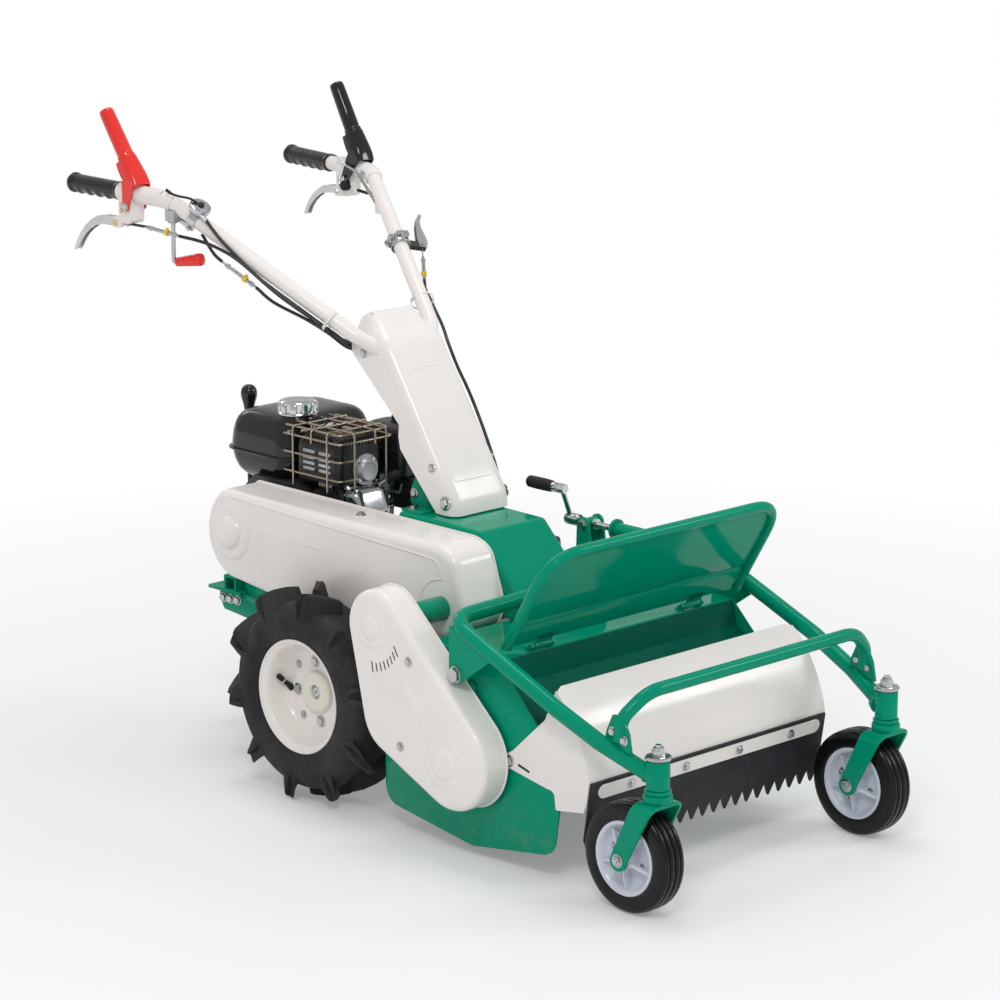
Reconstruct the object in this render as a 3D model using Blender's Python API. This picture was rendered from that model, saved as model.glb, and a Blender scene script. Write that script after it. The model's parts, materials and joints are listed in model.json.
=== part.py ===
"""Walk-behind hammer knife mower.

Metres, +Z up. The machine's front, with the casters, points to -Y and its handles to +Y. -X is its right
side, where the rotor's belt cover is. Everything is laid out from the point on the ground under the drive
axle, and the whole model is then moved so that the middle of its footprint is the origin.
"""

import math

import bpy
import bmesh
from mathutils import Matrix, Vector

RIGHT = -1
LEFT = 1
SIDE_NAME = {RIGHT: "right", LEFT: "left"}

# Clearances
GAP = 0.0003
RUNNING_GAP = 0.001
SINK = 0.0008
SHAFT_GAP = 0.0008

# Drive wheels
TYRE_RADIUS = 0.190
TYRE_WIDTH = 0.100
WHEEL_TRACK = 0.520
LUG_COUNT = 10
LUG_DEPTH = 0.022
LUG_SKEW = math.radians(13)
RIM_RADIUS = 0.0998
RIM_WALL = 0.009
RIM_DISC_DEPTH = 0.048
RIM_DISC_THICKNESS = 0.006
HUB_RADIUS = 0.031
HUB_HEIGHT = 0.010
AXLE_RADIUS = 0.0125
WHEEL_BOLT_CIRCLE = 0.052
WHEEL_BOLT_COUNT = 4

# Casters
CASTER_RADIUS = 0.0915
CASTER_WIDTH = 0.055
CASTER_TRACK = 0.552
CASTER_STEM_Y = -0.833
CASTER_TRAIL = 0.050
CASTER_HUB_RADIUS = 0.0619
CASTER_AXLE_RADIUS = 0.006
FORK_PLATE = 0.006
FORK_SIDE_GAP = 0.005
FORK_TOP_GAP = 0.004
FORK_LENGTH = 0.044
FORK_FOOT_RADIUS = 0.018
STEM_RADIUS = 0.010
STEM_SLEEVE_RADIUS = 0.019
STEM_SLEEVE_HEIGHT = 0.048
STEM_COLLAR_RADIUS = 0.023
STEM_COLLAR_HEIGHT = 0.020
STEM_WASHER_RADIUS = 0.024
STEM_WASHER_HEIGHT = 0.004
STEM_NUT_RADIUS = 0.0135
STEM_NUT_HEIGHT = 0.020
STEM_TIP_HEIGHT = 0.010

# Rotor and deck
ROTOR_Y = -0.418
ROTOR_Z = 0.176
ROTOR_SHAFT_RADIUS = 0.0125
ROTOR_DRUM_RADIUS = 0.030
KNIFE_REACH = 0.132
KNIFE_WIDTH = 0.034
KNIFE_THICKNESS = 0.007
KNIFE_COUNT = 16
SHIELD_CLEARANCE = 0.016
DECK_HALF_WIDTH = 0.283
DECK_PLATE = 0.003
DECK_TOP_Z = 0.350
DECK_TOP_FRONT_Y = -0.477
DECK_TOP_REAR_Y = -0.310
DECK_REAR_TOP_Z = 0.250
DECK_REAR_Y = -0.205
DECK_GROUND_CLEARANCE = 0.019
DECK_FRONT_Y = -0.622
DECK_CORNER_RADIUS = 0.034
DECK_CORNER_Z = 0.078

# Front cover and flap
COVER_SHEET = 0.002
COVER_TOP_Y = -0.610
COVER_TOP_Z = 0.333
COVER_BULGE = 0.014
COVER_FOLD_Y = -0.691
COVER_FOLD_Z = 0.194
COVER_LEAF = 0.048
COVER_BOLT_Y = -0.509
COVER_BOLT_Z = 0.188
FLAP_LEAN = math.radians(9)
FLAP_THICKNESS = 0.004
FLAP_LENGTH = 0.128
FLAP_TOOTH = 0.022
FLAP_TOOTH_COUNT = 21
CLAMP_THICKNESS = 0.003
CLAMP_WIDTH = 0.024
CLAMP_BOLT_COUNT = 4

# Lid
LID_HINGE_Y = -0.476
LID_HINGE_Z = 0.3585
LID_LENGTH = 0.222
LID_HALF_WIDTH = 0.2755
LID_CENTRE_X = 0.0075
LID_SHEET = 0.002
LID_TUBE_RADIUS = 0.0095
LID_CORNER = 0.070
LID_OPEN_ANGLE = math.radians(59)
LID_HINGE_RADIUS = 0.006
LID_PIN_RADIUS = 0.003
HINGE_CENTRES = (-0.18, 0.18)

# Front frame
FRAME_TUBE_RADIUS = 0.0136
FRAME_SIDE_CLEARANCE = 0.0158
FRAME_HALF_WIDTH = DECK_HALF_WIDTH + FRAME_TUBE_RADIUS + FRAME_SIDE_CLEARANCE
FRAME_CROSS_Y = -0.398
FRAME_CROSS_Z = 0.418
FRAME_BEND = 0.045
FRAME_KNEE_Y = -0.690
FRAME_KNEE_Z = 0.292
FRAME_END_Z = 0.240
PIVOT_Y = -0.418
PIVOT_Z = 0.322
PIVOT_RADIUS = 0.009
GUSSET_PLATE = 0.005
GUSSET_EYE_RADIUS = 0.016
GUARD_TUBE_RADIUS = 0.011
GUARD_HALF_WIDTH = 0.250
GUARD_TOP_Z = 0.356
GUARD_Y = -0.784
GUARD_FOOT_Y = -0.765
GUARD_FOOT_HEIGHT = 0.040

# Height screw
SCREW_X = 0.150
SCREW_Z = 0.468
SCREW_RADIUS = 0.006
SCREW_BEARING_Y = -0.262
SCREW_REAR_Y = -0.205
SCREW_LENGTH = 0.155
NUT_TUBE_RADIUS = 0.0125
NUT_TUBE_BORE = 0.0085
NUT_TUBE_LENGTH = 0.076
CRANK_REACH = 0.062
CRANK_GRIP_RADIUS = 0.0105
CRANK_GRIP_LENGTH = 0.060
CRANK_TILT = math.radians(22)
BRACKET_PLATE = 0.005

# Belt drives
COUNTER_Y = -0.246
COUNTER_Z = 0.376
COUNTER_SHAFT_RADIUS = 0.010
COUNTER_TUBE_RADIUS = 0.021
COUNTER_TUBE_WALL = 0.004
COUNTER_FLANGE = 0.003
COUNTER_FLANGE_RADIUS = 0.046
BEARING_WIDTH = 0.012
CRANKSHAFT_Y = 0.307
CRANKSHAFT_Z = 0.409
CRANKSHAFT_RADIUS = 0.0125
CRANK_SOCKET = 0.005
ENGINE_PULLEY_RADIUS = 0.045
COUNTER_PULLEY_RADIUS = 0.038
ROTOR_DRIVE_PULLEY_RADIUS = 0.042
ROTOR_PULLEY_RADIUS = 0.055
PULLEY_WIDTH = 0.024
PULLEY_FLANGE = 0.006
BELT_THICKNESS = 0.008
BELT_WIDTH = 0.013
CASE_DEPTH = 0.0917
CASE_WALL = 0.003
CASE_TOP_Z = 0.482
CASE_REAR_RADIUS = 0.088
CASE_REAR_Y = 0.290
CASE_REAR_Z = 0.405
CASE_BOTTOM_Z = 0.302
CASE_FRONT_RADIUS = 0.056
CASE_ROUND = 0.006
ROTOR_COVER_STANDOFF = 0.007
ROTOR_COVER_DEPTH = 0.055
ROTOR_COVER_FIXINGS = [(-0.331, 0.330), (-0.310, 0.180)]
ROTOR_COVER_FACE_X = -DECK_HALF_WIDTH - ROTOR_COVER_STANDOFF - ROTOR_COVER_DEPTH
ROTOR_COVER_TOP_RADIUS = 0.064
ROTOR_COVER_BELLY_RADIUS = 0.073
ROTOR_COVER_FOOT_RADIUS = 0.085
ROTOR_COVER_ROUND = 0.007

# Chassis
CHASSIS_RIGHT_X = -0.098
CASE_BACK_X = CHASSIS_RIGHT_X - GAP
CASE_FACE_X = CASE_BACK_X - CASE_DEPTH
CHASSIS_LEFT_X = 0.060
CHASSIS_SHEET = 0.003
CHASSIS_ROUND = 0.006
CHASSIS_TOP_Z = 0.494
CHASSIS_REAR_Y = -0.035
CHASSIS_TOP_FRONT_Y = -0.250
CHASSIS_NOSE_Y = -0.335
CHASSIS_NOSE_Z = 0.395
TRANSMISSION_HALF_WIDTH = 0.062
TRANSMISSION_FRONT_Y = -0.085
TRANSMISSION_REAR_Y = 0.110
TRANSMISSION_LOW_Z = 0.115
TRANSMISSION_TOP_Z = 0.296
AXLE_TUBE_RADIUS = 0.028
AXLE_TUBE_REACH = 0.200
RAIL_X = 0.082
RAIL_HALF_WIDTH = 0.016
RAIL_LOW_Z = 0.205
RAIL_TOP_Z = 0.262
RAIL_REAR_Y = 0.452
BED_THICKNESS = 0.005
HITCH_HALF_WIDTH = 0.112
HITCH_PLATE = 0.005
HITCH_REAR_Y = 0.468

# Engine
ENGINE_RIGHT_X = -0.086
ENGINE_LEFT_X = 0.095
ENGINE_FRONT_Y = 0.205
ENGINE_REAR_Y = 0.415
ENGINE_BASE_Z = 0.3035
ENGINE_TOP_Z = 0.488
CYLINDER_ANGLE = math.radians(20)
CYLINDER_HALF_WIDTH = 0.048
CYLINDER_HALF_HEIGHT = 0.040
CYLINDER_REACH = 0.176
CYLINDER_X = -0.020
FIN_COUNT = 5
FIN_DEPTH = 0.006
ROCKER_DEPTH = 0.030
TANK_RIGHT_X = -0.085
TANK_LEFT_X = 0.125
TANK_FRONT_Y = 0.270
TANK_REAR_Y = 0.452
TANK_LOW_Z = 0.497
TANK_SEAM_Z = 0.528
TANK_TOP_Z = 0.601
TANK_SEAM_LIP = 0.006
TANK_FOOT_DEPTH = 0.045
TANK_NECK_RADIUS = 0.030
CAP_X = -0.028
CAP_Y = 0.306
CAP_RADIUS = 0.037
CAP_HEIGHT = 0.026
MUFFLER_RIGHT_X = -0.076
MUFFLER_LEFT_X = 0.030
MUFFLER_FRONT_Y = 0.142
MUFFLER_REAR_Y = 0.252
MUFFLER_LOW_Z = 0.5075
MUFFLER_TOP_Z = 0.588
OUTLET_RADIUS = 0.021
OUTLET_LENGTH = 0.014
OUTLET_X = -0.018
GUARD_WIRE_RADIUS = 0.0019
GUARD_WIRE_OFFSET = 0.009
GUARD_HEADROOM = 0.020
CLEANER_RIGHT_X = 0.046
CLEANER_LEFT_X = 0.126
CLEANER_FRONT_Y = 0.110
CLEANER_REAR_Y = 0.225
CLEANER_LOW_Z = 0.502
CLEANER_TOP_Z = 0.592
RECOIL_RADIUS = 0.086
RECOIL_DEPTH = 0.052
GEAR_LEVER_X = 0.020
GEAR_LEVER_Y = 0.500
GEAR_LEVER_PIVOT_Y = 0.487
GEAR_LEVER_PIVOT_Z = 0.272
GEAR_LEVER_TOP_Z = 0.606
GEAR_ROD_RADIUS = 0.005
GEAR_KNOB_RADIUS = 0.0155

# Handle column
COLUMN_HALF_WIDTH = 0.070
COLUMN_SHEET = 0.003
COLUMN_SHOULDER_Z = 0.772
COLUMN_TOP_Z = 0.822
COLUMN_RIDGE_HALF_WIDTH = 0.050
COLUMN_ROUND = 0.006
POST_HALF_WIDTH = 0.028
FOOT_BOLT_Y = -0.125
FOOT_BOLT_Z = 0.514

# Handles
HANDLE_RADIUS = 0.0136
HANDLE_CROSS_Y = 0.034
HANDLE_CROSS_Z = 0.748
HANDLE_EXIT_X = 0.089
HANDLE_EXIT_Y = 0.078
HANDLE_EXIT_Z = 0.783
HANDLE_BEND_X = 0.240
HANDLE_BEND_Y = 0.400
HANDLE_BEND_Z = 1.003
HANDLE_END_X = 0.258
HANDLE_END_Y = 0.655
HANDLE_END_Z = 1.010
HANDLE_BEND_RADIUS = 0.060
HANDLE_HOLE_CLEARANCE = 0.011
GRIP_RADIUS = 0.0175
GRIP_LENGTH = 0.136
LEVER_PIVOT_Y = 0.488
LEVER_PIVOT_Z = 0.984
LEVER_SHIFT = {RIGHT: 0.0, LEFT: -0.030}
LEVER_CHEEK = 0.003
LEVER_ANGLE = math.radians(57)
LEVER_OFFSET = 0.049
LEVER_CHANNEL_LENGTH = 0.073
LEVER_LENGTH = 0.174
LEVER_GRIP_RADIUS = 0.0135
LEVER_BRACKET_LOW_Z = 0.958
LEVER_BRACKET_FRONT_Y = 0.474
LEVER_BRACKET_REAR_Y = 0.512
CLUTCH_PIVOT = {RIGHT: (0.526, 0.958), LEFT: (0.495, 0.962)}
CLUTCH_REACH = {RIGHT: 0.126, LEFT: 0.108}
CLUTCH_LEVER_THICKNESS = 0.010
CLAMP_POSITION = 0.52
THIRD_LEVER_LENGTH = 0.085
THROTTLE_POSITION = 0.86
THROTTLE_RADIUS = 0.018
SWING_CRANK_POSITION = 0.97
SWING_CRANK_DROP = 0.085
CRANK_ROD_RADIUS = 0.0035
SWING_GRIP_LENGTH = 0.062
SWING_GRIP_RADIUS = 0.0105
CABLE_RADIUS = 0.003
ADJUSTER_RADIUS = 0.0048

FINISHES = {
    "green_paint": ((0.0, 0.27, 0.18), 0.25, 0.0),
    "white_paint": ((0.80, 0.77, 0.72), 0.25, 0.0),
    "cast_grey": ((0.30, 0.31, 0.32), 0.5, 0.6),
    "black_paint": ((0.015, 0.015, 0.016), 0.3, 0.0),
    "black_rubber": ((0.02, 0.02, 0.02), 0.75, 0.0),
    "tyre_rubber": ((0.035, 0.033, 0.032), 0.85, 0.0),
    "hub_plastic": ((0.55, 0.58, 0.64), 0.45, 0.0),
    "zinc": ((0.62, 0.62, 0.60), 0.3, 1.0),
    "aluminium": ((0.75, 0.75, 0.76), 0.3, 1.0),
    "red_plastic": ((0.75, 0.02, 0.015), 0.3, 0.0),
    "guard_wire": ((0.35, 0.28, 0.20), 0.4, 0.8),
    "belt_rubber": ((0.03, 0.03, 0.03), 0.8, 0.0),
}


# Scene and materials

def clear_scene():
    for item in list(bpy.data.objects):
        bpy.data.objects.remove(item, do_unlink=True)


def look(name):
    """The named finish as a Principled material."""
    found = bpy.data.materials.get(name)
    if found:
        return found
    colour, roughness, metallic = FINISHES[name]
    made = bpy.data.materials.new(name)
    made.use_nodes = True
    shader = made.node_tree.nodes["Principled BSDF"]
    shader.inputs["Base Color"].default_value = (*colour, 1.0)
    shader.inputs["Roughness"].default_value = roughness
    shader.inputs["Metallic"].default_value = metallic
    made.diffuse_color = (*colour, 1.0)
    return made


def pivot(name, at, parent=None):
    """An empty on a joint's axis, with its place given in the machine's own frame."""
    empty = bpy.data.objects.new(name + "_axis", None)
    bpy.context.collection.objects.link(empty)
    empty["place"] = Vector(at)
    empty.parent = parent
    origin = Vector(parent["place"]) if parent else Vector((0, 0, 0))
    empty.location = Vector(at) - origin
    return empty


# Plane outlines

def arc(centre, radius, start, end, steps):
    """Points on an arc, angles in degrees from the first plane axis."""
    points = []
    for step in range(steps + 1):
        angle = math.radians(start + (end - start) * step / steps)
        points.append((centre[0] + radius * math.cos(angle), centre[1] + radius * math.sin(angle)))
    return points


def circle(centre, radius, sides):
    return arc(centre, radius, 0, 360, sides)[:-1]


def hull(points):
    """The convex outline round some points, counter-clockwise."""
    ordered = sorted(set((round(a, 7), round(b, 7)) for a, b in points))

    def half(sequence):
        chain = []
        for point in sequence:
            while len(chain) > 1 and turn(chain[-2], chain[-1], point) <= 1e-12:
                chain.pop()
            chain.append(point)
        return chain[:-1]
    return half(ordered) + half(reversed(ordered))


def turn(a, b, c):
    return (b[0] - a[0]) * (c[1] - a[1]) - (b[1] - a[1]) * (c[0] - a[0])


def inset(outline, wall):
    """A counter-clockwise outline moved inwards by wall, with mitred corners."""
    count = len(outline)
    moved = []
    for index in range(count):
        before = Vector(outline[index - 1])
        here = Vector(outline[index])
        after = Vector(outline[(index + 1) % count])
        first = (here - before).normalized()
        second = (after - here).normalized()
        normal_a = Vector((-first.y, first.x))
        normal_b = Vector((-second.y, second.x))
        mitre = (normal_a + normal_b).normalized()
        reach = wall / max(mitre.dot(normal_a), 0.3)
        moved.append(tuple(here + mitre * reach))
    return moved


def sheet_outline(points, thickness):
    """The closed outline of a bent sheet whose left face, walking along, follows the points."""
    count = len(points)
    other = []
    for index in range(count):
        here = Vector(points[index])
        normals = []
        if index > 0:
            run = (here - Vector(points[index - 1])).normalized()
            normals.append(Vector((run.y, -run.x)))
        if index < count - 1:
            run = (Vector(points[index + 1]) - here).normalized()
            normals.append(Vector((run.y, -run.x)))
        mitre = sum(normals, Vector((0, 0))).normalized()
        other.append(tuple(here + mitre * thickness / max(mitre.dot(normals[0]), 0.3)))
    return list(points) + other[::-1]


def rounded_path(points, radius, steps=3):
    """A path through points whose inner corners are arcs of the given radius."""
    path = [Vector(points[0])]
    for index in range(1, len(points) - 1):
        before, here, after = (Vector(points[index + step]) for step in (-1, 0, 1))
        back = (before - here).normalized()
        ahead = (after - here).normalized()
        opening = back.angle(ahead)
        tangent = radius / math.tan(opening / 2)
        tangent = min(tangent, 0.49 * (before - here).length, 0.49 * (after - here).length)
        start = here + back * tangent
        end = here + ahead * tangent
        middle = (back + ahead).normalized()
        bend = tangent * math.tan(opening / 2)
        centre = here + middle * math.hypot(tangent, bend)
        for step in range(steps + 1):
            spot = start.lerp(end, step / steps)
            path.append(centre + (spot - centre).normalized() * bend)
    path.append(Vector(points[-1]))
    return path


# Solids

def solid_from(bm):
    bmesh.ops.recalc_face_normals(bm, faces=bm.faces)
    mesh = bpy.data.meshes.new("shape")
    bm.to_mesh(mesh)
    bm.free()
    shape = bpy.data.objects.new("shape", mesh)
    bpy.context.collection.objects.link(shape)
    return shape


PLANES = {
    "x": lambda a, b, depth: (depth, a, b),
    "y": lambda a, b, depth: (a, depth, b),
    "z": lambda a, b, depth: (a, b, depth),
}


def prism(outline, start, end, axis="x"):
    """An outline in the plane across axis, extruded from start to end along it."""
    bm = bmesh.new()
    place = PLANES[axis]
    low, high = min(start, end), max(start, end)
    corners = [bm.verts.new(place(a, b, low)) for a, b in outline]
    face = bm.faces.new(corners)
    grown = bmesh.ops.extrude_face_region(bm, geom=[face])
    moved = [item for item in grown["geom"] if isinstance(item, bmesh.types.BMVert)]
    bmesh.ops.translate(bm, verts=moved, vec=Vector(place(0, 0, high - low)))
    return solid_from(bm)


def block(low, high):
    """A box between two corners."""
    bm = bmesh.new()
    size = Vector(high) - Vector(low)
    middle = (Vector(high) + Vector(low)) / 2
    place = Matrix.Translation(middle) @ Matrix.Diagonal((*size, 1.0))
    bmesh.ops.create_cube(bm, size=1.0, matrix=place)
    return solid_from(bm)


AXES = {
    "x": Matrix.Rotation(math.radians(90), 4, "Y"),
    "y": Matrix.Rotation(math.radians(-90), 4, "X"),
    "z": Matrix.Identity(4),
}


def turned(profile, at, axis="x", sides=24, phase=0.0):
    """A profile of (along, radius) points turned round an axis through a point."""
    bm = bmesh.new()
    corners = [bm.verts.new((radius, 0.0, along)) for along, radius in profile]
    edges = [bm.edges.new((corners[k], corners[k + 1])) for k in range(len(corners) - 1)]
    if profile[0][1] > 0 or profile[-1][1] > 0:
        edges.append(bm.edges.new((corners[-1], corners[0])))
    bmesh.ops.spin(bm, geom=corners + edges, cent=(0, 0, 0), axis=(0, 0, 1),
                   angle=2 * math.pi, steps=sides, use_merge=True)
    bmesh.ops.remove_doubles(bm, verts=bm.verts, dist=1e-6)
    place = Matrix.Translation(Vector(at)) @ AXES[axis] @ Matrix.Rotation(phase, 4, "Z")
    bmesh.ops.transform(bm, matrix=place, verts=bm.verts)
    return solid_from(bm)


def rod(at, length, radius, axis="x", sides=16, phase=0.0):
    """A plain cylinder that starts at a point and runs along an axis."""
    profile = [(0, 0), (0, radius), (length, radius), (length, 0)]
    return turned(profile, at, axis, sides, phase)


def hexagon(at, height, radius, axis="x"):
    """A bolt head or a nut."""
    return rod(at, height, radius, axis, sides=6)


def pipe(points, radius, fineness=2):
    """A round bar along a path, with flat ends; it has 4 + 2 x fineness sides."""
    curve = bpy.data.curves.new("bar", "CURVE")
    curve.dimensions = "3D"
    curve.bevel_depth = radius
    curve.bevel_resolution = fineness
    curve.use_fill_caps = True
    line = curve.splines.new("POLY")
    line.points.add(len(points) - 1)
    for spot, point in zip(line.points, points):
        spot.co = (*point, 1.0)
    bar = bpy.data.objects.new("bar", curve)
    bpy.context.collection.objects.link(bar)
    shape = settled([bar])
    bm = bmesh.new()
    bm.from_mesh(shape.data)
    bpy.data.objects.remove(shape, do_unlink=True)
    bmesh.ops.remove_doubles(bm, verts=bm.verts, dist=1e-6)
    return solid_from(bm)


def softened(shape, width, segments=2, angle=40):
    """The shape with its sharp edges rounded."""
    rounding = shape.modifiers.new("rounding", "BEVEL")
    rounding.width = width
    rounding.segments = segments
    rounding.limit_method = "ANGLE"
    rounding.angle_limit = math.radians(angle)
    return settled([shape])


def settled(shapes):
    """Shapes evaluated with their modifiers, as one plain mesh object; the first one leads."""
    bpy.context.view_layer.update()
    graph = bpy.context.evaluated_depsgraph_get()
    mesh = bpy.data.meshes.new_from_object(shapes[0].evaluated_get(graph))
    mesh.transform(shapes[0].matrix_world)
    result = bpy.data.objects.new("shape", mesh)
    bpy.context.collection.objects.link(result)
    for shape in shapes:
        bpy.data.objects.remove(shape, do_unlink=True)
    return result


def combined(first, others, operation):
    """One solid from a first shape and others that are joined to it or cut from it."""
    if not others:
        return first
    for other in others:
        step = first.modifiers.new("step", "BOOLEAN")
        step.operation = operation
        step.object = other
    return settled([first] + list(others))


def fused(*shapes):
    return combined(shapes[0], shapes[1:], "UNION")


def cut(shape, *cutters):
    return combined(shape, cutters, "DIFFERENCE")


def moved(shape, matrix):
    shape.data.transform(matrix)
    return shape


def piece(name, finish, body, *solids):
    """A named sub-part, joined into one solid, whose origin is its body's pivot."""
    whole = fused(*solids)
    bm = bmesh.new()
    bm.from_mesh(whole.data)
    bpy.data.objects.remove(whole, do_unlink=True)
    bmesh.ops.dissolve_limit(bm, angle_limit=math.radians(0.2), verts=bm.verts, edges=bm.edges)
    bmesh.ops.translate(bm, verts=bm.verts, vec=-Vector(body["place"]))
    mesh = bpy.data.meshes.new(name)
    bm.to_mesh(mesh)
    bm.free()
    mesh.shade_smooth()
    mesh.set_sharp_from_angle(angle=math.radians(35))
    mesh.materials.clear()
    mesh.materials.append(look(finish))
    made = bpy.data.objects.new(name, mesh)
    bpy.context.collection.objects.link(made)
    made.parent = body
    return made


# Drive wheels

def lug_tyre(centre_x, side):
    """A tyre whose lugs slant back from the middle on both halves, half a pitch apart."""
    half = TYRE_WIDTH / 2
    bead_half = 0.40 * TYRE_WIDTH
    pitch = 2 * math.pi / LUG_COUNT
    shares = (0.0, 0.36, 0.50, 0.86)
    bead = (RIM_RADIUS + GAP) / math.cos(0.18 * pitch)
    base = TYRE_RADIUS - LUG_DEPTH
    # Columns across the tyre: offset, radius between lugs, radius on a lug
    columns = [
        (0.00, base, base),
        (0.30 * half, base, TYRE_RADIUS),
        (0.97 * half, base - 0.012, TYRE_RADIUS - 0.002),
        (1.00 * half, base - 0.026, base - 0.014),
        (0.92 * half, 0.66 * base + 0.34 * bead, 0.66 * base + 0.34 * bead),
        (bead_half, bead, bead),
    ]
    ring = [(side * -1, column) for column in columns[:0:-1]] + [(side, column) for column in columns]
    stations = LUG_COUNT * 4
    bm = bmesh.new()
    rows = []
    for station in range(stations):
        quarter = station % 4
        angle = pitch * (station // 4 + shares[quarter])
        row = []
        for hand, (offset, low, high) in ring:
            on_lug = quarter in (0, 1) if hand == side else quarter in (2, 3)
            radius = high if on_lug else low
            slant = angle + LUG_SKEW * min(offset / half, 1.0)
            row.append(bm.verts.new((centre_x + hand * offset,
                                     radius * math.sin(slant), radius * math.cos(slant))))
        rows.append(row)
    for index, row in enumerate(rows):
        after = rows[(index + 1) % stations]
        for k in range(len(row)):
            n = (k + 1) % len(row)
            bm.faces.new((row[k], row[n], after[n], after[k]))
    bmesh.ops.triangulate(bm, faces=bm.faces)
    return solid_from(bm)


def drive_wheel(side, root):
    name = SIDE_NAME[side]
    centre = side * WHEEL_TRACK / 2
    body = pivot("drive_wheel_" + name, (centre, 0, TYRE_RADIUS), root)
    tyre = moved(lug_tyre(0, side), Matrix.Translation((centre, 0, TYRE_RADIUS)))
    piece("drive_tyre_" + name, "tyre_rubber", body, tyre)

    face = 0.41 * TYRE_WIDTH
    disc = face - RIM_DISC_DEPTH
    inner = RIM_RADIUS - RIM_WALL
    shaft_end = AXLE_TUBE_REACH - 0.030 - WHEEL_TRACK / 2
    profile = [
        (disc + HUB_HEIGHT, 0), (disc + HUB_HEIGHT, HUB_RADIUS - 0.002),
        (disc + HUB_HEIGHT - 0.002, HUB_RADIUS),
        (disc, HUB_RADIUS), (disc, inner - 0.014), (disc + 0.010, inner), (face, RIM_RADIUS - 0.003),
        (face, RIM_RADIUS), (-face, RIM_RADIUS), (-face, inner), (disc - RIM_DISC_THICKNESS, inner),
        (disc - RIM_DISC_THICKNESS, AXLE_RADIUS + 0.008),
        (disc - RIM_DISC_THICKNESS - 0.016, AXLE_RADIUS + 0.008),
        (disc - RIM_DISC_THICKNESS - 0.016, AXLE_RADIUS), (shaft_end, AXLE_RADIUS), (shaft_end, 0),
    ]
    profile = [(side * along, radius) for along, radius in profile]
    rim = turned(profile, (centre, 0, TYRE_RADIUS), "x", 20)
    bolts = []
    head = 0.006
    for index in range(WHEEL_BOLT_COUNT):
        angle = 2 * math.pi * (index + 0.5) / WHEEL_BOLT_COUNT
        start = centre + side * (disc - SINK) - (head if side == RIGHT else 0)
        spot = (start, WHEEL_BOLT_CIRCLE * math.sin(angle),
                TYRE_RADIUS + WHEEL_BOLT_CIRCLE * math.cos(angle))
        bolts.append(hexagon(spot, head, 0.0065))
    piece("drive_rim_" + name, "white_paint", body, rim, *bolts)


# Casters

def fork_top_z():
    """Height of the fork's crown plate, upper face."""
    return 2 * CASTER_RADIUS + FORK_TOP_GAP + FORK_PLATE


def sleeve_low_z():
    return fork_top_z() + STEM_COLLAR_HEIGHT + RUNNING_GAP


def sleeve_top_z():
    return sleeve_low_z() + STEM_SLEEVE_HEIGHT


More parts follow.
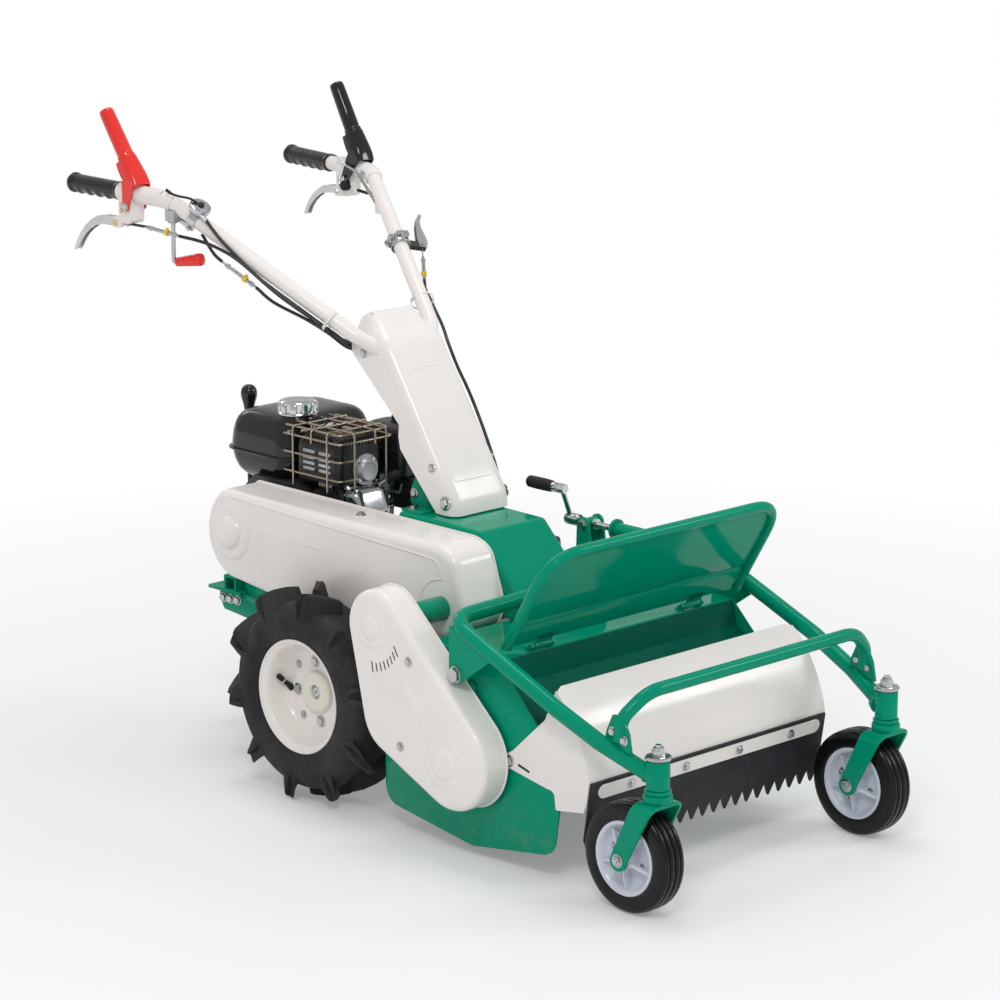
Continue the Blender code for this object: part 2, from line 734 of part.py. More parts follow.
def caster(side, frame):
    name = SIDE_NAME[side]
    x = side * CASTER_TRACK / 2
    axle_y = CASTER_STEM_Y + CASTER_TRAIL
    axle_z = CASTER_RADIUS
    swivel = pivot("caster_" + name, (x, CASTER_STEM_Y, sleeve_low_z()), frame)
    wheel = pivot("caster_wheel_" + name, (x, axle_y, axle_z), swivel)

    inner = CASTER_WIDTH / 2 + FORK_SIDE_GAP
    outer = inner + FORK_PLATE
    crown = fork_top_z()
    crown_front = CASTER_STEM_Y - FORK_LENGTH / 2
    crown_rear = CASTER_STEM_Y + FORK_LENGTH / 2
    side_outline = hull([(crown_front, crown - 0.004), (crown_front + 0.004, crown), (crown_rear, crown)]
                        + circle((axle_y, axle_z), FORK_FOOT_RADIUS, 14))
    fork = prism(side_outline, x - outer, x + outer)
    hollow = block((x - inner, crown_front - 0.1, 0), (x + inner, crown_rear + 0.1, crown - FORK_PLATE))
    collar = [(0, 0), (0, STEM_COLLAR_RADIUS), (STEM_COLLAR_HEIGHT * 0.6, STEM_COLLAR_RADIUS),
              (STEM_COLLAR_HEIGHT + 0.002, STEM_COLLAR_RADIUS - 0.003),
              (STEM_COLLAR_HEIGHT + 0.002, STEM_RADIUS),
              (sleeve_top_z() - crown + 0.002 + STEM_WASHER_HEIGHT / 2, STEM_RADIUS),
              (sleeve_top_z() - crown + 0.002 + STEM_WASHER_HEIGHT / 2, 0)]
    stem = turned(collar, (x, CASTER_STEM_Y, crown - 0.002), "z", 16)
    axle = rod((x - outer - 0.005, axle_y, axle_z), 2 * outer + 0.010, CASTER_AXLE_RADIUS, "x", 12)
    nut_right = hexagon((x - outer - 0.006, axle_y, axle_z), 0.0065, 0.010)
    nut_left = hexagon((x + outer - 0.0005, axle_y, axle_z), 0.0065, 0.010)
    fork = fused(cut(fork, hollow), stem, axle, nut_right, nut_left)
    washer_z = sleeve_top_z() + RUNNING_GAP
    tip = washer_z + STEM_WASHER_HEIGHT + STEM_NUT_HEIGHT + STEM_TIP_HEIGHT
    cap = [(washer_z, 0), (washer_z, STEM_WASHER_RADIUS),
           (washer_z + STEM_WASHER_HEIGHT, STEM_WASHER_RADIUS),
           (washer_z + STEM_WASHER_HEIGHT, STEM_NUT_RADIUS),
           (washer_z + STEM_WASHER_HEIGHT + STEM_NUT_HEIGHT, STEM_NUT_RADIUS),
           (washer_z + STEM_WASHER_HEIGHT + STEM_NUT_HEIGHT, 0.004), (tip, 0.004), (tip, 0)]
    stem_cap = turned(cap, (x, CASTER_STEM_Y, 0), "z", 12)
    piece("caster_fork_" + name, "green_paint", swivel, fused(fork, stem_cap))

    half = CASTER_WIDTH / 2
    tyre_profile = [
        (-0.82 * half, CASTER_HUB_RADIUS + GAP), (-half, CASTER_HUB_RADIUS + 0.012),
        (-0.96 * half, 0.90 * CASTER_RADIUS),
        (-0.70 * half, 0.975 * CASTER_RADIUS), (-0.30 * half, CASTER_RADIUS), (0.30 * half, CASTER_RADIUS),
        (0.70 * half, 0.975 * CASTER_RADIUS), (0.96 * half, 0.90 * CASTER_RADIUS),
        (half, CASTER_HUB_RADIUS + 0.012), (0.82 * half, CASTER_HUB_RADIUS + GAP),
    ]
    centre = (x, axle_y, axle_z)
    piece("caster_tyre_" + name, "black_rubber", wheel, turned(tyre_profile, centre, "x", 20))
    bore = CASTER_AXLE_RADIUS + SHAFT_GAP
    boss = half + FORK_SIDE_GAP - RUNNING_GAP
    hub_profile = [
        (-boss, bore), (-boss, 0.015), (-0.40 * half, 0.018), (-0.40 * half, CASTER_HUB_RADIUS - 0.010),
        (-0.80 * half, CASTER_HUB_RADIUS - 0.004), (-0.80 * half, CASTER_HUB_RADIUS),
        (0.80 * half, CASTER_HUB_RADIUS), (0.80 * half, CASTER_HUB_RADIUS - 0.004),
        (0.40 * half, CASTER_HUB_RADIUS - 0.010), (0.40 * half, 0.018), (boss, 0.015), (boss, bore),
    ]
    piece("caster_hub_" + name, "hub_plastic", wheel, turned(hub_profile, centre, "x", 20))


# Front frame

def stem_x():
    return CASTER_TRACK / 2


def frame_side_path(side):
    """Half of the bent tube, from the middle of the cross tube to the stem sleeve."""
    x = side * FRAME_HALF_WIDTH
    end = (side * (stem_x() + 0.004), CASTER_STEM_Y + 0.010, FRAME_END_Z)
    return [(0, FRAME_CROSS_Y, FRAME_CROSS_Z), (x, FRAME_CROSS_Y, FRAME_CROSS_Z - 0.008),
            (x, FRAME_KNEE_Y, FRAME_KNEE_Z), end]


def pivot_outer_x():
    """Outer face of the gusset that turns on the pivot boss."""
    return FRAME_HALF_WIDTH + 0.008


def front_frame(root):
    body = pivot("front_frame", (0, PIVOT_Y, PIVOT_Z), root)
    left = frame_side_path(LEFT)
    right = frame_side_path(RIGHT)
    bent = rounded_path(right[::-1] + left[1:], FRAME_BEND, 3)
    tube = pipe(bent, FRAME_TUBE_RADIUS, 2)
    extras = []
    for side in (RIGHT, LEFT):
        x = side * stem_x()
        sleeve = turned([(0, 0), (0, STEM_SLEEVE_RADIUS), (STEM_SLEEVE_HEIGHT, STEM_SLEEVE_RADIUS),
                         (STEM_SLEEVE_HEIGHT, 0)], (x, CASTER_STEM_Y, sleeve_low_z()), "z", 16)
        extras.append(sleeve)
        high_y = FRAME_CROSS_Y - 0.004
        slope = (FRAME_KNEE_Z - FRAME_CROSS_Z + 0.008) / (FRAME_KNEE_Y - FRAME_CROSS_Y)
        tip_y = PIVOT_Y - 0.090
        tip_z = FRAME_CROSS_Z - 0.008 + slope * (tip_y - FRAME_CROSS_Y)
        gusset = hull([(high_y, FRAME_CROSS_Z - 0.016), (tip_y, tip_z)]
                      + circle((PIVOT_Y, PIVOT_Z), GUSSET_EYE_RADIUS, 16))
        outer = side * pivot_outer_x()
        extras.append(prism(gusset, outer - side * GUSSET_PLATE, outer))
        lug = hull([(FRAME_CROSS_Y - 0.012, FRAME_CROSS_Z), (FRAME_CROSS_Y + 0.012, FRAME_CROSS_Z)]
                   + circle((FRAME_CROSS_Y, SCREW_Z), 0.012, 12))
        start = SCREW_X + side * (NUT_TUBE_RADIUS + RUNNING_GAP)
        extras.append(prism(lug, start, start + side * BRACKET_PLATE))
    frame = fused(tube, *extras)
    cutters = []
    for side in (RIGHT, LEFT):
        x = side * stem_x()
        cutters.append(rod((x, CASTER_STEM_Y, 0.1), 0.3, STEM_RADIUS + SHAFT_GAP, "z", 16))
        outer = side * pivot_outer_x()
        cutters.append(rod((outer - 0.05, PIVOT_Y, PIVOT_Z), 0.1, PIVOT_RADIUS + SHAFT_GAP, "x", 16))
    pin = rod((SCREW_X - 0.03, FRAME_CROSS_Y, SCREW_Z), 0.06, 0.005, "x", 12)
    frame = fused(cut(frame, *cutters), pin)
    piece("front_frame", "green_paint", body, frame)
    guard_bar(body)
    nut_tube(body)
    return body


def guard_bar(frame_body):
    """The bent bar over the casters; its feet stand on the side tubes."""
    share = (GUARD_FOOT_Y - FRAME_KNEE_Y) / (CASTER_STEM_Y + 0.010 - FRAME_KNEE_Y)
    tube_x = FRAME_HALF_WIDTH + share * (stem_x() + 0.004 - FRAME_HALF_WIDTH)
    tube_z = FRAME_KNEE_Z + share * (FRAME_END_Z - FRAME_KNEE_Z)
    foot_z = tube_z + FRAME_TUBE_RADIUS + 0.0012
    corner_z = foot_z + GUARD_FOOT_HEIGHT
    path = []
    for side in (RIGHT, LEFT):
        half = [(side * tube_x, GUARD_FOOT_Y - 0.002, foot_z + 0.018),
                (side * tube_x, GUARD_FOOT_Y - 0.004, corner_z),
                (side * GUARD_HALF_WIDTH, GUARD_Y, GUARD_TOP_Z)]
        path += half if side == RIGHT else half[::-1]
    bar = pipe(rounded_path(path, 0.030, 3), GUARD_TUBE_RADIUS, 2)
    feet = []
    bolts = []
    for side in (RIGHT, LEFT):
        x = side * tube_x
        slope = (FRAME_END_Z - FRAME_KNEE_Z) / (CASTER_STEM_Y + 0.010 - FRAME_KNEE_Y)
        outline = [(GUARD_FOOT_Y - 0.026, foot_z - 0.026 * slope),
                   (GUARD_FOOT_Y + 0.026, foot_z + 0.026 * slope),
                   (GUARD_FOOT_Y + 0.016, corner_z - 0.012), (GUARD_FOOT_Y - 0.014, corner_z - 0.006)]
        feet.append(prism(outline, x - 0.003, x + 0.003))
        for step in (-0.012, 0.010):
            spot_z = foot_z + 0.013 + step * slope
            start = x + 0.003 - SINK if side == LEFT else x - 0.003 + SINK - 0.006
            bolts.append(hexagon((start, GUARD_FOOT_Y + step, spot_z), 0.006, 0.0065))
    piece("guard_bar", "green_paint", frame_body, fused(bar, *feet), *bolts)


def nut_tube(frame_body):
    """The threaded tube that hangs on the cross tube and takes the height screw."""
    body = pivot("nut_tube", (SCREW_X, FRAME_CROSS_Y, SCREW_Z), frame_body)
    rear = FRAME_CROSS_Y + NUT_TUBE_LENGTH
    tube = turned([(0, NUT_TUBE_BORE), (0, NUT_TUBE_RADIUS + 0.006), (-0.006, NUT_TUBE_RADIUS + 0.006),
                   (-0.006, NUT_TUBE_RADIUS), (-NUT_TUBE_LENGTH - 0.008, NUT_TUBE_RADIUS),
                   (-NUT_TUBE_LENGTH - 0.008, NUT_TUBE_BORE)], (SCREW_X, rear, SCREW_Z), "y", 16)
    hole = rod((SCREW_X - 0.05, FRAME_CROSS_Y, SCREW_Z), 0.1, 0.005 + SHAFT_GAP, "x", 12)
    piece("nut_tube", "green_paint", body, cut(tube, hole))


# Height screw

def deck_slope():
    """Upper and lower edge of the deck's sloping rear sheet, just inside the side plates' edges."""
    inset_y = DECK_PLATE * 2 / 3
    return (DECK_TOP_REAR_Y - inset_y, DECK_TOP_Z), (DECK_REAR_Y - 2 * inset_y,
                                                     DECK_REAR_TOP_Z - DECK_PLATE)


def deck_slope_at(y):
    """Height just above the deck's sloping rear sheet."""
    (top_y, top_z), (low_y, low_z) = deck_slope()
    fall = (top_z - low_z) / (low_y - top_y)
    return top_z - (y - top_y) * fall + GAP * math.hypot(1, fall)


def height_screw(root):
    body = pivot("height_screw", (SCREW_X, SCREW_BEARING_Y, SCREW_Z), root)
    front = SCREW_BEARING_Y - 0.034
    rear = SCREW_BEARING_Y + 0.020
    outline = hull([(front, deck_slope_at(front)), (rear, deck_slope_at(rear))]
                   + circle((SCREW_BEARING_Y, SCREW_Z), 0.014, 12))
    cheeks = [prism(outline, SCREW_X + start, SCREW_X + start + BRACKET_PLATE)
              for start in (-0.020, 0.020 - BRACKET_PLATE)]
    barrel = rod((SCREW_X - 0.019, SCREW_BEARING_Y, SCREW_Z), 0.038, 0.011, "x", 12)
    foot = [(front, deck_slope_at(front)), (rear, deck_slope_at(rear)), (rear, deck_slope_at(rear) + 0.006),
            (front, deck_slope_at(front) + 0.006)]
    base = prism(foot, SCREW_X - 0.032, SCREW_X + 0.032)
    bore = rod((SCREW_X, SCREW_BEARING_Y - 0.05, SCREW_Z), 0.1, SCREW_RADIUS + SHAFT_GAP, "y", 14)
    piece("height_bracket", "green_paint", root, cut(fused(base, barrel, *cheeks), bore))

    elbow = Vector((-math.sin(CRANK_TILT), 0, math.cos(CRANK_TILT))) * CRANK_REACH
    centre = Vector((SCREW_X, SCREW_REAR_Y, SCREW_Z))
    front = SCREW_REAR_Y - SCREW_LENGTH
    collar_y = SCREW_BEARING_Y - 0.011 - RUNNING_GAP
    screw = turned([(0, 0), (0, 0.0105), (-0.030, 0.0105), (-0.030, SCREW_RADIUS),
                    (collar_y - SCREW_REAR_Y, SCREW_RADIUS), (collar_y - SCREW_REAR_Y, 0.010),
                    (collar_y - SCREW_REAR_Y - 0.005, 0.010),
                    (collar_y - SCREW_REAR_Y - 0.005, SCREW_RADIUS),
                    (front - SCREW_REAR_Y, SCREW_RADIUS), (front - SCREW_REAR_Y, 0)],
                   (SCREW_X, SCREW_REAR_Y, SCREW_Z), "y", 14)
    arm_start = centre + Vector((0, -0.010, 0)) + elbow * 0.1
    arm = pipe([arm_start, centre + Vector((0, -0.010, 0)) + elbow * 1.0], 0.0045, 2)
    socket_at = centre + elbow + Vector((0, -0.018, 0))
    socket = rod(socket_at, 0.030, 0.009, "y", 12)
    grip_at = socket_at + Vector((0, 0.030 - SINK, 0))
    grip = turned([(0, 0), (0, CRANK_GRIP_RADIUS * 0.85), (CRANK_GRIP_LENGTH * 0.8, CRANK_GRIP_RADIUS),
                   (CRANK_GRIP_LENGTH, CRANK_GRIP_RADIUS * 0.9), (CRANK_GRIP_LENGTH, 0)], grip_at, "y", 14)
    piece("height_crank", "zinc", body, screw, arm, socket, grip)


# Deck, lid, front cover and flap

def rotor_shield():
    """Points of the sheet that curves down from the deck's front edge, in front of the knives."""
    radius = KNIFE_REACH + SHIELD_CLEARANCE
    points = []
    for degrees in (118, 136, 152):
        angle = math.radians(degrees)
        points.append((ROTOR_Y + radius * math.cos(angle), ROTOR_Z + radius * math.sin(angle)))
    return points


def deck(root):
    top_front = (DECK_TOP_FRONT_Y, DECK_TOP_Z)
    low = DECK_GROUND_CLEARANCE
    front_corner = circle((DECK_FRONT_Y + DECK_CORNER_RADIUS + 0.008, DECK_CORNER_Z), DECK_CORNER_RADIUS,
                          20)
    rear_corner = circle((DECK_REAR_Y - DECK_CORNER_RADIUS, DECK_CORNER_Z), DECK_CORNER_RADIUS, 20)
    side_outline = hull([(ROTOR_Y, low), (DECK_FRONT_Y, 0.132), (COVER_TOP_Y + 0.010, 0.230), top_front,
                         (DECK_TOP_REAR_Y, DECK_TOP_Z), (DECK_REAR_Y, DECK_REAR_TOP_Z)]
                        + front_corner + rear_corner)
    plates = []
    for side in (RIGHT, LEFT):
        outer = side * DECK_HALF_WIDTH
        plate = prism(side_outline, outer - side * DECK_PLATE, outer)
        boss = rod((outer - side * 0.001, PIVOT_Y, PIVOT_Z),
                   side * (pivot_outer_x() + 2 * GAP + SINK - DECK_HALF_WIDTH + 0.001),
                   PIVOT_RADIUS, "x", 16)
        spacer = rod((outer - side * 0.0014, PIVOT_Y, PIVOT_Z),
                     side * (pivot_outer_x() - GUSSET_PLATE - 0.0015 - DECK_HALF_WIDTH + 0.0014),
                     PIVOT_RADIUS + 0.004, "x", 16)
        bearing = rod((outer - side * 0.0006, ROTOR_Y, ROTOR_Z), side * -0.014, 0.030, "x", 16, 0.1)
        hole = rod((outer - side * 0.06, ROTOR_Y, ROTOR_Z), side * 0.12, ROTOR_SHAFT_RADIUS + SHAFT_GAP,
                   "x", 16)
        plates.append(cut(fused(plate, boss, spacer, bearing), hole))
    half = DECK_HALF_WIDTH - DECK_PLATE / 2
    slope_top, slope_low = deck_slope()
    top = sheet_outline([(slope_low[0], 0.085), slope_low, slope_top, top_front] + rotor_shield(),
                        -DECK_PLATE)
    heads = []
    reach = pivot_outer_x() + 2 * GAP
    for side in (RIGHT, LEFT):
        start = reach if side == LEFT else -reach - 0.008
        heads.append(hexagon((start, PIVOT_Y, PIVOT_Z), 0.008, 0.0115))
    piece("mower_deck", "green_paint", root, prism(top, -half, half), *plates, *heads, *lid_hinges())


def lid_hinges():
    """Ears on the deck's front edge with the pins that carry the lid."""
    hinges = []
    for centre in HINGE_CENTRES:
        for step in (-1, 1):
            inner = centre + step * (0.018 + RUNNING_GAP)
            low = DECK_TOP_Z - 2 * SINK
            ear = hull([(LID_HINGE_Y + 0.002, low), (LID_HINGE_Y + 0.020, low)]
                       + circle((LID_HINGE_Y, LID_HINGE_Z), LID_HINGE_RADIUS, 10))
            hinges.append(prism(ear, inner, inner + step * 0.004))
        hinges.append(rod((centre - 0.021, LID_HINGE_Y, LID_HINGE_Z), 0.042, LID_PIN_RADIUS, "x", 10))
    return hinges


def lid(root):
    """The hood: a sheet with a round tube along three sides, hinged on the deck's front edge."""
    body = pivot("lid", (0, LID_HINGE_Y, LID_HINGE_Z), root)
    top = LID_LENGTH - LID_TUBE_RADIUS
    low = 0.014
    corners = [(-LID_HALF_WIDTH, 0, low), (-LID_HALF_WIDTH, 0, top), (LID_HALF_WIDTH, 0, top),
               (LID_HALF_WIDTH, 0, low)]
    path = rounded_path(corners, LID_CORNER, 5)
    rim = pipe(path, LID_TUBE_RADIUS, 2)
    outline = [(point.x, point.z) for point in path]
    sheet = prism(outline, -LID_SHEET / 2, LID_SHEET / 2, "y")
    crease = prism([(-LID_SHEET / 2, 0.058), (LID_SHEET / 2 + 0.003, 0.064), (-LID_SHEET / 2, 0.070)],
                   -LID_HALF_WIDTH + 0.004, LID_HALF_WIDTH - 0.004)
    knuckles = []
    for centre in HINGE_CENTRES:
        tab = prism([(-LID_SHEET / 2, 0), (LID_SHEET / 2, 0), (LID_SHEET / 2, low + 0.010),
                     (-LID_SHEET / 2, low + 0.010)],
                    centre - LID_CENTRE_X - 0.018, centre - LID_CENTRE_X + 0.018)
        knuckle = rod((centre - LID_CENTRE_X - 0.018, 0, 0), 0.036, LID_HINGE_RADIUS, "x", 14)
        knuckles += [tab, knuckle]
    whole = fused(rim, sheet, crease, *knuckles)
    bore = rod((-0.4, 0, 0), 0.8, LID_PIN_RADIUS + GAP, "x", 10)
    whole = cut(whole, bore)
    lean = math.pi / 2 - LID_OPEN_ANGLE
    moved(whole, Matrix.Translation((LID_CENTRE_X, LID_HINGE_Y, LID_HINGE_Z)) @ Matrix.Rotation(lean, 4,
        "X"))
    piece("lid", "green_paint", body, whole)


def cover_profile():
    """The front cover's outer line from its top edge down to the fold where the flap hangs."""
    start = Vector((COVER_TOP_Y, COVER_TOP_Z))
    end = Vector((COVER_FOLD_Y, COVER_FOLD_Z))
    across = (end - start).normalized()
    outward = Vector((across.y, -across.x))
    points = []
    for step in range(7):
        share = step / 6
        bulge = COVER_BULGE * 4 * share * (1 - share)
        points.append(start.lerp(end, share) + outward * bulge)
    leaf = end + Vector((math.sin(FLAP_LEAN), -math.cos(FLAP_LEAN))) * COVER_LEAF
    return [tuple(point) for point in points] + [tuple(leaf)]


def leaf_frame():
    """Places a piece drawn with z down the leaf and y towards the front onto the leaf's outer face."""
    return Matrix.Translation((0, COVER_FOLD_Y, COVER_FOLD_Z)) @ Matrix.Rotation(FLAP_LEAN, 4, "X")


def front_cover(root):
    half = DECK_HALF_WIDTH + GAP + COVER_SHEET
    profile = cover_profile()
    front = prism(sheet_outline(profile, -COVER_SHEET), -half, half)
    parts = [front]
    side_outline = [(COVER_TOP_Y + 0.020, COVER_TOP_Z - 0.058), (-0.512, 0.204), (-0.499, 0.196),
                    (-0.497, 0.182), (-0.509, 0.174),
                    (-0.594, 0.160), (-0.611, 0.158), (-0.615, 0.128), (-0.679, 0.138)]
    inner_line = [(y + 0.001, z) for y, z in profile[::-1]]
    side_outline += inner_line[1:]
    for side in (RIGHT, LEFT):
        outer = side * half
        parts.append(prism(side_outline, outer - side * COVER_SHEET, outer))
        start = outer - SINK if side == LEFT else outer + SINK - 0.006
        parts.append(hexagon((start, COVER_BOLT_Y, COVER_BOLT_Z), 0.006, 0.008))
    piece("front_cover", "white_paint", root, *parts)

    flap_half = DECK_HALF_WIDTH
    pitch = 2 * flap_half / FLAP_TOOTH_COUNT
    outline = [(-flap_half, 0.004), (flap_half, 0.004)]
    for index in range(FLAP_TOOTH_COUNT):
        right = flap_half - index * pitch
        outline.append((right, -FLAP_LENGTH + FLAP_TOOTH))
        outline.append((right - pitch * 0.42, -FLAP_LENGTH))
        outline.append((right - pitch * 0.58, -FLAP_LENGTH))
    outline.append((-flap_half, -FLAP_LENGTH + FLAP_TOOTH))
    flap = prism(outline, -GAP - FLAP_THICKNESS, -GAP, "y")
    piece("rubber_flap", "black_rubber", root, moved(flap, leaf_frame()))

    strip_half = DECK_HALF_WIDTH - 0.016
    face = -2 * GAP - FLAP_THICKNESS
    ends = arc((strip_half - CLAMP_WIDTH / 2, -0.021), CLAMP_WIDTH / 2, -90, 90, 5)
    ends += [(-a, b) for a, b in ends[::-1]]
    strip = moved(prism(ends, face - CLAMP_THICKNESS, face, "y"), leaf_frame())
    bolts = []
    for index in range(CLAMP_BOLT_COUNT):
        x = (2 * (index + 0.5) / CLAMP_BOLT_COUNT - 1) * (strip_half - 0.010)
        start = face - CLAMP_THICKNESS + SINK - 0.005
        bolts.append(moved(hexagon((x, start, -0.021), 0.005, 0.006, "y"), leaf_frame()))
    piece("flap_clamp", "white_paint", root, strip, *bolts)


# Rotor

def rotor(root):
    body = pivot("rotor", (0, ROTOR_Y, ROTOR_Z), root)
    axis = (0, ROTOR_Y, ROTOR_Z)
    drum_half = DECK_HALF_WIDTH - 0.022
    right_end = ROTOR_COVER_FACE_X + 0.012
    left_end = DECK_HALF_WIDTH + 0.004
    pulley_left = pulley_x("rotor") + PULLEY_WIDTH / 2
    pulley_right = pulley_x("rotor") - PULLEY_WIDTH / 2
    groove = ROTOR_PULLEY_RADIUS
    lip = groove + PULLEY_FLANGE
    profile = [(right_end, 0), (right_end, ROTOR_SHAFT_RADIUS), (pulley_right, ROTOR_SHAFT_RADIUS),
               (pulley_right, lip), (pulley_right + 0.004, lip), (pulley_right + 0.004, groove),
               (pulley_left - 0.004, groove), (pulley_left - 0.004, lip), (pulley_left, lip),
               (pulley_left, ROTOR_SHAFT_RADIUS), (-drum_half, ROTOR_SHAFT_RADIUS),
               (-drum_half, ROTOR_DRUM_RADIUS),
               (drum_half, ROTOR_DRUM_RADIUS), (drum_half, ROTOR_SHAFT_RADIUS),
               (left_end, ROTOR_SHAFT_RADIUS),
               (left_end, 0)]
    shaft = turned(profile, axis, "x", 16)
    knives = []
    pitch = 2 * (drum_half - 0.012) / (KNIFE_COUNT - 1)
    root_radius = ROTOR_DRUM_RADIUS - 2 * SINK
    for index in range(KNIFE_COUNT):
        x = -drum_half + 0.012 + index * pitch
        angle = math.radians(135) * index
        half = KNIFE_WIDTH / 2
        outline = [(-half * 0.5, root_radius), (half * 0.5, root_radius), (half, KNIFE_REACH),
                   (-half, KNIFE_REACH)]
        knife = prism(outline, x - KNIFE_THICKNESS / 2, x + KNIFE_THICKNESS / 2)
        place = Matrix.Translation(axis) @ Matrix.Rotation(angle, 4, "X")
        knives.append(moved(knife, place))
    piece("hammer_rotor", "cast_grey", body, shaft, *knives)


# Belt drives

def pulley_x(which):
    """Middle of a pulley along the machine's width."""
    if which == "rotor":
        return ROTOR_COVER_FACE_X + 0.014 + PULLEY_WIDTH / 2
    return (CASE_FACE_X + CASE_BACK_X) / 2 - 0.004


def pulley(x, axis_y, axis_z, groove, shaft, start, end):
    """A shaft with one flat-grooved pulley on it."""
    lip = groove + PULLEY_FLANGE
    low = x - PULLEY_WIDTH / 2
    high = x + PULLEY_WIDTH / 2
    profile = [(start, 0), (start, shaft), (low, shaft), (low, lip), (low + 0.004, lip),
               (low + 0.004, groove),
               (high - 0.004, groove), (high - 0.004, lip), (high, lip), (high, shaft), (end, shaft),
               (end, 0)]
    return turned(profile, (0, axis_y, axis_z), "x", 14)


def belt(x, first, first_radius, second, second_radius):
    """A flat belt round two pulleys, clear of their grooves by the gap."""
    sides = 16
    grow = 1 / math.cos(math.pi / sides)
    inner = hull(circle(first, (first_radius + GAP) * grow, sides) + circle(second,
        (second_radius + GAP) * grow, sides))
    outer = hull(circle(first, (first_radius + BELT_THICKNESS) * grow, sides)
                 + circle(second, (second_radius + BELT_THICKNESS) * grow, sides))
    ring = prism(outer, x - BELT_WIDTH / 2, x + BELT_WIDTH / 2)
    return cut(ring, prism(inner, x - BELT_WIDTH, x + BELT_WIDTH))


def belt_drives(root):
    crank = pivot("crankshaft", (0, CRANKSHAFT_Y, CRANKSHAFT_Z), root)
    counter = pivot("countershaft", (0, COUNTER_Y, COUNTER_Z), root)
    case_x = pulley_x("case")
    rotor_x = pulley_x("rotor")
    engine_pulley = pulley(case_x, CRANKSHAFT_Y, CRANKSHAFT_Z, ENGINE_PULLEY_RADIUS, CRANKSHAFT_RADIUS,
                           case_x - PULLEY_WIDTH / 2 - 0.004, ENGINE_RIGHT_X + CRANK_SOCKET - RUNNING_GAP)
    piece("engine_pulley", "cast_grey", crank, engine_pulley)
    inner_pulley = pulley(case_x, COUNTER_Y, COUNTER_Z, COUNTER_PULLEY_RADIUS, COUNTER_SHAFT_RADIUS,
                          rotor_x, CASE_BACK_X - 0.010)
    outer_pulley = pulley(rotor_x, COUNTER_Y, COUNTER_Z, ROTOR_DRIVE_PULLEY_RADIUS,
                          COUNTER_SHAFT_RADIUS + 0.001,
                          rotor_x - PULLEY_WIDTH / 2 - 0.004, rotor_x + PULLEY_WIDTH / 2 + 0.004)
    piece("countershaft", "cast_grey", counter, fused(outer_pulley, inner_pulley))
    counter_at = (COUNTER_Y, COUNTER_Z)
    engine_belt = belt(case_x, (CRANKSHAFT_Y, CRANKSHAFT_Z), ENGINE_PULLEY_RADIUS, counter_at,
                       COUNTER_PULLEY_RADIUS)
    rotor_belt = belt(rotor_x, (ROTOR_Y, ROTOR_Z), ROTOR_PULLEY_RADIUS, counter_at,
                      ROTOR_DRIVE_PULLEY_RADIUS)
    piece("engine_belt", "belt_rubber", root, engine_belt)
    piece("rotor_belt", "belt_rubber", root, rotor_belt)

    flange_x = -DECK_HALF_WIDTH - GAP
    tube_inner = COUNTER_TUBE_RADIUS - COUNTER_TUBE_WALL
    near = CASE_FACE_X - GAP
    start = flange_x - COUNTER_FLANGE
    bearing = COUNTER_SHAFT_RADIUS + SHAFT_GAP
    tube = turned([(start, bearing), (start, COUNTER_FLANGE_RADIUS), (flange_x, COUNTER_FLANGE_RADIUS),
                   (flange_x, COUNTER_TUBE_RADIUS), (near, COUNTER_TUBE_RADIUS), (near, bearing),
                   (near - BEARING_WIDTH, bearing), (near - BEARING_WIDTH, tube_inner),
                   (start + BEARING_WIDTH, tube_inner), (start + BEARING_WIDTH, bearing)],
                  (0, COUNTER_Y, COUNTER_Z), "x", 20)
    piece("countershaft_tube", "green_paint", root, tube)


def case_outline():
    """The long case seen from the machine's right: y grows to the rear."""
    rear = arc((CASE_REAR_Y, CASE_REAR_Z), CASE_REAR_RADIUS, -70, 62, 12)
    front = arc((COUNTER_Y, COUNTER_Z + 0.003), CASE_FRONT_RADIUS, 168, 262, 7)
    shoulder = [(COUNTER_Y + 0.010, CASE_TOP_Z), (COUNTER_Y - 0.026, CASE_TOP_Z - 0.012)]
    belly = [(0.130, CASE_BOTTOM_Z), (-0.180, CASE_BOTTOM_Z)]
    return hull(rear + front + shoulder + belly)


def dome(at_x, y, z, radius, height, side):
    """A low round boss pressed out of a cover's face."""
    profile = [(side * -0.001, 0), (side * -0.001, radius), (side * height * 0.5, radius * 0.9),
               (side * height, radius * 0.55), (side * height, 0)]
    return turned(profile, (at_x, y, z), "x", 20)


def belt_case(root):
    outline = case_outline()
    spare = CASE_BACK_X + 2 * CASE_ROUND
    outer = softened(prism(outline, CASE_FACE_X, spare), CASE_ROUND, 2, 50)
    inner = prism(inset(outline, CASE_WALL), CASE_FACE_X + CASE_WALL, spare + 0.05)
    behind = prism(inset(outline, -0.02), CASE_BACK_X, spare + 0.05)
    face = CASE_FACE_X
    hole = rod((face - 0.02, COUNTER_Y, COUNTER_Z), 0.05, COUNTER_SHAFT_RADIUS + 0.003, "x", 14)
    bosses = [dome(face, CRANKSHAFT_Y, CRANKSHAFT_Z, 0.044, 0.007, RIGHT)]
    panel = prism([(0.215, 0.335), (0.215, 0.425), (0.045, 0.425), (0.045, 0.325)], face - 0.0012,
                  face + 0.001)
    bolt = hexagon(((CASE_FACE_X + CASE_BACK_X) / 2, 0.130, CASE_TOP_Z - CASE_WALL / 2), 0.008, 0.0075, "z")
    piece("belt_case", "white_paint", root, cut(fused(outer, panel, *bosses), inner, behind, hole), bolt)


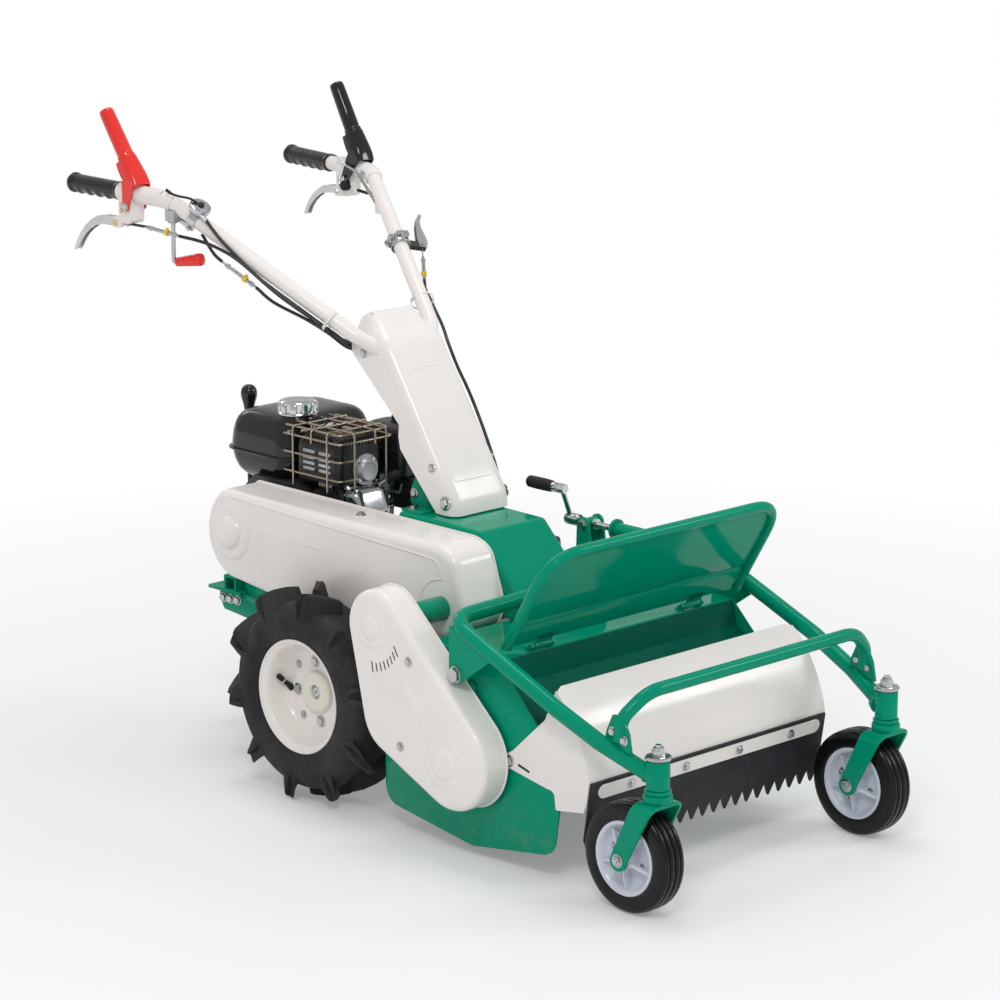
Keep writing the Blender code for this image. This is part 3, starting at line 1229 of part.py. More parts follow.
def rotor_cover_outline():
    top = circle((COUNTER_Y + 0.004, COUNTER_Z - 0.006), ROTOR_COVER_TOP_RADIUS, 20)
    belly = circle((-0.285, 0.228), ROTOR_COVER_BELLY_RADIUS, 20)
    foot = circle((ROTOR_Y - 0.006, ROTOR_Z + 0.003), ROTOR_COVER_FOOT_RADIUS, 20)
    return hull(top + belly + foot)


def rotor_belt_cover(root):
    outline = rotor_cover_outline()
    back = -DECK_HALF_WIDTH - ROTOR_COVER_STANDOFF
    face = ROTOR_COVER_FACE_X
    outer = softened(prism(outline, face, back), ROTOR_COVER_ROUND, 2, 50)
    inner = prism(inset(outline, CASE_WALL), face + CASE_WALL, back + 0.05)
    upper = dome(face, COUNTER_Y + 0.008, COUNTER_Z - 0.006, 0.030, 0.008, RIGHT)
    lower = dome(face, ROTOR_Y + 0.002, ROTOR_Z - 0.002, 0.038, 0.009, RIGHT)
    slots = []
    centre = (COUNTER_Y + 0.006, COUNTER_Z - 0.006)
    for index in range(8):
        angle = math.radians(-92 - 9 * index)
        along = Vector((math.cos(angle), math.sin(angle)))
        across = Vector((-along.y, along.x)) * 0.0012
        near = Vector(centre) + along * 0.060
        far = Vector(centre) + along * (0.078 if index in (0, 7) else 0.072)
        corners = [near - across, far - across, far + across, near + across]
        slots.append(prism([tuple(corner) for corner in corners], face - 0.01, face + 0.02))
    shell = cut(fused(outer, upper, lower), inner, *slots)
    fixings = []
    for y, z in ROTOR_COVER_FIXINGS:
        fixings.append(hexagon((face + SINK - 0.004, y, z), 0.004, 0.0065))
        inside = face + CASE_WALL - SINK
        fixings.append(rod((inside, y, z), -DECK_HALF_WIDTH - GAP - inside, 0.006, "x", 12))
    piece("rotor_belt_cover", "white_paint", root, shell, *fixings)


# Chassis and transmission

def chassis(root):
    top = CHASSIS_TOP_Z
    low = DECK_TOP_Z + GAP
    rear_low = TRANSMISSION_TOP_Z + GAP
    spare = 2 * CHASSIS_ROUND
    rear = CHASSIS_REAR_Y + spare
    step = [(DECK_TOP_REAR_Y + 0.010, low), (DECK_REAR_Y + 0.030, rear_low), (CHASSIS_REAR_Y, rear_low)]
    outline = [(rear, rear_low - spare), (rear, top), (CHASSIS_TOP_FRONT_Y, top - 0.004),
               (CHASSIS_NOSE_Y, CHASSIS_NOSE_Z), (CHASSIS_NOSE_Y - 0.012, low),
               (CHASSIS_NOSE_Y - 0.012, low - spare),
               (DECK_TOP_REAR_Y + 0.010, low - spare), (DECK_REAR_Y + 0.030, rear_low - spare)]
    rounded = softened(prism(outline, CHASSIS_RIGHT_X, CHASSIS_LEFT_X), CHASSIS_ROUND, 1, 50)
    below = [(CHASSIS_NOSE_Y - 0.05, low)] + step + [(CHASSIS_REAR_Y, top + 0.05),
                                                     (rear + 0.05, top + 0.05),
                                                     (rear + 0.05, rear_low - 0.1),
                                                     (CHASSIS_NOSE_Y - 0.05, rear_low - 0.1)]
    outer = cut(rounded, prism(below, CHASSIS_RIGHT_X - 0.01, CHASSIS_LEFT_X + 0.01))
    wall = CHASSIS_SHEET
    inside = [(CHASSIS_REAR_Y + 0.02, low - 0.15), (CHASSIS_REAR_Y + 0.02, top - wall),
              (CHASSIS_TOP_FRONT_Y + 0.002, top - wall - 0.004),
              (CHASSIS_NOSE_Y + wall * 1.3, CHASSIS_NOSE_Z - wall * 0.4),
              (CHASSIS_NOSE_Y - 0.012 + wall * 1.2, low - 0.02),
              (DECK_TOP_REAR_Y + 0.010, low - 0.02), (DECK_TOP_REAR_Y + 0.010, low - 0.15)]
    inner = prism(inside, CHASSIS_RIGHT_X + wall, CHASSIS_LEFT_X - wall)
    piece("chassis_box", "green_paint", root, cut(outer, inner))


def transmission(root):
    half = TRANSMISSION_HALF_WIDTH
    outline = [(TRANSMISSION_FRONT_Y, TRANSMISSION_LOW_Z + 0.030),
               (TRANSMISSION_FRONT_Y + 0.030, TRANSMISSION_LOW_Z),
               (TRANSMISSION_REAR_Y - 0.040, TRANSMISSION_LOW_Z),
               (TRANSMISSION_REAR_Y, TRANSMISSION_LOW_Z + 0.050),
               (TRANSMISSION_REAR_Y, TRANSMISSION_TOP_Z - 0.030),
               (TRANSMISSION_REAR_Y - 0.030, TRANSMISSION_TOP_Z),
               (TRANSMISSION_FRONT_Y, TRANSMISSION_TOP_Z)]
    body = prism(outline, -half, half)
    rib = prism(inset(outline, -0.008), -0.005, 0.005)
    axle = rod((-AXLE_TUBE_REACH, 0, TYRE_RADIUS), 2 * AXLE_TUBE_REACH, AXLE_TUBE_RADIUS, "x", 20)
    bores = []
    for side in (RIGHT, LEFT):
        start = side * (AXLE_TUBE_REACH + 0.01)
        bores.append(rod((start, 0, TYRE_RADIUS), -side * 0.045, AXLE_RADIUS + SHAFT_GAP, "x", 16))
    piece("transmission", "cast_grey", root, cut(fused(body, rib, axle), *bores))


def rear_frame(root):
    """Two rails from the transmission back to the tow hitch, and the plate that carries the engine."""
    front = -0.012
    axle_top = TYRE_RADIUS + AXLE_TUBE_RADIUS + GAP
    parts = []
    for side in (RIGHT, LEFT):
        x = side * RAIL_X
        outline = [(front, axle_top), (-front, axle_top), (0.060, RAIL_LOW_Z + 0.010),
                   (0.300, RAIL_LOW_Z + 0.006),
                   (RAIL_REAR_Y - 0.012, RAIL_LOW_Z + 0.018), (RAIL_REAR_Y, RAIL_TOP_Z - 0.020),
                   (RAIL_REAR_Y, RAIL_TOP_Z), (front, RAIL_TOP_Z)]
        parts.append(prism(outline, x - RAIL_HALF_WIDTH, x + RAIL_HALF_WIDTH))
        stand_low = RAIL_TOP_Z - 0.004
        parts.append(block((x - 0.012, 0.135, stand_low), (x + 0.012, 0.385, ENGINE_BASE_Z - GAP - 0.002)))
    bed_top = ENGINE_BASE_Z - GAP
    parts.append(block((-0.098, 0.130, bed_top - BED_THICKNESS), (0.098, 0.430, bed_top)))
    half = HITCH_HALF_WIDTH
    parts.append(block((-half, RAIL_REAR_Y - 0.075, RAIL_TOP_Z - 0.001),
                       (half, HITCH_REAR_Y, RAIL_TOP_Z + HITCH_PLATE)))
    channel = block((-half + 0.004, 0.394, RAIL_TOP_Z + 0.002), (half - 0.004, 0.428, RAIL_TOP_Z + 0.030))
    hollow = block((-half - 0.01, 0.399, RAIL_TOP_Z + HITCH_PLATE + 0.001),
                   (half + 0.01, 0.423, RAIL_TOP_Z + 0.026))
    parts.append(cut(channel, hollow))
    for step in (-0.012, 0.008):
        ear = hull([(HITCH_REAR_Y - 0.012, RAIL_TOP_Z), (HITCH_REAR_Y - 0.012, RAIL_TOP_Z + HITCH_PLATE)]
                   + circle((GEAR_LEVER_PIVOT_Y, GEAR_LEVER_PIVOT_Z), 0.009, 12))
        parts.append(prism(ear, GEAR_LEVER_X + step, GEAR_LEVER_X + step + 0.004))
    parts.append(rod((GEAR_LEVER_X - 0.014, GEAR_LEVER_PIVOT_Y, GEAR_LEVER_PIVOT_Z), 0.028, 0.004, "x", 12))
    for side in (RIGHT, LEFT):
        rail = RAIL_X + RAIL_HALF_WIDTH - SINK
        start = rail if side == LEFT else -rail - 0.006
        for step in range(3):
            parts.append(hexagon((start, RAIL_REAR_Y - 0.012 - 0.020 * step, RAIL_TOP_Z - 0.016), 0.006,
                                 0.0075))
    piece("rear_frame", "green_paint", root, *parts)


# Engine

def engine_tilt():
    """Places a part drawn with z along the cylinder, from the crankshaft, and y across it."""
    return (Matrix.Translation((CYLINDER_X, CRANKSHAFT_Y, CRANKSHAFT_Z))
            @ Matrix.Rotation(math.pi / 2 - CYLINDER_ANGLE, 4, "X"))


def engine(root):
    low = ENGINE_BASE_Z
    case_outline_yz = [(ENGINE_FRONT_Y + 0.010, low), (ENGINE_REAR_Y, low),
                       (ENGINE_REAR_Y, ENGINE_TOP_Z - 0.050),
                       (ENGINE_REAR_Y - 0.050, ENGINE_TOP_Z), (ENGINE_FRONT_Y + 0.040, ENGINE_TOP_Z),
                       (ENGINE_FRONT_Y, ENGINE_TOP_Z - 0.050), (ENGINE_FRONT_Y, low + 0.012)]
    crankcase = prism(case_outline_yz, ENGINE_RIGHT_X, ENGINE_LEFT_X)
    half_w = CYLINDER_HALF_WIDTH
    half_h = CYLINDER_HALF_HEIGHT
    cylinder = moved(block((-half_w + FIN_DEPTH, -half_h + FIN_DEPTH, 0.03),
                           (half_w - FIN_DEPTH, half_h - FIN_DEPTH, CYLINDER_REACH)),
                     engine_tilt())
    fins = []
    for index in range(FIN_COUNT):
        along = 0.106 + index * 0.012
        fins.append(moved(block((-half_w, -half_h, along), (half_w, half_h, along + 0.004)), engine_tilt()))
    head = moved(block((-half_w + 0.002, -half_h + 0.006, CYLINDER_REACH - 0.008),
                       (half_w - 0.002, half_h - 0.006, CYLINDER_REACH)),
                 engine_tilt())
    port = block((CYLINDER_X - 0.022, MUFFLER_FRONT_Y + 0.045, 0.465),
                 (CYLINDER_X + 0.022, MUFFLER_FRONT_Y + 0.080, MUFFLER_LOW_Z - GAP))
    recess = rod((ENGINE_RIGHT_X - 0.002, CRANKSHAFT_Y, CRANKSHAFT_Z), 0.002 + CRANK_SOCKET,
                 CRANKSHAFT_RADIUS + SHAFT_GAP, "x", 16)
    piece("engine_block", "cast_grey", root, cut(fused(crankcase, cylinder, head, port, *fins), recess))

    rocker = block((-half_w + 0.008, -half_h + 0.012, CYLINDER_REACH + GAP),
                   (half_w - 0.008, half_h - 0.012, CYLINDER_REACH + ROCKER_DEPTH))
    piece("rocker_cover", "zinc", root, moved(softened(rocker, 0.012, 3), engine_tilt()))

    fuel_tank(root)
    muffler(root)
    cleaner = block((CLEANER_RIGHT_X, CLEANER_FRONT_Y, CLEANER_LOW_Z),
                    (CLEANER_LEFT_X, CLEANER_REAR_Y, CLEANER_TOP_Z))
    knob_at = ((CLEANER_RIGHT_X + CLEANER_LEFT_X) / 2, (CLEANER_FRONT_Y + CLEANER_REAR_Y) / 2,
               CLEANER_TOP_Z - 0.001)
    knob = turned([(0, 0), (0, 0.012), (0.010, 0.010), (0.012, 0.006), (0.012, 0)], knob_at, "z", 14)
    piece("air_cleaner", "black_paint", root, fused(softened(cleaner, 0.012, 2), knob))

    body_low = (CYLINDER_X + half_w + GAP, 0.150, 0.448)
    body_high = (CYLINDER_X + half_w + 0.046, 0.196, CLEANER_LOW_Z - GAP)
    bowl_at = (body_low[0] + 0.022, 0.173, 0.420)
    bowl = rod(bowl_at, 0.032, 0.017, "z", 16)
    choke = pipe([(body_low[0] + 0.030, 0.156, 0.470), (body_low[0] + 0.030, 0.130, 0.470),
                  (body_low[0] + 0.030, 0.122, 0.490)], 0.0025, 1)
    piece("carburettor", "aluminium", root, fused(block(body_low, body_high), bowl, choke))

    x = ENGINE_LEFT_X + GAP
    recoil = turned([(0, 0), (0, RECOIL_RADIUS), (RECOIL_DEPTH * 0.55, RECOIL_RADIUS),
                     (RECOIL_DEPTH * 0.8, RECOIL_RADIUS * 0.9),
                     (RECOIL_DEPTH, RECOIL_RADIUS * 0.6), (RECOIL_DEPTH, 0)],
                    (x, CRANKSHAFT_Y, CRANKSHAFT_Z), "x", 28)
    outlet = block((x + 0.004, CRANKSHAFT_Y - 0.085, CRANKSHAFT_Z + 0.035),
                   (x + 0.030, CRANKSHAFT_Y - 0.045, CRANKSHAFT_Z + 0.075))
    piece("recoil_housing", "black_paint", root, fused(recoil, outlet))
    pull = pivot("starter_grip", (x + 0.017, CRANKSHAFT_Y - 0.085, CRANKSHAFT_Z + 0.059), root)
    grip = turned([(-GAP, 0), (-GAP, 0.006), (-0.010, 0.007), (-0.012, 0.016), (-0.024, 0.016),
                   (-0.026, 0.010), (-0.026, 0)],
                  tuple(pull["place"]), "y", 14)
    piece("starter_grip", "black_rubber", pull, grip)


def fuel_tank(root):
    low = (TANK_RIGHT_X, TANK_FRONT_Y, TANK_LOW_Z)
    high = (TANK_LEFT_X, TANK_REAR_Y, TANK_TOP_Z)
    shell = softened(block(low, high), 0.024, 3)
    lip = TANK_SEAM_LIP
    seam_outline = hull([point for corner in ((low[0] + 0.02, low[1] + 0.02),
                                              (high[0] - 0.02, low[1] + 0.02),
                                              (high[0] - 0.02, high[1] - 0.02),
                                              (low[0] + 0.02, high[1] - 0.02))
                         for point in circle(corner, 0.02 + lip, 12)])
    seam = prism(seam_outline, TANK_SEAM_Z - 0.0015, TANK_SEAM_Z + 0.0015, "z")
    neck = rod((CAP_X, CAP_Y, TANK_TOP_Z - 0.020), 0.028, TANK_NECK_RADIUS, "z", 20)
    foot_right = block((TANK_RIGHT_X + 0.030, TANK_FRONT_Y + 0.030, ENGINE_TOP_Z + GAP),
                       (TANK_RIGHT_X + 0.060, TANK_FRONT_Y + 0.030 + TANK_FOOT_DEPTH, TANK_LOW_Z + 0.004))
    foot_left = block((TANK_LEFT_X - 0.075, TANK_FRONT_Y + 0.030, ENGINE_TOP_Z + GAP),
                      (TANK_LEFT_X - 0.045, TANK_FRONT_Y + 0.030 + TANK_FOOT_DEPTH, TANK_LOW_Z + 0.004))
    piece("fuel_tank", "black_paint", root, fused(shell, seam, neck, foot_right, foot_left))
    body = pivot("fuel_cap", (CAP_X, CAP_Y, TANK_TOP_Z + 0.008), root)
    cap_low = TANK_TOP_Z + GAP * 2
    clear = TANK_NECK_RADIUS + 0.0012
    cap = turned([(cap_low, clear), (cap_low, CAP_RADIUS), (cap_low + CAP_HEIGHT * 0.75, CAP_RADIUS),
                  (cap_low + CAP_HEIGHT, CAP_RADIUS - 0.007), (cap_low + CAP_HEIGHT, 0.0),
                  (TANK_TOP_Z + 0.0085, 0.0),
                  (TANK_TOP_Z + 0.0085, clear)], (CAP_X, CAP_Y, 0), "z", 24)
    piece("fuel_cap", "zinc", body, cap)


def muffler(root):
    low = (MUFFLER_RIGHT_X, MUFFLER_FRONT_Y, MUFFLER_LOW_Z)
    high = (MUFFLER_LEFT_X, MUFFLER_REAR_Y, MUFFLER_TOP_Z)
    box = softened(block(low, high), 0.010, 2)
    outlet_z = MUFFLER_LOW_Z + 0.036
    flange = rod((OUTLET_X, MUFFLER_FRONT_Y + 0.002, outlet_z), -0.005, OUTLET_RADIUS + 0.006, "y", 20)
    spout = turned([(0, 0), (0, OUTLET_RADIUS), (-OUTLET_LENGTH, OUTLET_RADIUS),
                    (-OUTLET_LENGTH, OUTLET_RADIUS - 0.003),
                    (-0.003, OUTLET_RADIUS - 0.003), (-0.003, 0)], (OUTLET_X, MUFFLER_FRONT_Y, outlet_z),
                   "y", 20)
    piece("muffler", "black_paint", root, fused(box, flange, spout))

    reach = GUARD_WIRE_OFFSET
    right = MUFFLER_RIGHT_X - reach
    front = MUFFLER_FRONT_Y - reach - 0.008
    rear = MUFFLER_REAR_Y + 0.009
    left = MUFFLER_LEFT_X + reach
    top = MUFFLER_TOP_Z + GUARD_HEADROOM
    wires = []
    for height in (MUFFLER_LOW_Z + 0.012, MUFFLER_LOW_Z + 0.044, MUFFLER_TOP_Z - 0.004):
        end = OUTLET_X - 0.032 if height < MUFFLER_TOP_Z - 0.01 else left
        ring = rounded_path([(right, rear, height), (right, front, height), (end, front, height)], 0.012, 2)
        wires.append(pipe(ring, GUARD_WIRE_RADIUS, 0))
    step = GUARD_WIRE_RADIUS
    roof = rounded_path([(right + 0.006, rear, top), (right + 0.006, front + 0.006, top),
                         (left - 0.004, front + 0.006, top),
                         (left - 0.004, rear, top)], 0.012, 2)
    wires.append(pipe(roof, GUARD_WIRE_RADIUS, 0))
    low = MUFFLER_LOW_Z - 0.008
    for x, start in ((right + 0.030, low), (left - 0.019, MUFFLER_TOP_Z - 0.008)):
        hoop = rounded_path([(x, front - step, start), (x, front - step, top + step),
                             (x, rear, top + step)], 0.006, 2)
        wires.append(pipe(hoop, GUARD_WIRE_RADIUS, 0))
    for y in (rear - 0.018, front + 0.030):
        hoop = rounded_path([(right - step, y, low), (right - step, y, top + step),
                             (left, y, top + step)], 0.006, 2)
        wires.append(pipe(hoop, GUARD_WIRE_RADIUS, 0))
    posts = []
    for x in (-0.050, 0.004):
        posts.append(pipe([(x, rear - 0.018, MUFFLER_TOP_Z + GAP), (x, rear - 0.018, top + step)], 0.0025,
                          1))
    piece("muffler_guard", "guard_wire", root, *wires, *posts)


def gear_lever(root):
    body = pivot("gear_lever", (GEAR_LEVER_X, GEAR_LEVER_PIVOT_Y, GEAR_LEVER_PIVOT_Z), root)
    rod_path = rounded_path([(GEAR_LEVER_X, GEAR_LEVER_PIVOT_Y, GEAR_LEVER_PIVOT_Z + 0.006),
                             (GEAR_LEVER_X, GEAR_LEVER_Y, GEAR_LEVER_PIVOT_Z + 0.060),
                             (GEAR_LEVER_X, GEAR_LEVER_Y, GEAR_LEVER_TOP_Z - 0.05)], 0.03, 2)
    lever_rod = pipe(rod_path, GEAR_ROD_RADIUS, 2)
    eye = rod((GEAR_LEVER_X - 0.005, GEAR_LEVER_PIVOT_Y, GEAR_LEVER_PIVOT_Z), 0.010, 0.009, "x", 14)
    bore = rod((GEAR_LEVER_X - 0.05, GEAR_LEVER_PIVOT_Y, GEAR_LEVER_PIVOT_Z), 0.1, 0.004 + SHAFT_GAP, "x",
               12)
    top = GEAR_LEVER_TOP_Z
    knob = turned([(top - 0.052, 0), (top - 0.052, 0.009), (top - 0.024, 0.009),
                   (top - 0.012, GEAR_KNOB_RADIUS * 0.9),
                   (top - 0.004, GEAR_KNOB_RADIUS), (top + 0.006, GEAR_KNOB_RADIUS * 0.8),
                   (top + 0.012, 0.006), (top + 0.013, 0)],
                  (GEAR_LEVER_X, GEAR_LEVER_Y, 0), "z", 14)
    piece("gear_lever", "zinc", body, cut(fused(lever_rod, eye), bore), knob)


# Handle column and handles

def column_outline():
    """The cover seen from the side: y grows to the rear."""
    return [(-0.150, CHASSIS_TOP_Z + GAP), (-0.104, CHASSIS_TOP_Z + GAP), (-0.012, 0.594), (-0.010, 0.636),
            (0.113, 0.750), (0.106, 0.808), (0.082, COLUMN_TOP_Z), (0.019, COLUMN_SHOULDER_Z),
            (-0.145, 0.522)]


def column_front(wall):
    """The cover's walls seen from the front, moved in by the wall's thickness."""
    half = COLUMN_HALF_WIDTH - wall
    low = CHASSIS_TOP_Z - 0.040 - wall
    return [(-0.94 * half, low), (0.94 * half, low), (half, COLUMN_SHOULDER_Z),
            (COLUMN_RIDGE_HALF_WIDTH - wall, COLUMN_TOP_Z + 0.010),
            (wall - COLUMN_RIDGE_HALF_WIDTH, COLUMN_TOP_Z + 0.010), (-half, COLUMN_SHOULDER_Z)]


def handle_path(side):
    cross = (side * 0.045, HANDLE_CROSS_Y, HANDLE_CROSS_Z)
    exit_point = (side * HANDLE_EXIT_X, HANDLE_EXIT_Y, HANDLE_EXIT_Z)
    bend = (side * HANDLE_BEND_X, HANDLE_BEND_Y, HANDLE_BEND_Z)
    end = (side * HANDLE_END_X, HANDLE_END_Y, HANDLE_END_Z)
    return [cross, exit_point, bend, end]


def handlebar_path():
    left = handle_path(LEFT)
    right = handle_path(RIGHT)
    return rounded_path(right[::-1] + left, HANDLE_BEND_RADIUS, 3)


def handle_spot(side, share):
    """A point on the rising part of a handle tube, from its exit to its bend."""
    low = Vector((side * HANDLE_EXIT_X, HANDLE_EXIT_Y, HANDLE_EXIT_Z))
    high = Vector((side * HANDLE_BEND_X, HANDLE_BEND_Y, HANDLE_BEND_Z))
    return low.lerp(high, share)


def handle_frame(side, share):
    """Axes on the rising tube: z up along it, x to the machine's right, y up and away from it."""
    along = (handle_spot(side, 1) - handle_spot(side, 0)).normalized()
    across = Vector((-1, 0, 0))
    across = (across - along * across.dot(along)).normalized()
    up = along.cross(across)
    turn_to = Matrix((across, up, along)).transposed().to_4x4()
    return Matrix.Translation(handle_spot(side, share)) @ turn_to


def column(root):
    reach = COLUMN_HALF_WIDTH + 0.02
    side_view = prism(column_outline(), -reach, reach)
    front_view = prism(column_front(0), -0.3, 0.3, "y")
    outer = softened(combined(side_view, [front_view], "INTERSECT"), COLUMN_ROUND, 2, 25)
    wall = COLUMN_SHEET
    inside = [(-0.150 + wall, 0.460), (-0.04, 0.460), (0.030, 0.594), (0.050, 0.636), (0.150, 0.740),
              (0.103, 0.800),
              (0.081, COLUMN_TOP_Z - wall * 1.3), (0.019 + wall * 0.6, COLUMN_SHOULDER_Z - wall),
              (-0.145 + wall, 0.522)]
    inner = combined(prism(inside, -reach, reach), [prism(column_front(wall), -0.3, 0.3, "y")], "INTERSECT")
    holes = pipe(handlebar_path(), HANDLE_RADIUS + HANDLE_HOLE_CLEARANCE, 3)
    bolts = []
    for side in (RIGHT, LEFT):
        foot = COLUMN_HALF_WIDTH * 0.94
        bolts.append(hexagon((foot - 0.001 if side == LEFT else -foot - 0.008, FOOT_BOLT_Y, FOOT_BOLT_Z),
                             0.009, 0.008))
    piece("column_cover", "white_paint", root, cut(outer, inner, holes), *bolts)

    base = CHASSIS_TOP_Z + GAP
    post_outline = [(-0.122, base), (-0.035, base), (-0.022, 0.575), (0.062, 0.700), (0.066, 0.742),
                    (0.012, 0.742)]
    post = prism(post_outline, -POST_HALF_WIDTH, POST_HALF_WIDTH)
    seat = pipe(handlebar_path(), HANDLE_RADIUS + GAP, 2)
    ears = [prism([(-0.136, base), (-0.108, base), (-0.108, base + 0.030), (-0.136, base + 0.030)],
                  side * (POST_HALF_WIDTH - 0.002),
                  side * (COLUMN_HALF_WIDTH * 0.94 - COLUMN_SHEET - RUNNING_GAP)) for side in (RIGHT, LEFT)]
    post_hollow = block((-POST_HALF_WIDTH + 0.004, -0.10, 0.40), (POST_HALF_WIDTH - 0.004, -0.045, 0.60))
    piece("column_post", "green_paint", root, cut(fused(post, *ears), seat, post_hollow))


def grip_x(side):
    """Offset of the grip tube's axis where the tall lever's bolt passes it."""
    share = (LEVER_PIVOT_Y + LEVER_SHIFT[side] - HANDLE_BEND_Y) / (HANDLE_END_Y - HANDLE_BEND_Y)
    return side * (HANDLE_BEND_X + share * (HANDLE_END_X - HANDLE_BEND_X))


def lever(name, finish, side, root):
    """A tall hand lever whose channel straddles the handle tube and turns on the bracket's bolt."""
    x = grip_x(side)
    y = LEVER_PIVOT_Y + LEVER_SHIFT[side]
    body = pivot(name, (x, y, LEVER_PIVOT_Z), root)
    inner = GRIP_RADIUS + 0.0005
    outer = inner + LEVER_CHEEK
    along = Vector((math.cos(LEVER_ANGLE), math.sin(LEVER_ANGLE)))
    across = Vector((-along.y, along.x))
    start = Vector((y, LEVER_PIVOT_Z))
    axis_start = start + across * LEVER_OFFSET

    def spot(offset, reach):
        return tuple(axis_start + along * reach + across * offset)
    foot = circle(tuple(start), 0.009, 12)
    cheek = hull(foot + [spot(0.010, 0.004), spot(0.013, 0.030), spot(0.013, LEVER_CHANNEL_LENGTH),
                         spot(-0.010, LEVER_CHANNEL_LENGTH), spot(-0.020, 0.030)])
    full = prism(cheek, x - outer, x + outer)
    open_top = 0.036
    gap_outline = [spot(0.03, -0.06), spot(0.03, open_top), spot(0.009, open_top),
                   spot(0.009, LEVER_CHANNEL_LENGTH - 0.004), spot(-0.05, LEVER_CHANNEL_LENGTH - 0.004),
                   spot(-0.09, -0.06)]
    channel = cut(full, prism(gap_outline, x - inner, x + inner))
    top = LEVER_LENGTH
    handle_points = [Vector((x, *spot(0, LEVER_CHANNEL_LENGTH - 0.003))), Vector((x, *spot(0, top)))]
    handle = pipe(handle_points, LEVER_GRIP_RADIUS, 3)
    bolt = rod((x - outer - 0.003, y, LEVER_PIVOT_Z), 2 * outer + 0.006, 0.004, "x", 10)
    piece(name, finish, body, fused(channel, handle, bolt))


def lever_brackets(root):
    """The white box under each grip that carries the tall lever's bolt and the clutch lever."""
    for side in (RIGHT, LEFT):
        x = grip_x(side)
        shift = LEVER_SHIFT[side]
        front = LEVER_BRACKET_FRONT_Y + shift
        rear = LEVER_BRACKET_REAR_Y + shift
        clutch_y, clutch_z = CLUTCH_PIVOT[side]
        low = (x - 0.015, front, min(LEVER_BRACKET_LOW_Z, clutch_z - 0.012))
        high = (x + 0.015, rear, HANDLE_END_Z - 0.006)
        ear_low = (x - 0.015, rear - 0.010, clutch_z - 0.012)
        ear_high = (x + 0.015, max(clutch_y + 0.008, rear + 0.002), clutch_z + 0.012)
        box = fused(block(low, high), block(ear_low, ear_high))
        slot = block((x - 0.0065, clutch_y - 0.014, clutch_z - 0.03),
                     (x + 0.0065, clutch_y + 0.04, clutch_z + 0.0125))
        seat = pipe(handlebar_path(), HANDLE_RADIUS + GAP, 2)
        bore = rod((x - 0.05, LEVER_PIVOT_Y + shift, LEVER_PIVOT_Z), 0.1, 0.004 + SHAFT_GAP, "x", 10)
        pin = rod((x - 0.013, clutch_y, clutch_z), 0.026, 0.003, "x", 10)
        piece("lever_bracket_" + SIDE_NAME[side], "white_paint", root, cut(box, slot, seat, bore), pin)


def clutch_lever(side, root):
    """The curved aluminium lever under a grip; it is pulled up towards the grip."""
    name = "clutch_lever_" + SIDE_NAME[side]
    x = grip_x(side)
    y, z = CLUTCH_PIVOT[side]
    body = pivot(name, (x, y, z), root)
    reach = CLUTCH_REACH[side]
    upper = [(0.014, 0.007), (0.47 * reach, 0.001), (0.75 * reach, -0.020), (0.94 * reach, -0.050),
             (reach, -0.066)]
    lower = [(reach - 0.007, -0.067), (0.85 * reach, -0.052), (0.65 * reach, -0.026),
             (0.40 * reach, -0.012),
             (-0.008, -0.009), (-0.010, 0.0)]
    outline = [(y + a, z + b) for a, b in [(-0.006, 0.006)] + upper + lower]
    half = CLUTCH_LEVER_THICKNESS / 2
    blade = prism(outline, x - half, x + half)
    hole = rod((x - 0.02, y, z), 0.04, 0.003 + SHAFT_GAP, "x", 10)
    piece(name, "aluminium", body, cut(blade, hole))


def third_lever(root):
    """The clamp on the left tube with its upright aluminium lever."""
    frame = handle_frame(LEFT, CLAMP_POSITION)
    ring = turned([(-0.011, HANDLE_RADIUS + GAP), (-0.011, HANDLE_RADIUS + 0.004),
                   (0.011, HANDLE_RADIUS + 0.004),
                   (0.011, HANDLE_RADIUS + GAP)], (0, 0, 0), "z", 16)
    arm = block((-HANDLE_RADIUS - 0.038, -0.005, -0.008), (-HANDLE_RADIUS - 0.002, 0.005, 0.006))
    slot = block((-HANDLE_RADIUS - 0.05, -0.0032, -0.02), (-HANDLE_RADIUS - 0.022, 0.0032, 0.02))
    screw = hexagon((0, HANDLE_RADIUS + 0.003, 0), 0.0075, 0.006, "y")
    spot_x = -HANDLE_RADIUS - 0.032
    pin = rod((spot_x, -0.0045, -0.001), 0.009, 0.0022, "y", 8)
    clamp = fused(cut(fused(ring, arm, screw), slot), pin)
    piece("lever_clamp", "cast_grey", root, moved(clamp, frame))
    body = pivot("third_lever", frame @ Vector((spot_x, 0, -0.001)), root)
    outline = [(0.006, -0.007), (-0.006, -0.007), (-0.012, 0.020), (-0.010, 0.050),
               (-0.022, THIRD_LEVER_LENGTH),
               (-0.017, THIRD_LEVER_LENGTH + 0.002), (-0.002, 0.054), (0.004, 0.020)]
    blade = prism([(spot_x + a, b) for a, b in outline], -0.0026, 0.0026, "y")
    hole = rod((spot_x, -0.02, -0.001), 0.04, 0.0022 + SHAFT_GAP, "y", 8)
    piece("third_lever", "aluminium", body, moved(cut(blade, hole), frame))


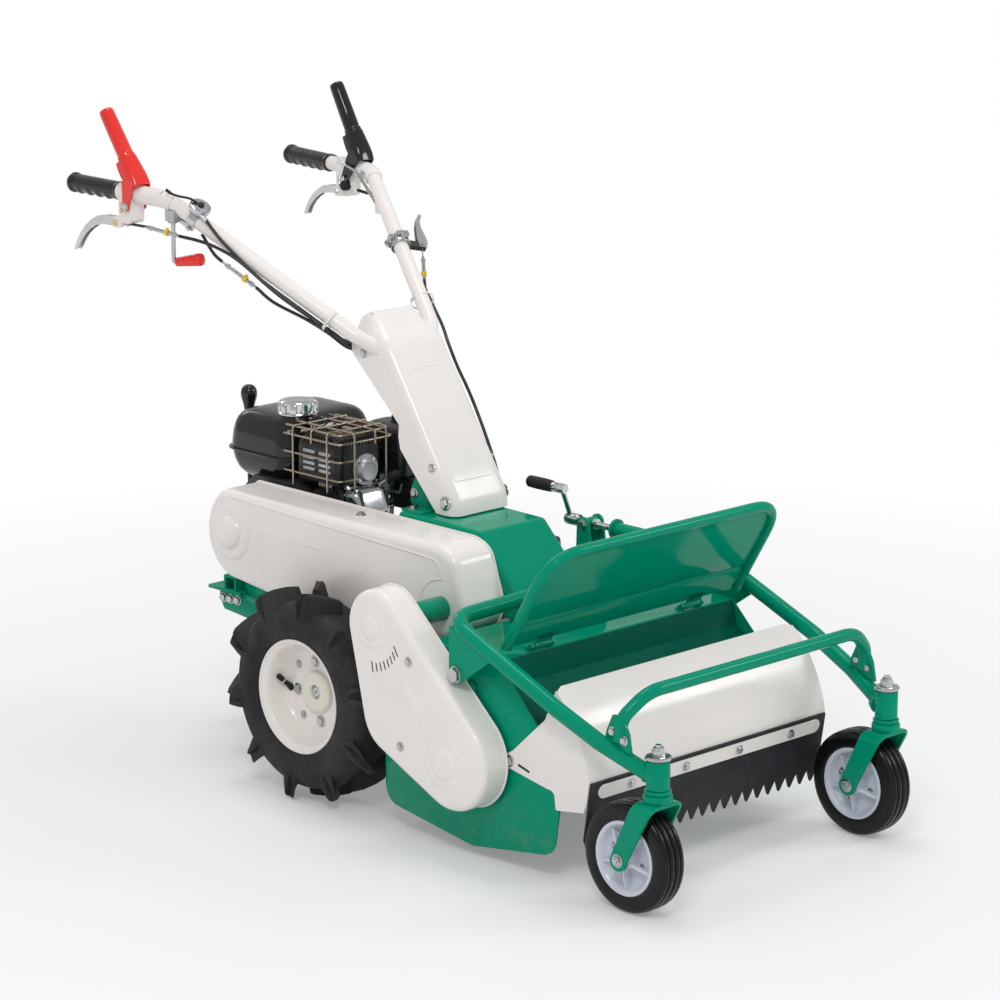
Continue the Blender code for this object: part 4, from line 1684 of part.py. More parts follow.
def throttle(root):
    """The round throttle body on the right tube and its finger lever."""
    frame = handle_frame(RIGHT, THROTTLE_POSITION)
    base = HANDLE_RADIUS + GAP
    ring = turned([(-0.008, base), (-0.008, base + 0.003), (0.008, base + 0.003), (0.008, base)],
                  (0, 0, 0), "z", 16)
    drum = turned([(base + 0.0015, 0), (base + 0.0015, 0.012), (base + 0.009, THROTTLE_RADIUS),
                   (base + 0.016, THROTTLE_RADIUS),
                   (base + 0.018, THROTTLE_RADIUS - 0.003), (base + 0.018, 0)], (0, 0, 0), "y", 20)
    strip = block((-0.006, -base - 0.0045, -0.006), (0.006, -base - 0.0008, 0.050))
    body = moved(fused(ring, drum, strip), frame)
    piece("throttle_body", "zinc", root, body, crank_mount())
    top = base + 0.018
    body = pivot("throttle_lever", frame @ Vector((0, top, 0)), root)
    outline = circle((0, 0), 0.010, 14)
    hub = prism(outline, top + GAP, top + 0.004, "y")
    arm = block((-0.003, top + GAP + 0.0002, 0.005), (0.003, top + 0.003, 0.062))
    piece("throttle_lever", "black_paint", body, moved(fused(hub, arm), frame))


def crank_top():
    """The middle of the swing crank's mount, under the right tube."""
    return handle_spot(RIGHT, SWING_CRANK_POSITION) + Vector((-0.004, 0, -HANDLE_RADIUS - 0.002))


def crank_mount():
    top = crank_top()
    mount = block(top + Vector((-0.010, -0.012, -0.016)), top + Vector((0.010, 0.012, 0.006)))
    seat = pipe(handlebar_path(), HANDLE_RADIUS + GAP, 2)
    bore = rod(top + Vector((0, 0, -0.03)), 0.024, CRANK_ROD_RADIUS + SHAFT_GAP, "z", 12)
    return cut(mount, seat, bore)


def swing_crank(root):
    """The bent rod with a red grip that hangs below the right tube."""
    top = crank_top()
    body = pivot("swing_crank", top + Vector((0, 0, -0.016)), root)
    low = top.z - SWING_CRANK_DROP
    path = rounded_path([(top.x, top.y, top.z - 0.009), (top.x, top.y, low), (top.x, top.y - 0.018, low)],
                        0.006, 2)
    grip = turned([(0, 0), (0, SWING_GRIP_RADIUS * 0.72), (-SWING_GRIP_LENGTH * 0.85, SWING_GRIP_RADIUS),
                   (-SWING_GRIP_LENGTH, SWING_GRIP_RADIUS * 0.8), (-SWING_GRIP_LENGTH, 0)],
                  (top.x, top.y - 0.012, low), "y", 14)
    piece("swing_crank", "red_plastic", body, pipe(path, CRANK_ROD_RADIUS, 2), grip)


def handles(root):
    piece("handlebar", "white_paint", root, pipe(handlebar_path(), HANDLE_RADIUS, 2))
    for side in (RIGHT, LEFT):
        start = Vector((side * HANDLE_BEND_X, HANDLE_BEND_Y, HANDLE_BEND_Z))
        end = Vector((side * HANDLE_END_X, HANDLE_END_Y, HANDLE_END_Z))
        along = (end - start).normalized()
        inner_end = end - along * GRIP_LENGTH
        bore = HANDLE_RADIUS * 1.02 + GAP
        sleeve = turned([(0, bore), (0, GRIP_RADIUS - 0.001), (0.003, GRIP_RADIUS),
                         (GRIP_LENGTH - 0.006, GRIP_RADIUS),
                         (GRIP_LENGTH, GRIP_RADIUS + 0.002), (GRIP_LENGTH + 0.004, GRIP_RADIUS),
                         (GRIP_LENGTH + 0.004, 0),
                         (GRIP_LENGTH + GAP, 0), (GRIP_LENGTH + GAP, bore)], (0, 0, 0), "z", 18)
        place = Matrix.Translation(inner_end) @ along.to_track_quat("Z", "Y").to_matrix().to_4x4()
        piece("handle_grip_" + SIDE_NAME[side], "black_rubber", root, moved(sleeve, place))
    lever_brackets(root)
    lever("red_lever", "red_plastic", RIGHT, root)
    lever("black_lever", "black_paint", LEFT, root)
    clutch_lever(RIGHT, root)
    clutch_lever(LEFT, root)
    third_lever(root)
    throttle(root)
    swing_crank(root)
    cables(root)


def cable_route(points, steps=4):
    """A smooth path through hand-chosen points."""
    path = []
    count = len(points)
    for index in range(count - 1):
        a, b, c, d = (Vector(points[min(max(index + step, 0), count - 1)]) for step in (-1, 0, 1, 2))
        for step in range(steps):
            t = step / steps
            square = (2 * a - 5 * b + 4 * c - d) * t * t
            cube = (3 * b - a - 3 * c + d) * t ** 3
            path.append(0.5 * ((2 * b) + (c - a) * t + square + cube))
    path.append(Vector(points[-1]))
    return path


def beside(side, share, across, up):
    """A point near the rising tube: across to the machine's right, up away from it."""
    return handle_frame(side, share) @ Vector((across, up, 0))


def tube_clip(side, share):
    """A band round the handle tube that holds the cables."""
    low = (HANDLE_RADIUS + GAP) / math.cos(math.pi / 14)
    band = turned([(-0.004, low), (-0.004, low + 0.005), (0.004, low + 0.005), (0.004, low)], (0, 0, 0),
                  "z", 14)
    return moved(band, handle_frame(side, share))


def cables(root):
    """Control cables that run beside the handle tubes and into the column cover."""
    clear = HANDLE_RADIUS + CABLE_RADIUS + 0.0036
    for side in (RIGHT, LEFT):
        x = grip_x(side)
        front = LEVER_BRACKET_FRONT_Y + LEVER_SHIFT[side] - RUNNING_GAP
        clutch = [(x, front, 0.966), (x, front - 0.030, 0.958), (x - side * 0.014, front - 0.060, 0.945),
                  beside(side, 0.76, side * 0.012, -0.034), beside(side, 0.56, 0, -clear - 0.005),
                  beside(side, 0.36, 0, -clear - 0.0004),
                  beside(side, 0.14, 0, -clear - 0.0004), (side * 0.070, 0.0498, 0.7442),
                  (side * 0.050, 0.029, 0.728)]
        if side == RIGHT:
            share = THROTTLE_POSITION - 0.075
            second = [beside(side, share, 0.010, HANDLE_RADIUS + 0.008),
                      beside(side, 0.64, clear + 0.002, 0.008),
                      beside(side, 0.40, clear, 0.000), beside(side, 0.14, clear, -0.003),
                      beside(side, 0.04, clear, -0.008),
                      (-0.070, 0.071, 0.7530), (-0.052, 0.053, 0.7375)]
            clip = 0.14
        else:
            second = [beside(side, CLAMP_POSITION - 0.045, -HANDLE_RADIUS - 0.032, 0),
                      beside(side, 0.44, -HANDLE_RADIUS - 0.022, 0),
                      beside(side, 0.30, -clear, 0), beside(side, 0.14, -clear - 0.006, -0.010),
                      (0.100, 0.050, 0.745),
                      (0.086, -0.010, 0.690), (0.081, -0.075, 0.600)]
            clip = 0.30
        runs = [pipe(cable_route(route, 2), CABLE_RADIUS, 1) for route in (clutch, second)]
        piece("control_cables_" + SIDE_NAME[side], "black_rubber", root, *runs, tube_clip(side, clip))


def stand_on_origin(root):
    """Move the whole machine so that the middle of its footprint is the origin."""
    bpy.context.view_layer.update()
    points = [item.matrix_world @ vertex.co for item in bpy.data.objects if item.type == "MESH"
              for vertex in item.data.vertices]
    lowest = Vector([min(point[axis] for point in points) for axis in range(3)])
    highest = Vector([max(point[axis] for point in points) for axis in range(3)])
    middle = (lowest + highest) / 2
    root.location = (-middle.x, -middle.y, -lowest.z)


def build():
    clear_scene()
    root = pivot("ground", (0, 0, 0))
    chassis(root)
    transmission(root)
    rear_frame(root)
    for side in (RIGHT, LEFT):
        drive_wheel(side, root)
    deck(root)
    lid(root)
    front_cover(root)
    rotor(root)
    belt_drives(root)
    belt_case(root)
    rotor_belt_cover(root)
    frame = front_frame(root)
    for side in (RIGHT, LEFT):
        caster(side, frame)
    height_screw(root)
    engine(root)
    gear_lever(root)
    column(root)
    handles(root)
    stand_on_origin(root)


build()
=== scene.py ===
"""Looks of a walk-behind hammer knife mower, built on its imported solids.

Lengths are metres. Shapes are written as seen from the point on the ground under the drive axle, as the
solids' source does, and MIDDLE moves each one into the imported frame. -Y is the machine's front and -X its
right.
"""

import json
from math import atan2, cos, degrees, pi, radians, sin, sqrt, tan

import bmesh
import bpy
from mathutils import Matrix, Vector

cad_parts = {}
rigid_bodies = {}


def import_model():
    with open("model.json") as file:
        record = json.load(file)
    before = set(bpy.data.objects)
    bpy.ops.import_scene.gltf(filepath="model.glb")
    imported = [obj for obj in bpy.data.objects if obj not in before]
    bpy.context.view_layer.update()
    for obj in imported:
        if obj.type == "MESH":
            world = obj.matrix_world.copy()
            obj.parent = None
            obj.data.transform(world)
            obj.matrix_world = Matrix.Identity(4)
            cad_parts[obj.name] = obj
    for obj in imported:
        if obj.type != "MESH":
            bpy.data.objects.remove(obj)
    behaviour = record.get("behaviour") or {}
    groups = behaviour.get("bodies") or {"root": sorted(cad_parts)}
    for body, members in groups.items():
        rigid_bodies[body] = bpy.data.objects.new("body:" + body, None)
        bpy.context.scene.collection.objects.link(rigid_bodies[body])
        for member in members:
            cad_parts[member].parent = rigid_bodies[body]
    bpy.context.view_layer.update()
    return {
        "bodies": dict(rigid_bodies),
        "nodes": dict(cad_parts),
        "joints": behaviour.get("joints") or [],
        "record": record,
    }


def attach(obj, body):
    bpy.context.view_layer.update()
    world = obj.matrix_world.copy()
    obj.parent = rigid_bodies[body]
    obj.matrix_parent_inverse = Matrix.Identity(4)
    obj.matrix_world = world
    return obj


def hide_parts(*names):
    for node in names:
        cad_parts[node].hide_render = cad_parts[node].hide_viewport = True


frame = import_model()

MIDDLE = Vector((0.0125, 0.107095, 0.0))
RIGHT = -1
LEFT = 1
SIDES = {RIGHT: "right", LEFT: "left"}


# Materials

class Graph:
    """A material's nodes, with short calls for the few kinds that are used here."""

    def __init__(self, name):
        self.material = bpy.data.materials.new(name)
        self.material.use_nodes = True
        self.tree = self.material.node_tree
        self.shader = self.tree.nodes["Principled BSDF"]
        self.place = self.node("ShaderNodeTexCoord").outputs["Object"]

    def node(self, kind, **settings):
        made = self.tree.nodes.new(kind)
        for key, value in settings.items():
            setattr(made, key, value)
        return made

    def link(self, start, end):
        self.tree.links.new(start, end)

    def noise(self, scale, detail, roughness=0.5):
        made = self.node("ShaderNodeTexNoise")
        made.inputs["Scale"].default_value = scale
        made.inputs["Detail"].default_value = detail
        made.inputs["Roughness"].default_value = roughness
        self.link(self.place, made.inputs["Vector"])
        return made.outputs["Fac"]

    def spread(self, value, low, high, to_low=0.0, to_high=1.0):
        made = self.node("ShaderNodeMapRange")
        for key, number in (("From Min", low), ("From Max", high), ("To Min", to_low), ("To Max", to_high)):
            made.inputs[key].default_value = number
        self.link(value, made.inputs["Value"])
        return made.outputs["Result"]

    def cloud(self, scale, detail, low=0.0, high=1.0):
        """Soft noise that runs from one value to another."""
        return self.spread(self.noise(scale, detail), 0.3, 0.7, low, high)

    def times(self, first, second, operation="MULTIPLY"):
        made = self.node("ShaderNodeMath", operation=operation)
        made.use_clamp = True
        for socket, value in zip(made.inputs, (first, second)):
            if isinstance(value, (int, float)):
                socket.default_value = value
            else:
                self.link(value, socket)
        return made.outputs[0]

    def mix(self, share, first, second):
        made = self.node("ShaderNodeMix", data_type="RGBA")
        self.link(share, made.inputs["Factor"])
        for socket, value in ((made.inputs[6], first), (made.inputs[7], second)):
            if isinstance(value, tuple):
                socket.default_value = (*value, 1)
            else:
                self.link(value, socket)
        return made.outputs[2]

    def height(self):
        made = self.node("ShaderNodeSeparateXYZ")
        self.link(self.place, made.inputs[0])
        return made.outputs["Z"]

    def edges(self, low, high):
        made = self.node("ShaderNodeNewGeometry")
        return self.spread(made.outputs["Pointiness"], low, high)

    def colour(self, socket):
        self.link(socket, self.shader.inputs["Base Color"])

    def roughness(self, socket):
        self.link(socket, self.shader.inputs["Roughness"])

    def bump(self, value, distance, strength):
        made = self.node("ShaderNodeBump")
        made.inputs["Distance"].default_value = distance
        made.inputs["Strength"].default_value = strength
        self.link(value, made.inputs["Height"])
        self.link(made.outputs["Normal"], self.shader.inputs["Normal"])

    def fixed(self, **values):
        for key, value in values.items():
            self.shader.inputs[key.replace("_", " ")].default_value = value


def shade(colour, factor):
    """A colour made darker or lighter."""
    return tuple(min(1.0, c * factor) for c in colour)


def enamel(name, colour, edge, rough=(0.1, 0.2), gloss=0.35):
    """Gloss paint on sheet metal: faint clouding, orange peel, thin dust low down and paler edges."""
    g = Graph(name)
    clouds = g.cloud(5, 3)
    base = g.mix(clouds, shade(colour, 0.96), shade(colour, 1.03))
    wear = g.times(g.edges(0.54, 0.64), g.spread(g.noise(60, 5), 0.5, 0.75))
    base = g.mix(g.times(wear, 0.25), base, edge)
    low = g.times(g.spread(g.height(), 0.14, 0.02), g.spread(g.noise(38, 5), 0.45, 0.75))
    g.colour(g.mix(g.times(low, 0.18), base, (0.3, 0.28, 0.24)))
    g.roughness(g.cloud(22, 4, *rough))
    g.bump(g.noise(300, 2), 0.00004, 0.25)
    g.fixed(Specular_IOR_Level=gloss)
    return g.material


def casting(name, colour, metal=0.55):
    """Cast metal with a coarse grain."""
    g = Graph(name)
    g.colour(g.mix(g.cloud(24, 5), shade(colour, 0.8), shade(colour, 1.15)))
    g.roughness(g.cloud(60, 4, 0.38, 0.62))
    g.bump(g.noise(900, 4), 0.00025, 0.6)
    g.fixed(Metallic=metal)
    return g.material


def bright(name, colour, rough):
    """Plated or polished metal with fine scratches."""
    g = Graph(name)
    g.colour(g.mix(g.cloud(30, 5), shade(colour, 0.86), shade(colour, 1.06)))
    g.roughness(g.cloud(160, 5, *rough))
    g.bump(g.noise(900, 3), 0.00004, 0.4)
    g.fixed(Metallic=1.0)
    return g.material


def rubber(name, colour, dust, amount, rough=(0.55, 0.8), grain=1300):
    """Rubber with a matt grain and dust in patches."""
    g = Graph(name)
    base = g.mix(g.cloud(18, 5), shade(colour, 0.8), shade(colour, 1.25))
    share = g.times(g.spread(g.noise(9, 6, 0.65), 0.42, 0.75), amount)
    g.colour(g.mix(share, base, dust))
    g.roughness(g.cloud(30, 4, *rough))
    g.bump(g.noise(grain, 3), 0.0001, 0.5)
    g.fixed(Specular_IOR_Level=0.25)
    return g.material


def moulded(name, colour, rough):
    """Moulded plastic with a fine grain."""
    g = Graph(name)
    g.colour(g.mix(g.cloud(14, 4), shade(colour, 0.92), shade(colour, 1.08)))
    g.roughness(g.cloud(40, 4, *rough))
    g.bump(g.noise(1600, 3), 0.00004, 0.5)
    return g.material


GREEN = enamel("green_enamel", (0.0, 0.285, 0.165), (0.02, 0.42, 0.29), (0.05, 0.11), 0.1)
# Painted shade: a darker copy of the green enamel for the inside of the deck, which is the same paint
PAINTED_SHADE_GREEN = enamel("green_enamel_painted_shade", (0.0, 0.115, 0.072), (0.01, 0.18, 0.13), (0.22, 0.34), 0.08)
CREAM = enamel("cream_enamel", (0.8, 0.76, 0.66), (0.86, 0.83, 0.76))
IVORY = enamel("ivory_enamel", (0.875, 0.83, 0.8), (0.9, 0.88, 0.86), (0.14, 0.24), 0.4)
BLACK = enamel("black_enamel", (0.012, 0.012, 0.013), (0.05, 0.05, 0.05), (0.16, 0.3), 0.4)
GLOSS_BLACK = enamel("gloss_black", (0.006, 0.006, 0.007), (0.03, 0.03, 0.03), (0.06, 0.12), 0.5)
SATIN_BLACK = enamel("satin_black", (0.01, 0.01, 0.011), (0.05, 0.05, 0.05), (0.26, 0.4), 0.4)
GREY_CAST = casting("grey_casting", (0.3, 0.31, 0.32))
SILVER_CAST = casting("silver_casting", (0.52, 0.53, 0.54), 0.85)
DARK_CAST = casting("dark_casting", (0.045, 0.045, 0.048), 0.3)
POLISHED = bright("polished_cover", (0.4, 0.41, 0.43), (0.14, 0.26))
ZINC = bright("zinc_plate", (0.52, 0.53, 0.53), (0.12, 0.26))
CHROME = bright("chrome", (0.58, 0.59, 0.61), (0.04, 0.1))
ALUMINIUM = bright("polished_aluminium", (0.6, 0.6, 0.61), (0.12, 0.26))
WIRE = bright("heated_wire", (0.44, 0.36, 0.27), (0.25, 0.45))
YELLOW_ZINC = bright("yellow_zinc", (0.62, 0.5, 0.24), (0.2, 0.4))
TYRE = rubber("lug_tyre_rubber", (0.02, 0.021, 0.023), (0.062, 0.06, 0.058), 0.35)
CASTER_RUBBER = rubber("caster_rubber", (0.006, 0.006, 0.006), (0.03, 0.028, 0.026), 0.08, (0.16, 0.28),
    700)
SOFT_BLACK = rubber("soft_black", (0.014, 0.014, 0.014), (0.04, 0.04, 0.04), 0.12, (0.42, 0.6))
FLAP = rubber("flap_rubber", (0.02, 0.02, 0.024), (0.05, 0.05, 0.055), 0.2, (0.38, 0.6), 500)
CABLE = moulded("cable_sheath", (0.012, 0.012, 0.013), (0.22, 0.34))
BELT = rubber("belt_rubber", (0.03, 0.03, 0.03), (0.08, 0.08, 0.08), 0.2)
PLASTIC = moulded("black_plastic", (0.014, 0.014, 0.015), (0.25, 0.4))
RED = moulded("red_plastic", (0.86, 0.028, 0.02), (0.1, 0.2))
TIE = moulded("white_tie", (0.82, 0.83, 0.8), (0.3, 0.45))
GRIP_RUBBER = moulded("grip_vinyl", (0.01, 0.01, 0.01), (0.16, 0.28))
HUB = moulded("hub_nylon", (0.62, 0.65, 0.74), (0.26, 0.4))
YELLOW = moulded("yellow_band", (0.85, 0.62, 0.03), (0.35, 0.5))

LOOKS = {
    "green_paint": GREEN, "ivory_paint": IVORY, "cast_grey": GREY_CAST, "cast_aluminium": DARK_CAST,
    "black_enamel": BLACK, "black_plastic": PLASTIC, "black_rubber": SOFT_BLACK, "drive_tyre_rubber": TYRE,
    "hub_plastic": HUB, "zinc": ZINC, "aluminium": ALUMINIUM, "red_plastic": RED, "guard_wire": WIRE,
    "belt_rubber": BELT,
}


# Shapes

def soften(obj, width, segments, angle):
    """Edges sharper than the angle get a small rounding."""
    bevel = obj.modifiers.new("bevel", "BEVEL")
    bevel.width = width
    bevel.segments = segments
    bevel.limit_method = "ANGLE"
    bevel.angle_limit = radians(angle)
    bevel.harden_normals = True


def settle(obj, width):
    """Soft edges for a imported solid, with points on one spot made one."""
    for face in obj.data.polygons:
        face.use_smooth = True
    weld = obj.modifiers.new("weld", "WELD")
    weld.merge_threshold = 0.00001
    if width:
        soften(obj, width, 2, 32)


def piece(name, shapes, look, body="chassis", replaces=(), width=0.0, segments=2, angle=40,
        place=None):
    """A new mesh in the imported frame, of one shape or a list of them, that rides on a body."""
    bm = together(*shapes) if isinstance(shapes, list) else shapes
    if place:
        bm.transform(place)
    mesh = bpy.data.meshes.new(name)
    bmesh.ops.recalc_face_normals(bm, faces=bm.faces)
    bm.to_mesh(mesh)
    bm.free()
    mesh.transform(Matrix.Translation(MIDDLE))
    mesh.materials.append(look)
    obj = bpy.data.objects.new(name, mesh)
    bpy.context.scene.collection.objects.link(obj)
    for face in mesh.polygons:
        face.use_smooth = True
    mesh.set_sharp_from_angle(angle=radians(angle))
    if width:
        soften(obj, width, segments, angle)
    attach(obj, body)
    if replaces:
        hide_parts(replaces)


def fittings(name, shapes, body="chassis", look=ZINC, place=None):
    """Bolts and other small plated pieces."""
    piece(name, shapes, look, body, angle=35, place=place)


def together(*shapes):
    """Several shapes as one, without cutting them where they cross."""
    out = bmesh.new()
    for shape in shapes:
        mesh = bpy.data.meshes.new("part")
        shape.to_mesh(mesh)
        shape.free()
        out.from_mesh(mesh)
        bpy.data.meshes.remove(mesh)
    return out


def moved(bm, matrix):
    bm.transform(matrix)
    return bm


def aimed(at, direction):
    """Turns +Z to a direction and moves the origin to a point."""
    return Matrix.Translation(at) @ direction.to_track_quat("Z", "Y").to_matrix().to_4x4()


def heading(points, index):
    """The direction of a path at one of its points."""
    return (points[min(index + 1, len(points) - 1)] - points[max(index - 1, 0)]).normalized()


def grid(bm, rows):
    """Faces between the rows of a grid of points."""
    for first, second in zip(rows, rows[1:]):
        for corners in zip(first, first[1:], second[1:], second):
            bm.faces.new(corners)


def skin(bm, rings, ends=True):
    """Faces between closed rings of points, and over the first and the last ring."""
    grid(bm, [ring + ring[:1] for ring in rings])
    if ends:
        bm.faces.new(rings[0])
        bm.faces.new(rings[-1][::-1])
    return bm


def hem(bm, outer, inner):
    """Faces along the four edges of two grids that lie one behind the other."""
    for row in (0, -1):
        grid(bm, (outer[row], inner[row]))
    for column in (0, -1):
        grid(bm, [[row[column] for row in rows] for rows in (outer, inner)])


TO_AXIS = {"x": Matrix.Rotation(pi / 2, 4, "Y"), "y": Matrix.Rotation(-pi / 2, 4, "X"),
    "z": Matrix.Identity(4)}


def lathe(profile, at=(0, 0, 0), axis="x", sides=48, closed=False):
    """A profile of (along the axis, radius) pairs turned round the axis through a point."""
    bm = bmesh.new()
    rings = []
    for along, radius in profile:
        if radius < 1e-6:
            rings.append([bm.verts.new((0, 0, along))])
            continue
        rings.append([bm.verts.new((radius * cos(2 * pi * i / sides), radius * sin(2 * pi * i / sides),
            along)) for i in range(sides)])
    pairs = list(zip(rings, rings[1:] + rings[:1] if closed else rings[1:]))
    for first, second in pairs:
        for i in range(sides):
            j = (i + 1) % sides
            corners = [first[i % len(first)], first[j % len(first)], second[j % len(second)],
                second[i % len(second)]]
            corners = list(dict.fromkeys(corners))
            if len(corners) > 2:
                bm.faces.new(corners)
    return moved(bm, Matrix.Translation(at) @ TO_AXIS[axis])


def disc(low, high, radius, at, axis, sides=48, end=None):
    """A solid round bar from low to high along an axis; its high end may have another radius."""
    return lathe([(low, 0), (low, radius), (high, end or radius), (high, 0)], at, axis, sides)


def hoop(low, high, inner, outer, at, axis, sides=48):
    """A round tube from low to high along an axis."""
    return lathe([(low, inner), (low, outer), (high, outer), (high, inner)], at, axis, sides, True)


def plate(outline, low, high, axis="x"):
    """A flat outline carried from low to high along an axis: (y, z) for x, (x, z) for y, (x, y) for z."""
    def spot(a, b, level):
        return {"x": (level, a, b), "y": (a, level, b), "z": (a, b, level)}[axis]

    bm = bmesh.new()
    ends = [[bm.verts.new(spot(a, b, level)) for a, b in outline] for level in (low, high)]
    bm.faces.new(ends[0])
    bm.faces.new(ends[1][::-1])
    count = len(outline)
    for i in range(count):
        j = (i + 1) % count
        bm.faces.new([ends[0][i], ends[1][i], ends[1][j], ends[0][j]])
    return bm


def box(low, high):
    """A block between two corners."""
    return plate([(low[0], low[1]), (high[0], low[1]), (high[0], high[1]), (low[0], high[1])], low[2],
        high[2], "z")


def arc(centre, radius, start, end, steps):
    """Points on a circle from one angle to another, in degrees."""
    return [(centre[0] + radius * cos(radians(start + (end - start) * i / steps)),
        centre[1] + radius * sin(radians(start + (end - start) * i / steps))) for i in range(steps + 1)]


def circle(centre, radius, sides=32):
    return arc(centre, radius, 0, 360 - 360 / sides, sides - 1)


def hull(points):
    """The convex outline round some points."""
    points = sorted(set((round(a, 6), round(b, 6)) for a, b in points))

    def half(run):
        out = []
        for p in run:
            while len(out) > 1 and ((out[-1][0] - out[-2][0]) * (p[1] - out[-2][1])
                    - (out[-1][1] - out[-2][1]) * (p[0] - out[-2][0])) <= 0:
                out.pop()
            out.append(p)
        return out[:-1]
    return half(points) + half(points[::-1])


def bent(points, radius, steps=8):
    """A path with its corners rounded."""
    points = [Vector(p) for p in points]
    out = [points[0]]
    for before, corner, after in zip(points, points[1:], points[2:]):
        to_before = (before - corner).normalized()
        to_after = (after - corner).normalized()
        angle = to_before.angle(to_after)
        reach = min(radius / tan(angle / 2), (before - corner).length * 0.49,
            (after - corner).length * 0.49)
        start = corner + to_before * reach
        end = corner + to_after * reach
        for i in range(steps + 1):
            t = i / steps
            out.append(start.lerp(corner, t).lerp(corner.lerp(end, t), t))
    return out + [points[-1]]


def curve(points, steps=6):
    """A smooth path through points."""
    points = [Vector(p) for p in points]
    ends = [2 * points[0] - points[1]] + points + [2 * points[-1] - points[-2]]
    out = []
    for a, b, c, d in zip(ends, ends[1:], ends[2:], ends[3:]):
        for i in range(steps):
            t = i / steps
            out.append(0.5 * ((2 * b) + (c - a) * t + (2 * a - 5 * b + 4 * c - d) * t * t
                + (3 * b - 3 * c + d - a) * t ** 3))
    return out + [points[-1]]


def tube(points, radius, sides=20):
    """A round bar along a path; radius may be a list, one for each point."""
    points = [Vector(p) for p in points]
    radii = radius if isinstance(radius, list) else [radius] * len(points)
    bm = bmesh.new()
    normal = None
    rings = []
    for i, point in enumerate(points):
        along = heading(points, i)
        if normal is None:
            normal = along.orthogonal().normalized()
        normal = (normal - along * normal.dot(along)).normalized()
        other = along.cross(normal)
        rings.append([bm.verts.new(point + (normal * cos(2 * pi * k / sides)
            + other * sin(2 * pi * k / sides)) * radii[i]) for k in range(sides)])
    return skin(bm, rings)


def folded(line, halves, shares, thick, trim=0.0):
    """A sheet that follows a line of (y, z) points, with its half width at each point."""
    bm = bmesh.new()
    layers = []
    for layer in (0, 1):
        rows = []
        for index, (point, half) in enumerate(zip(line, halves)):
            along = heading(line, index)
            spot = point + Vector((along.y, -along.x)) * thick * layer
            rows.append([bm.verts.new(((half - trim * layer) * share, spot.x, spot.y)) for share in shares])
        layers.append(rows)
        grid(bm, rows)
    hem(bm, *layers)
    return bm


def bolt(at, axis, size, height, washer=0.0):
    """A hexagon head with a chamfered top, and a washer under it."""
    shapes = [lathe([(0, 0), (0, size), (height * 0.82, size), (height, size * 0.86), (height, 0)],
        (0, 0, 0), "z", 6)]
    if washer:
        shapes.append(lathe([(-0.0004, 0), (-0.0004, washer), (0.0012, washer), (0.0016, washer - 0.0006),
            (0.0016, 0)], (0, 0, 0), "z", 24))
    return moved(together(*shapes), aimed(at, Vector(axis).normalized()))


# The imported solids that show, with their finishes

record = frame["record"]
slot_of = {row["node"]: row["material_slot"] for row in record["subparts"]}
EDGE = {"hammer_rotor": 0.0, "engine_belt": 0.0, "rotor_belt": 0.0, "mower_deck": 0.0008,
    "chassis_box": 0.0015, "belt_case": 0.001, "rotor_belt_cover": 0.001, "column_cover": 0.0012,
    "engine_block": 0.0008, "transmission": 0.002, "rear_frame": 0.0008}
for name, node in frame["nodes"].items():
    node.data.materials.clear()
    node.data.materials.append(LOOKS[slot_of[name]])
    settle(node, EDGE.get(name, 0.0005))


# Drive wheels

TYRE_RADIUS = 0.19
WHEEL_X = 0.26
LUGS = 10


def lug(hand, angle, centre):
    """One slanting lug: sections from the middle of the tread over the shoulder to the sidewall."""
    sections = ((-0.004, 0.1655, 0.186, 0.014, 0.0065, 0), (0.012, 0.166, 0.1892, 0.016, 0.0075, 0),
        (0.028, 0.164, 0.19, 0.019, 0.0085, 0), (0.041, 0.1565, 0.1888, 0.021, 0.01, 0.001),
        (0.048, 0.146, 0.1835, 0.02, 0.012, 0.006), (0.0499, 0.14, 0.168, 0.0155, 0.01, 0.008),
        (0.05, 0.134, 0.15, 0.009, 0.0055, 0.004), (0.0498, 0.13, 0.14, 0.005, 0.002, 0))
    bm = bmesh.new()
    rings = []
    for across, base, top, wide, narrow, dip in sections:
        slant = angle + radians(15) * max(across, 0) / 0.05
        ring = []
        middle = base + (top - base) * 0.42
        for along, radius, sink in ((-wide, base - 0.004, 0), (-narrow * 1.35, middle, 0),
                (-narrow, top - 0.0015, 0), (-narrow * 0.75, top, 0),
                (-narrow * 0.35, top - dip * 0.6, dip), (narrow * 0.35, top - dip * 0.6, dip),
                (narrow * 0.75, top, 0), (narrow, top - 0.0015, 0), (narrow * 1.35, middle, 0),
                (wide, base - 0.004, 0)):
            turn = slant + along / radius
            inner = across - 0.006 if radius < base and across > 0.045 else across - sink
            ring.append(bm.verts.new((centre + hand * inner, radius * sin(turn),
                TYRE_RADIUS + radius * cos(turn))))
        rings.append(ring)
    grid(bm, rings)
    for ring in (rings[0], rings[-1]):
        bm.faces.new(ring)
    return bm


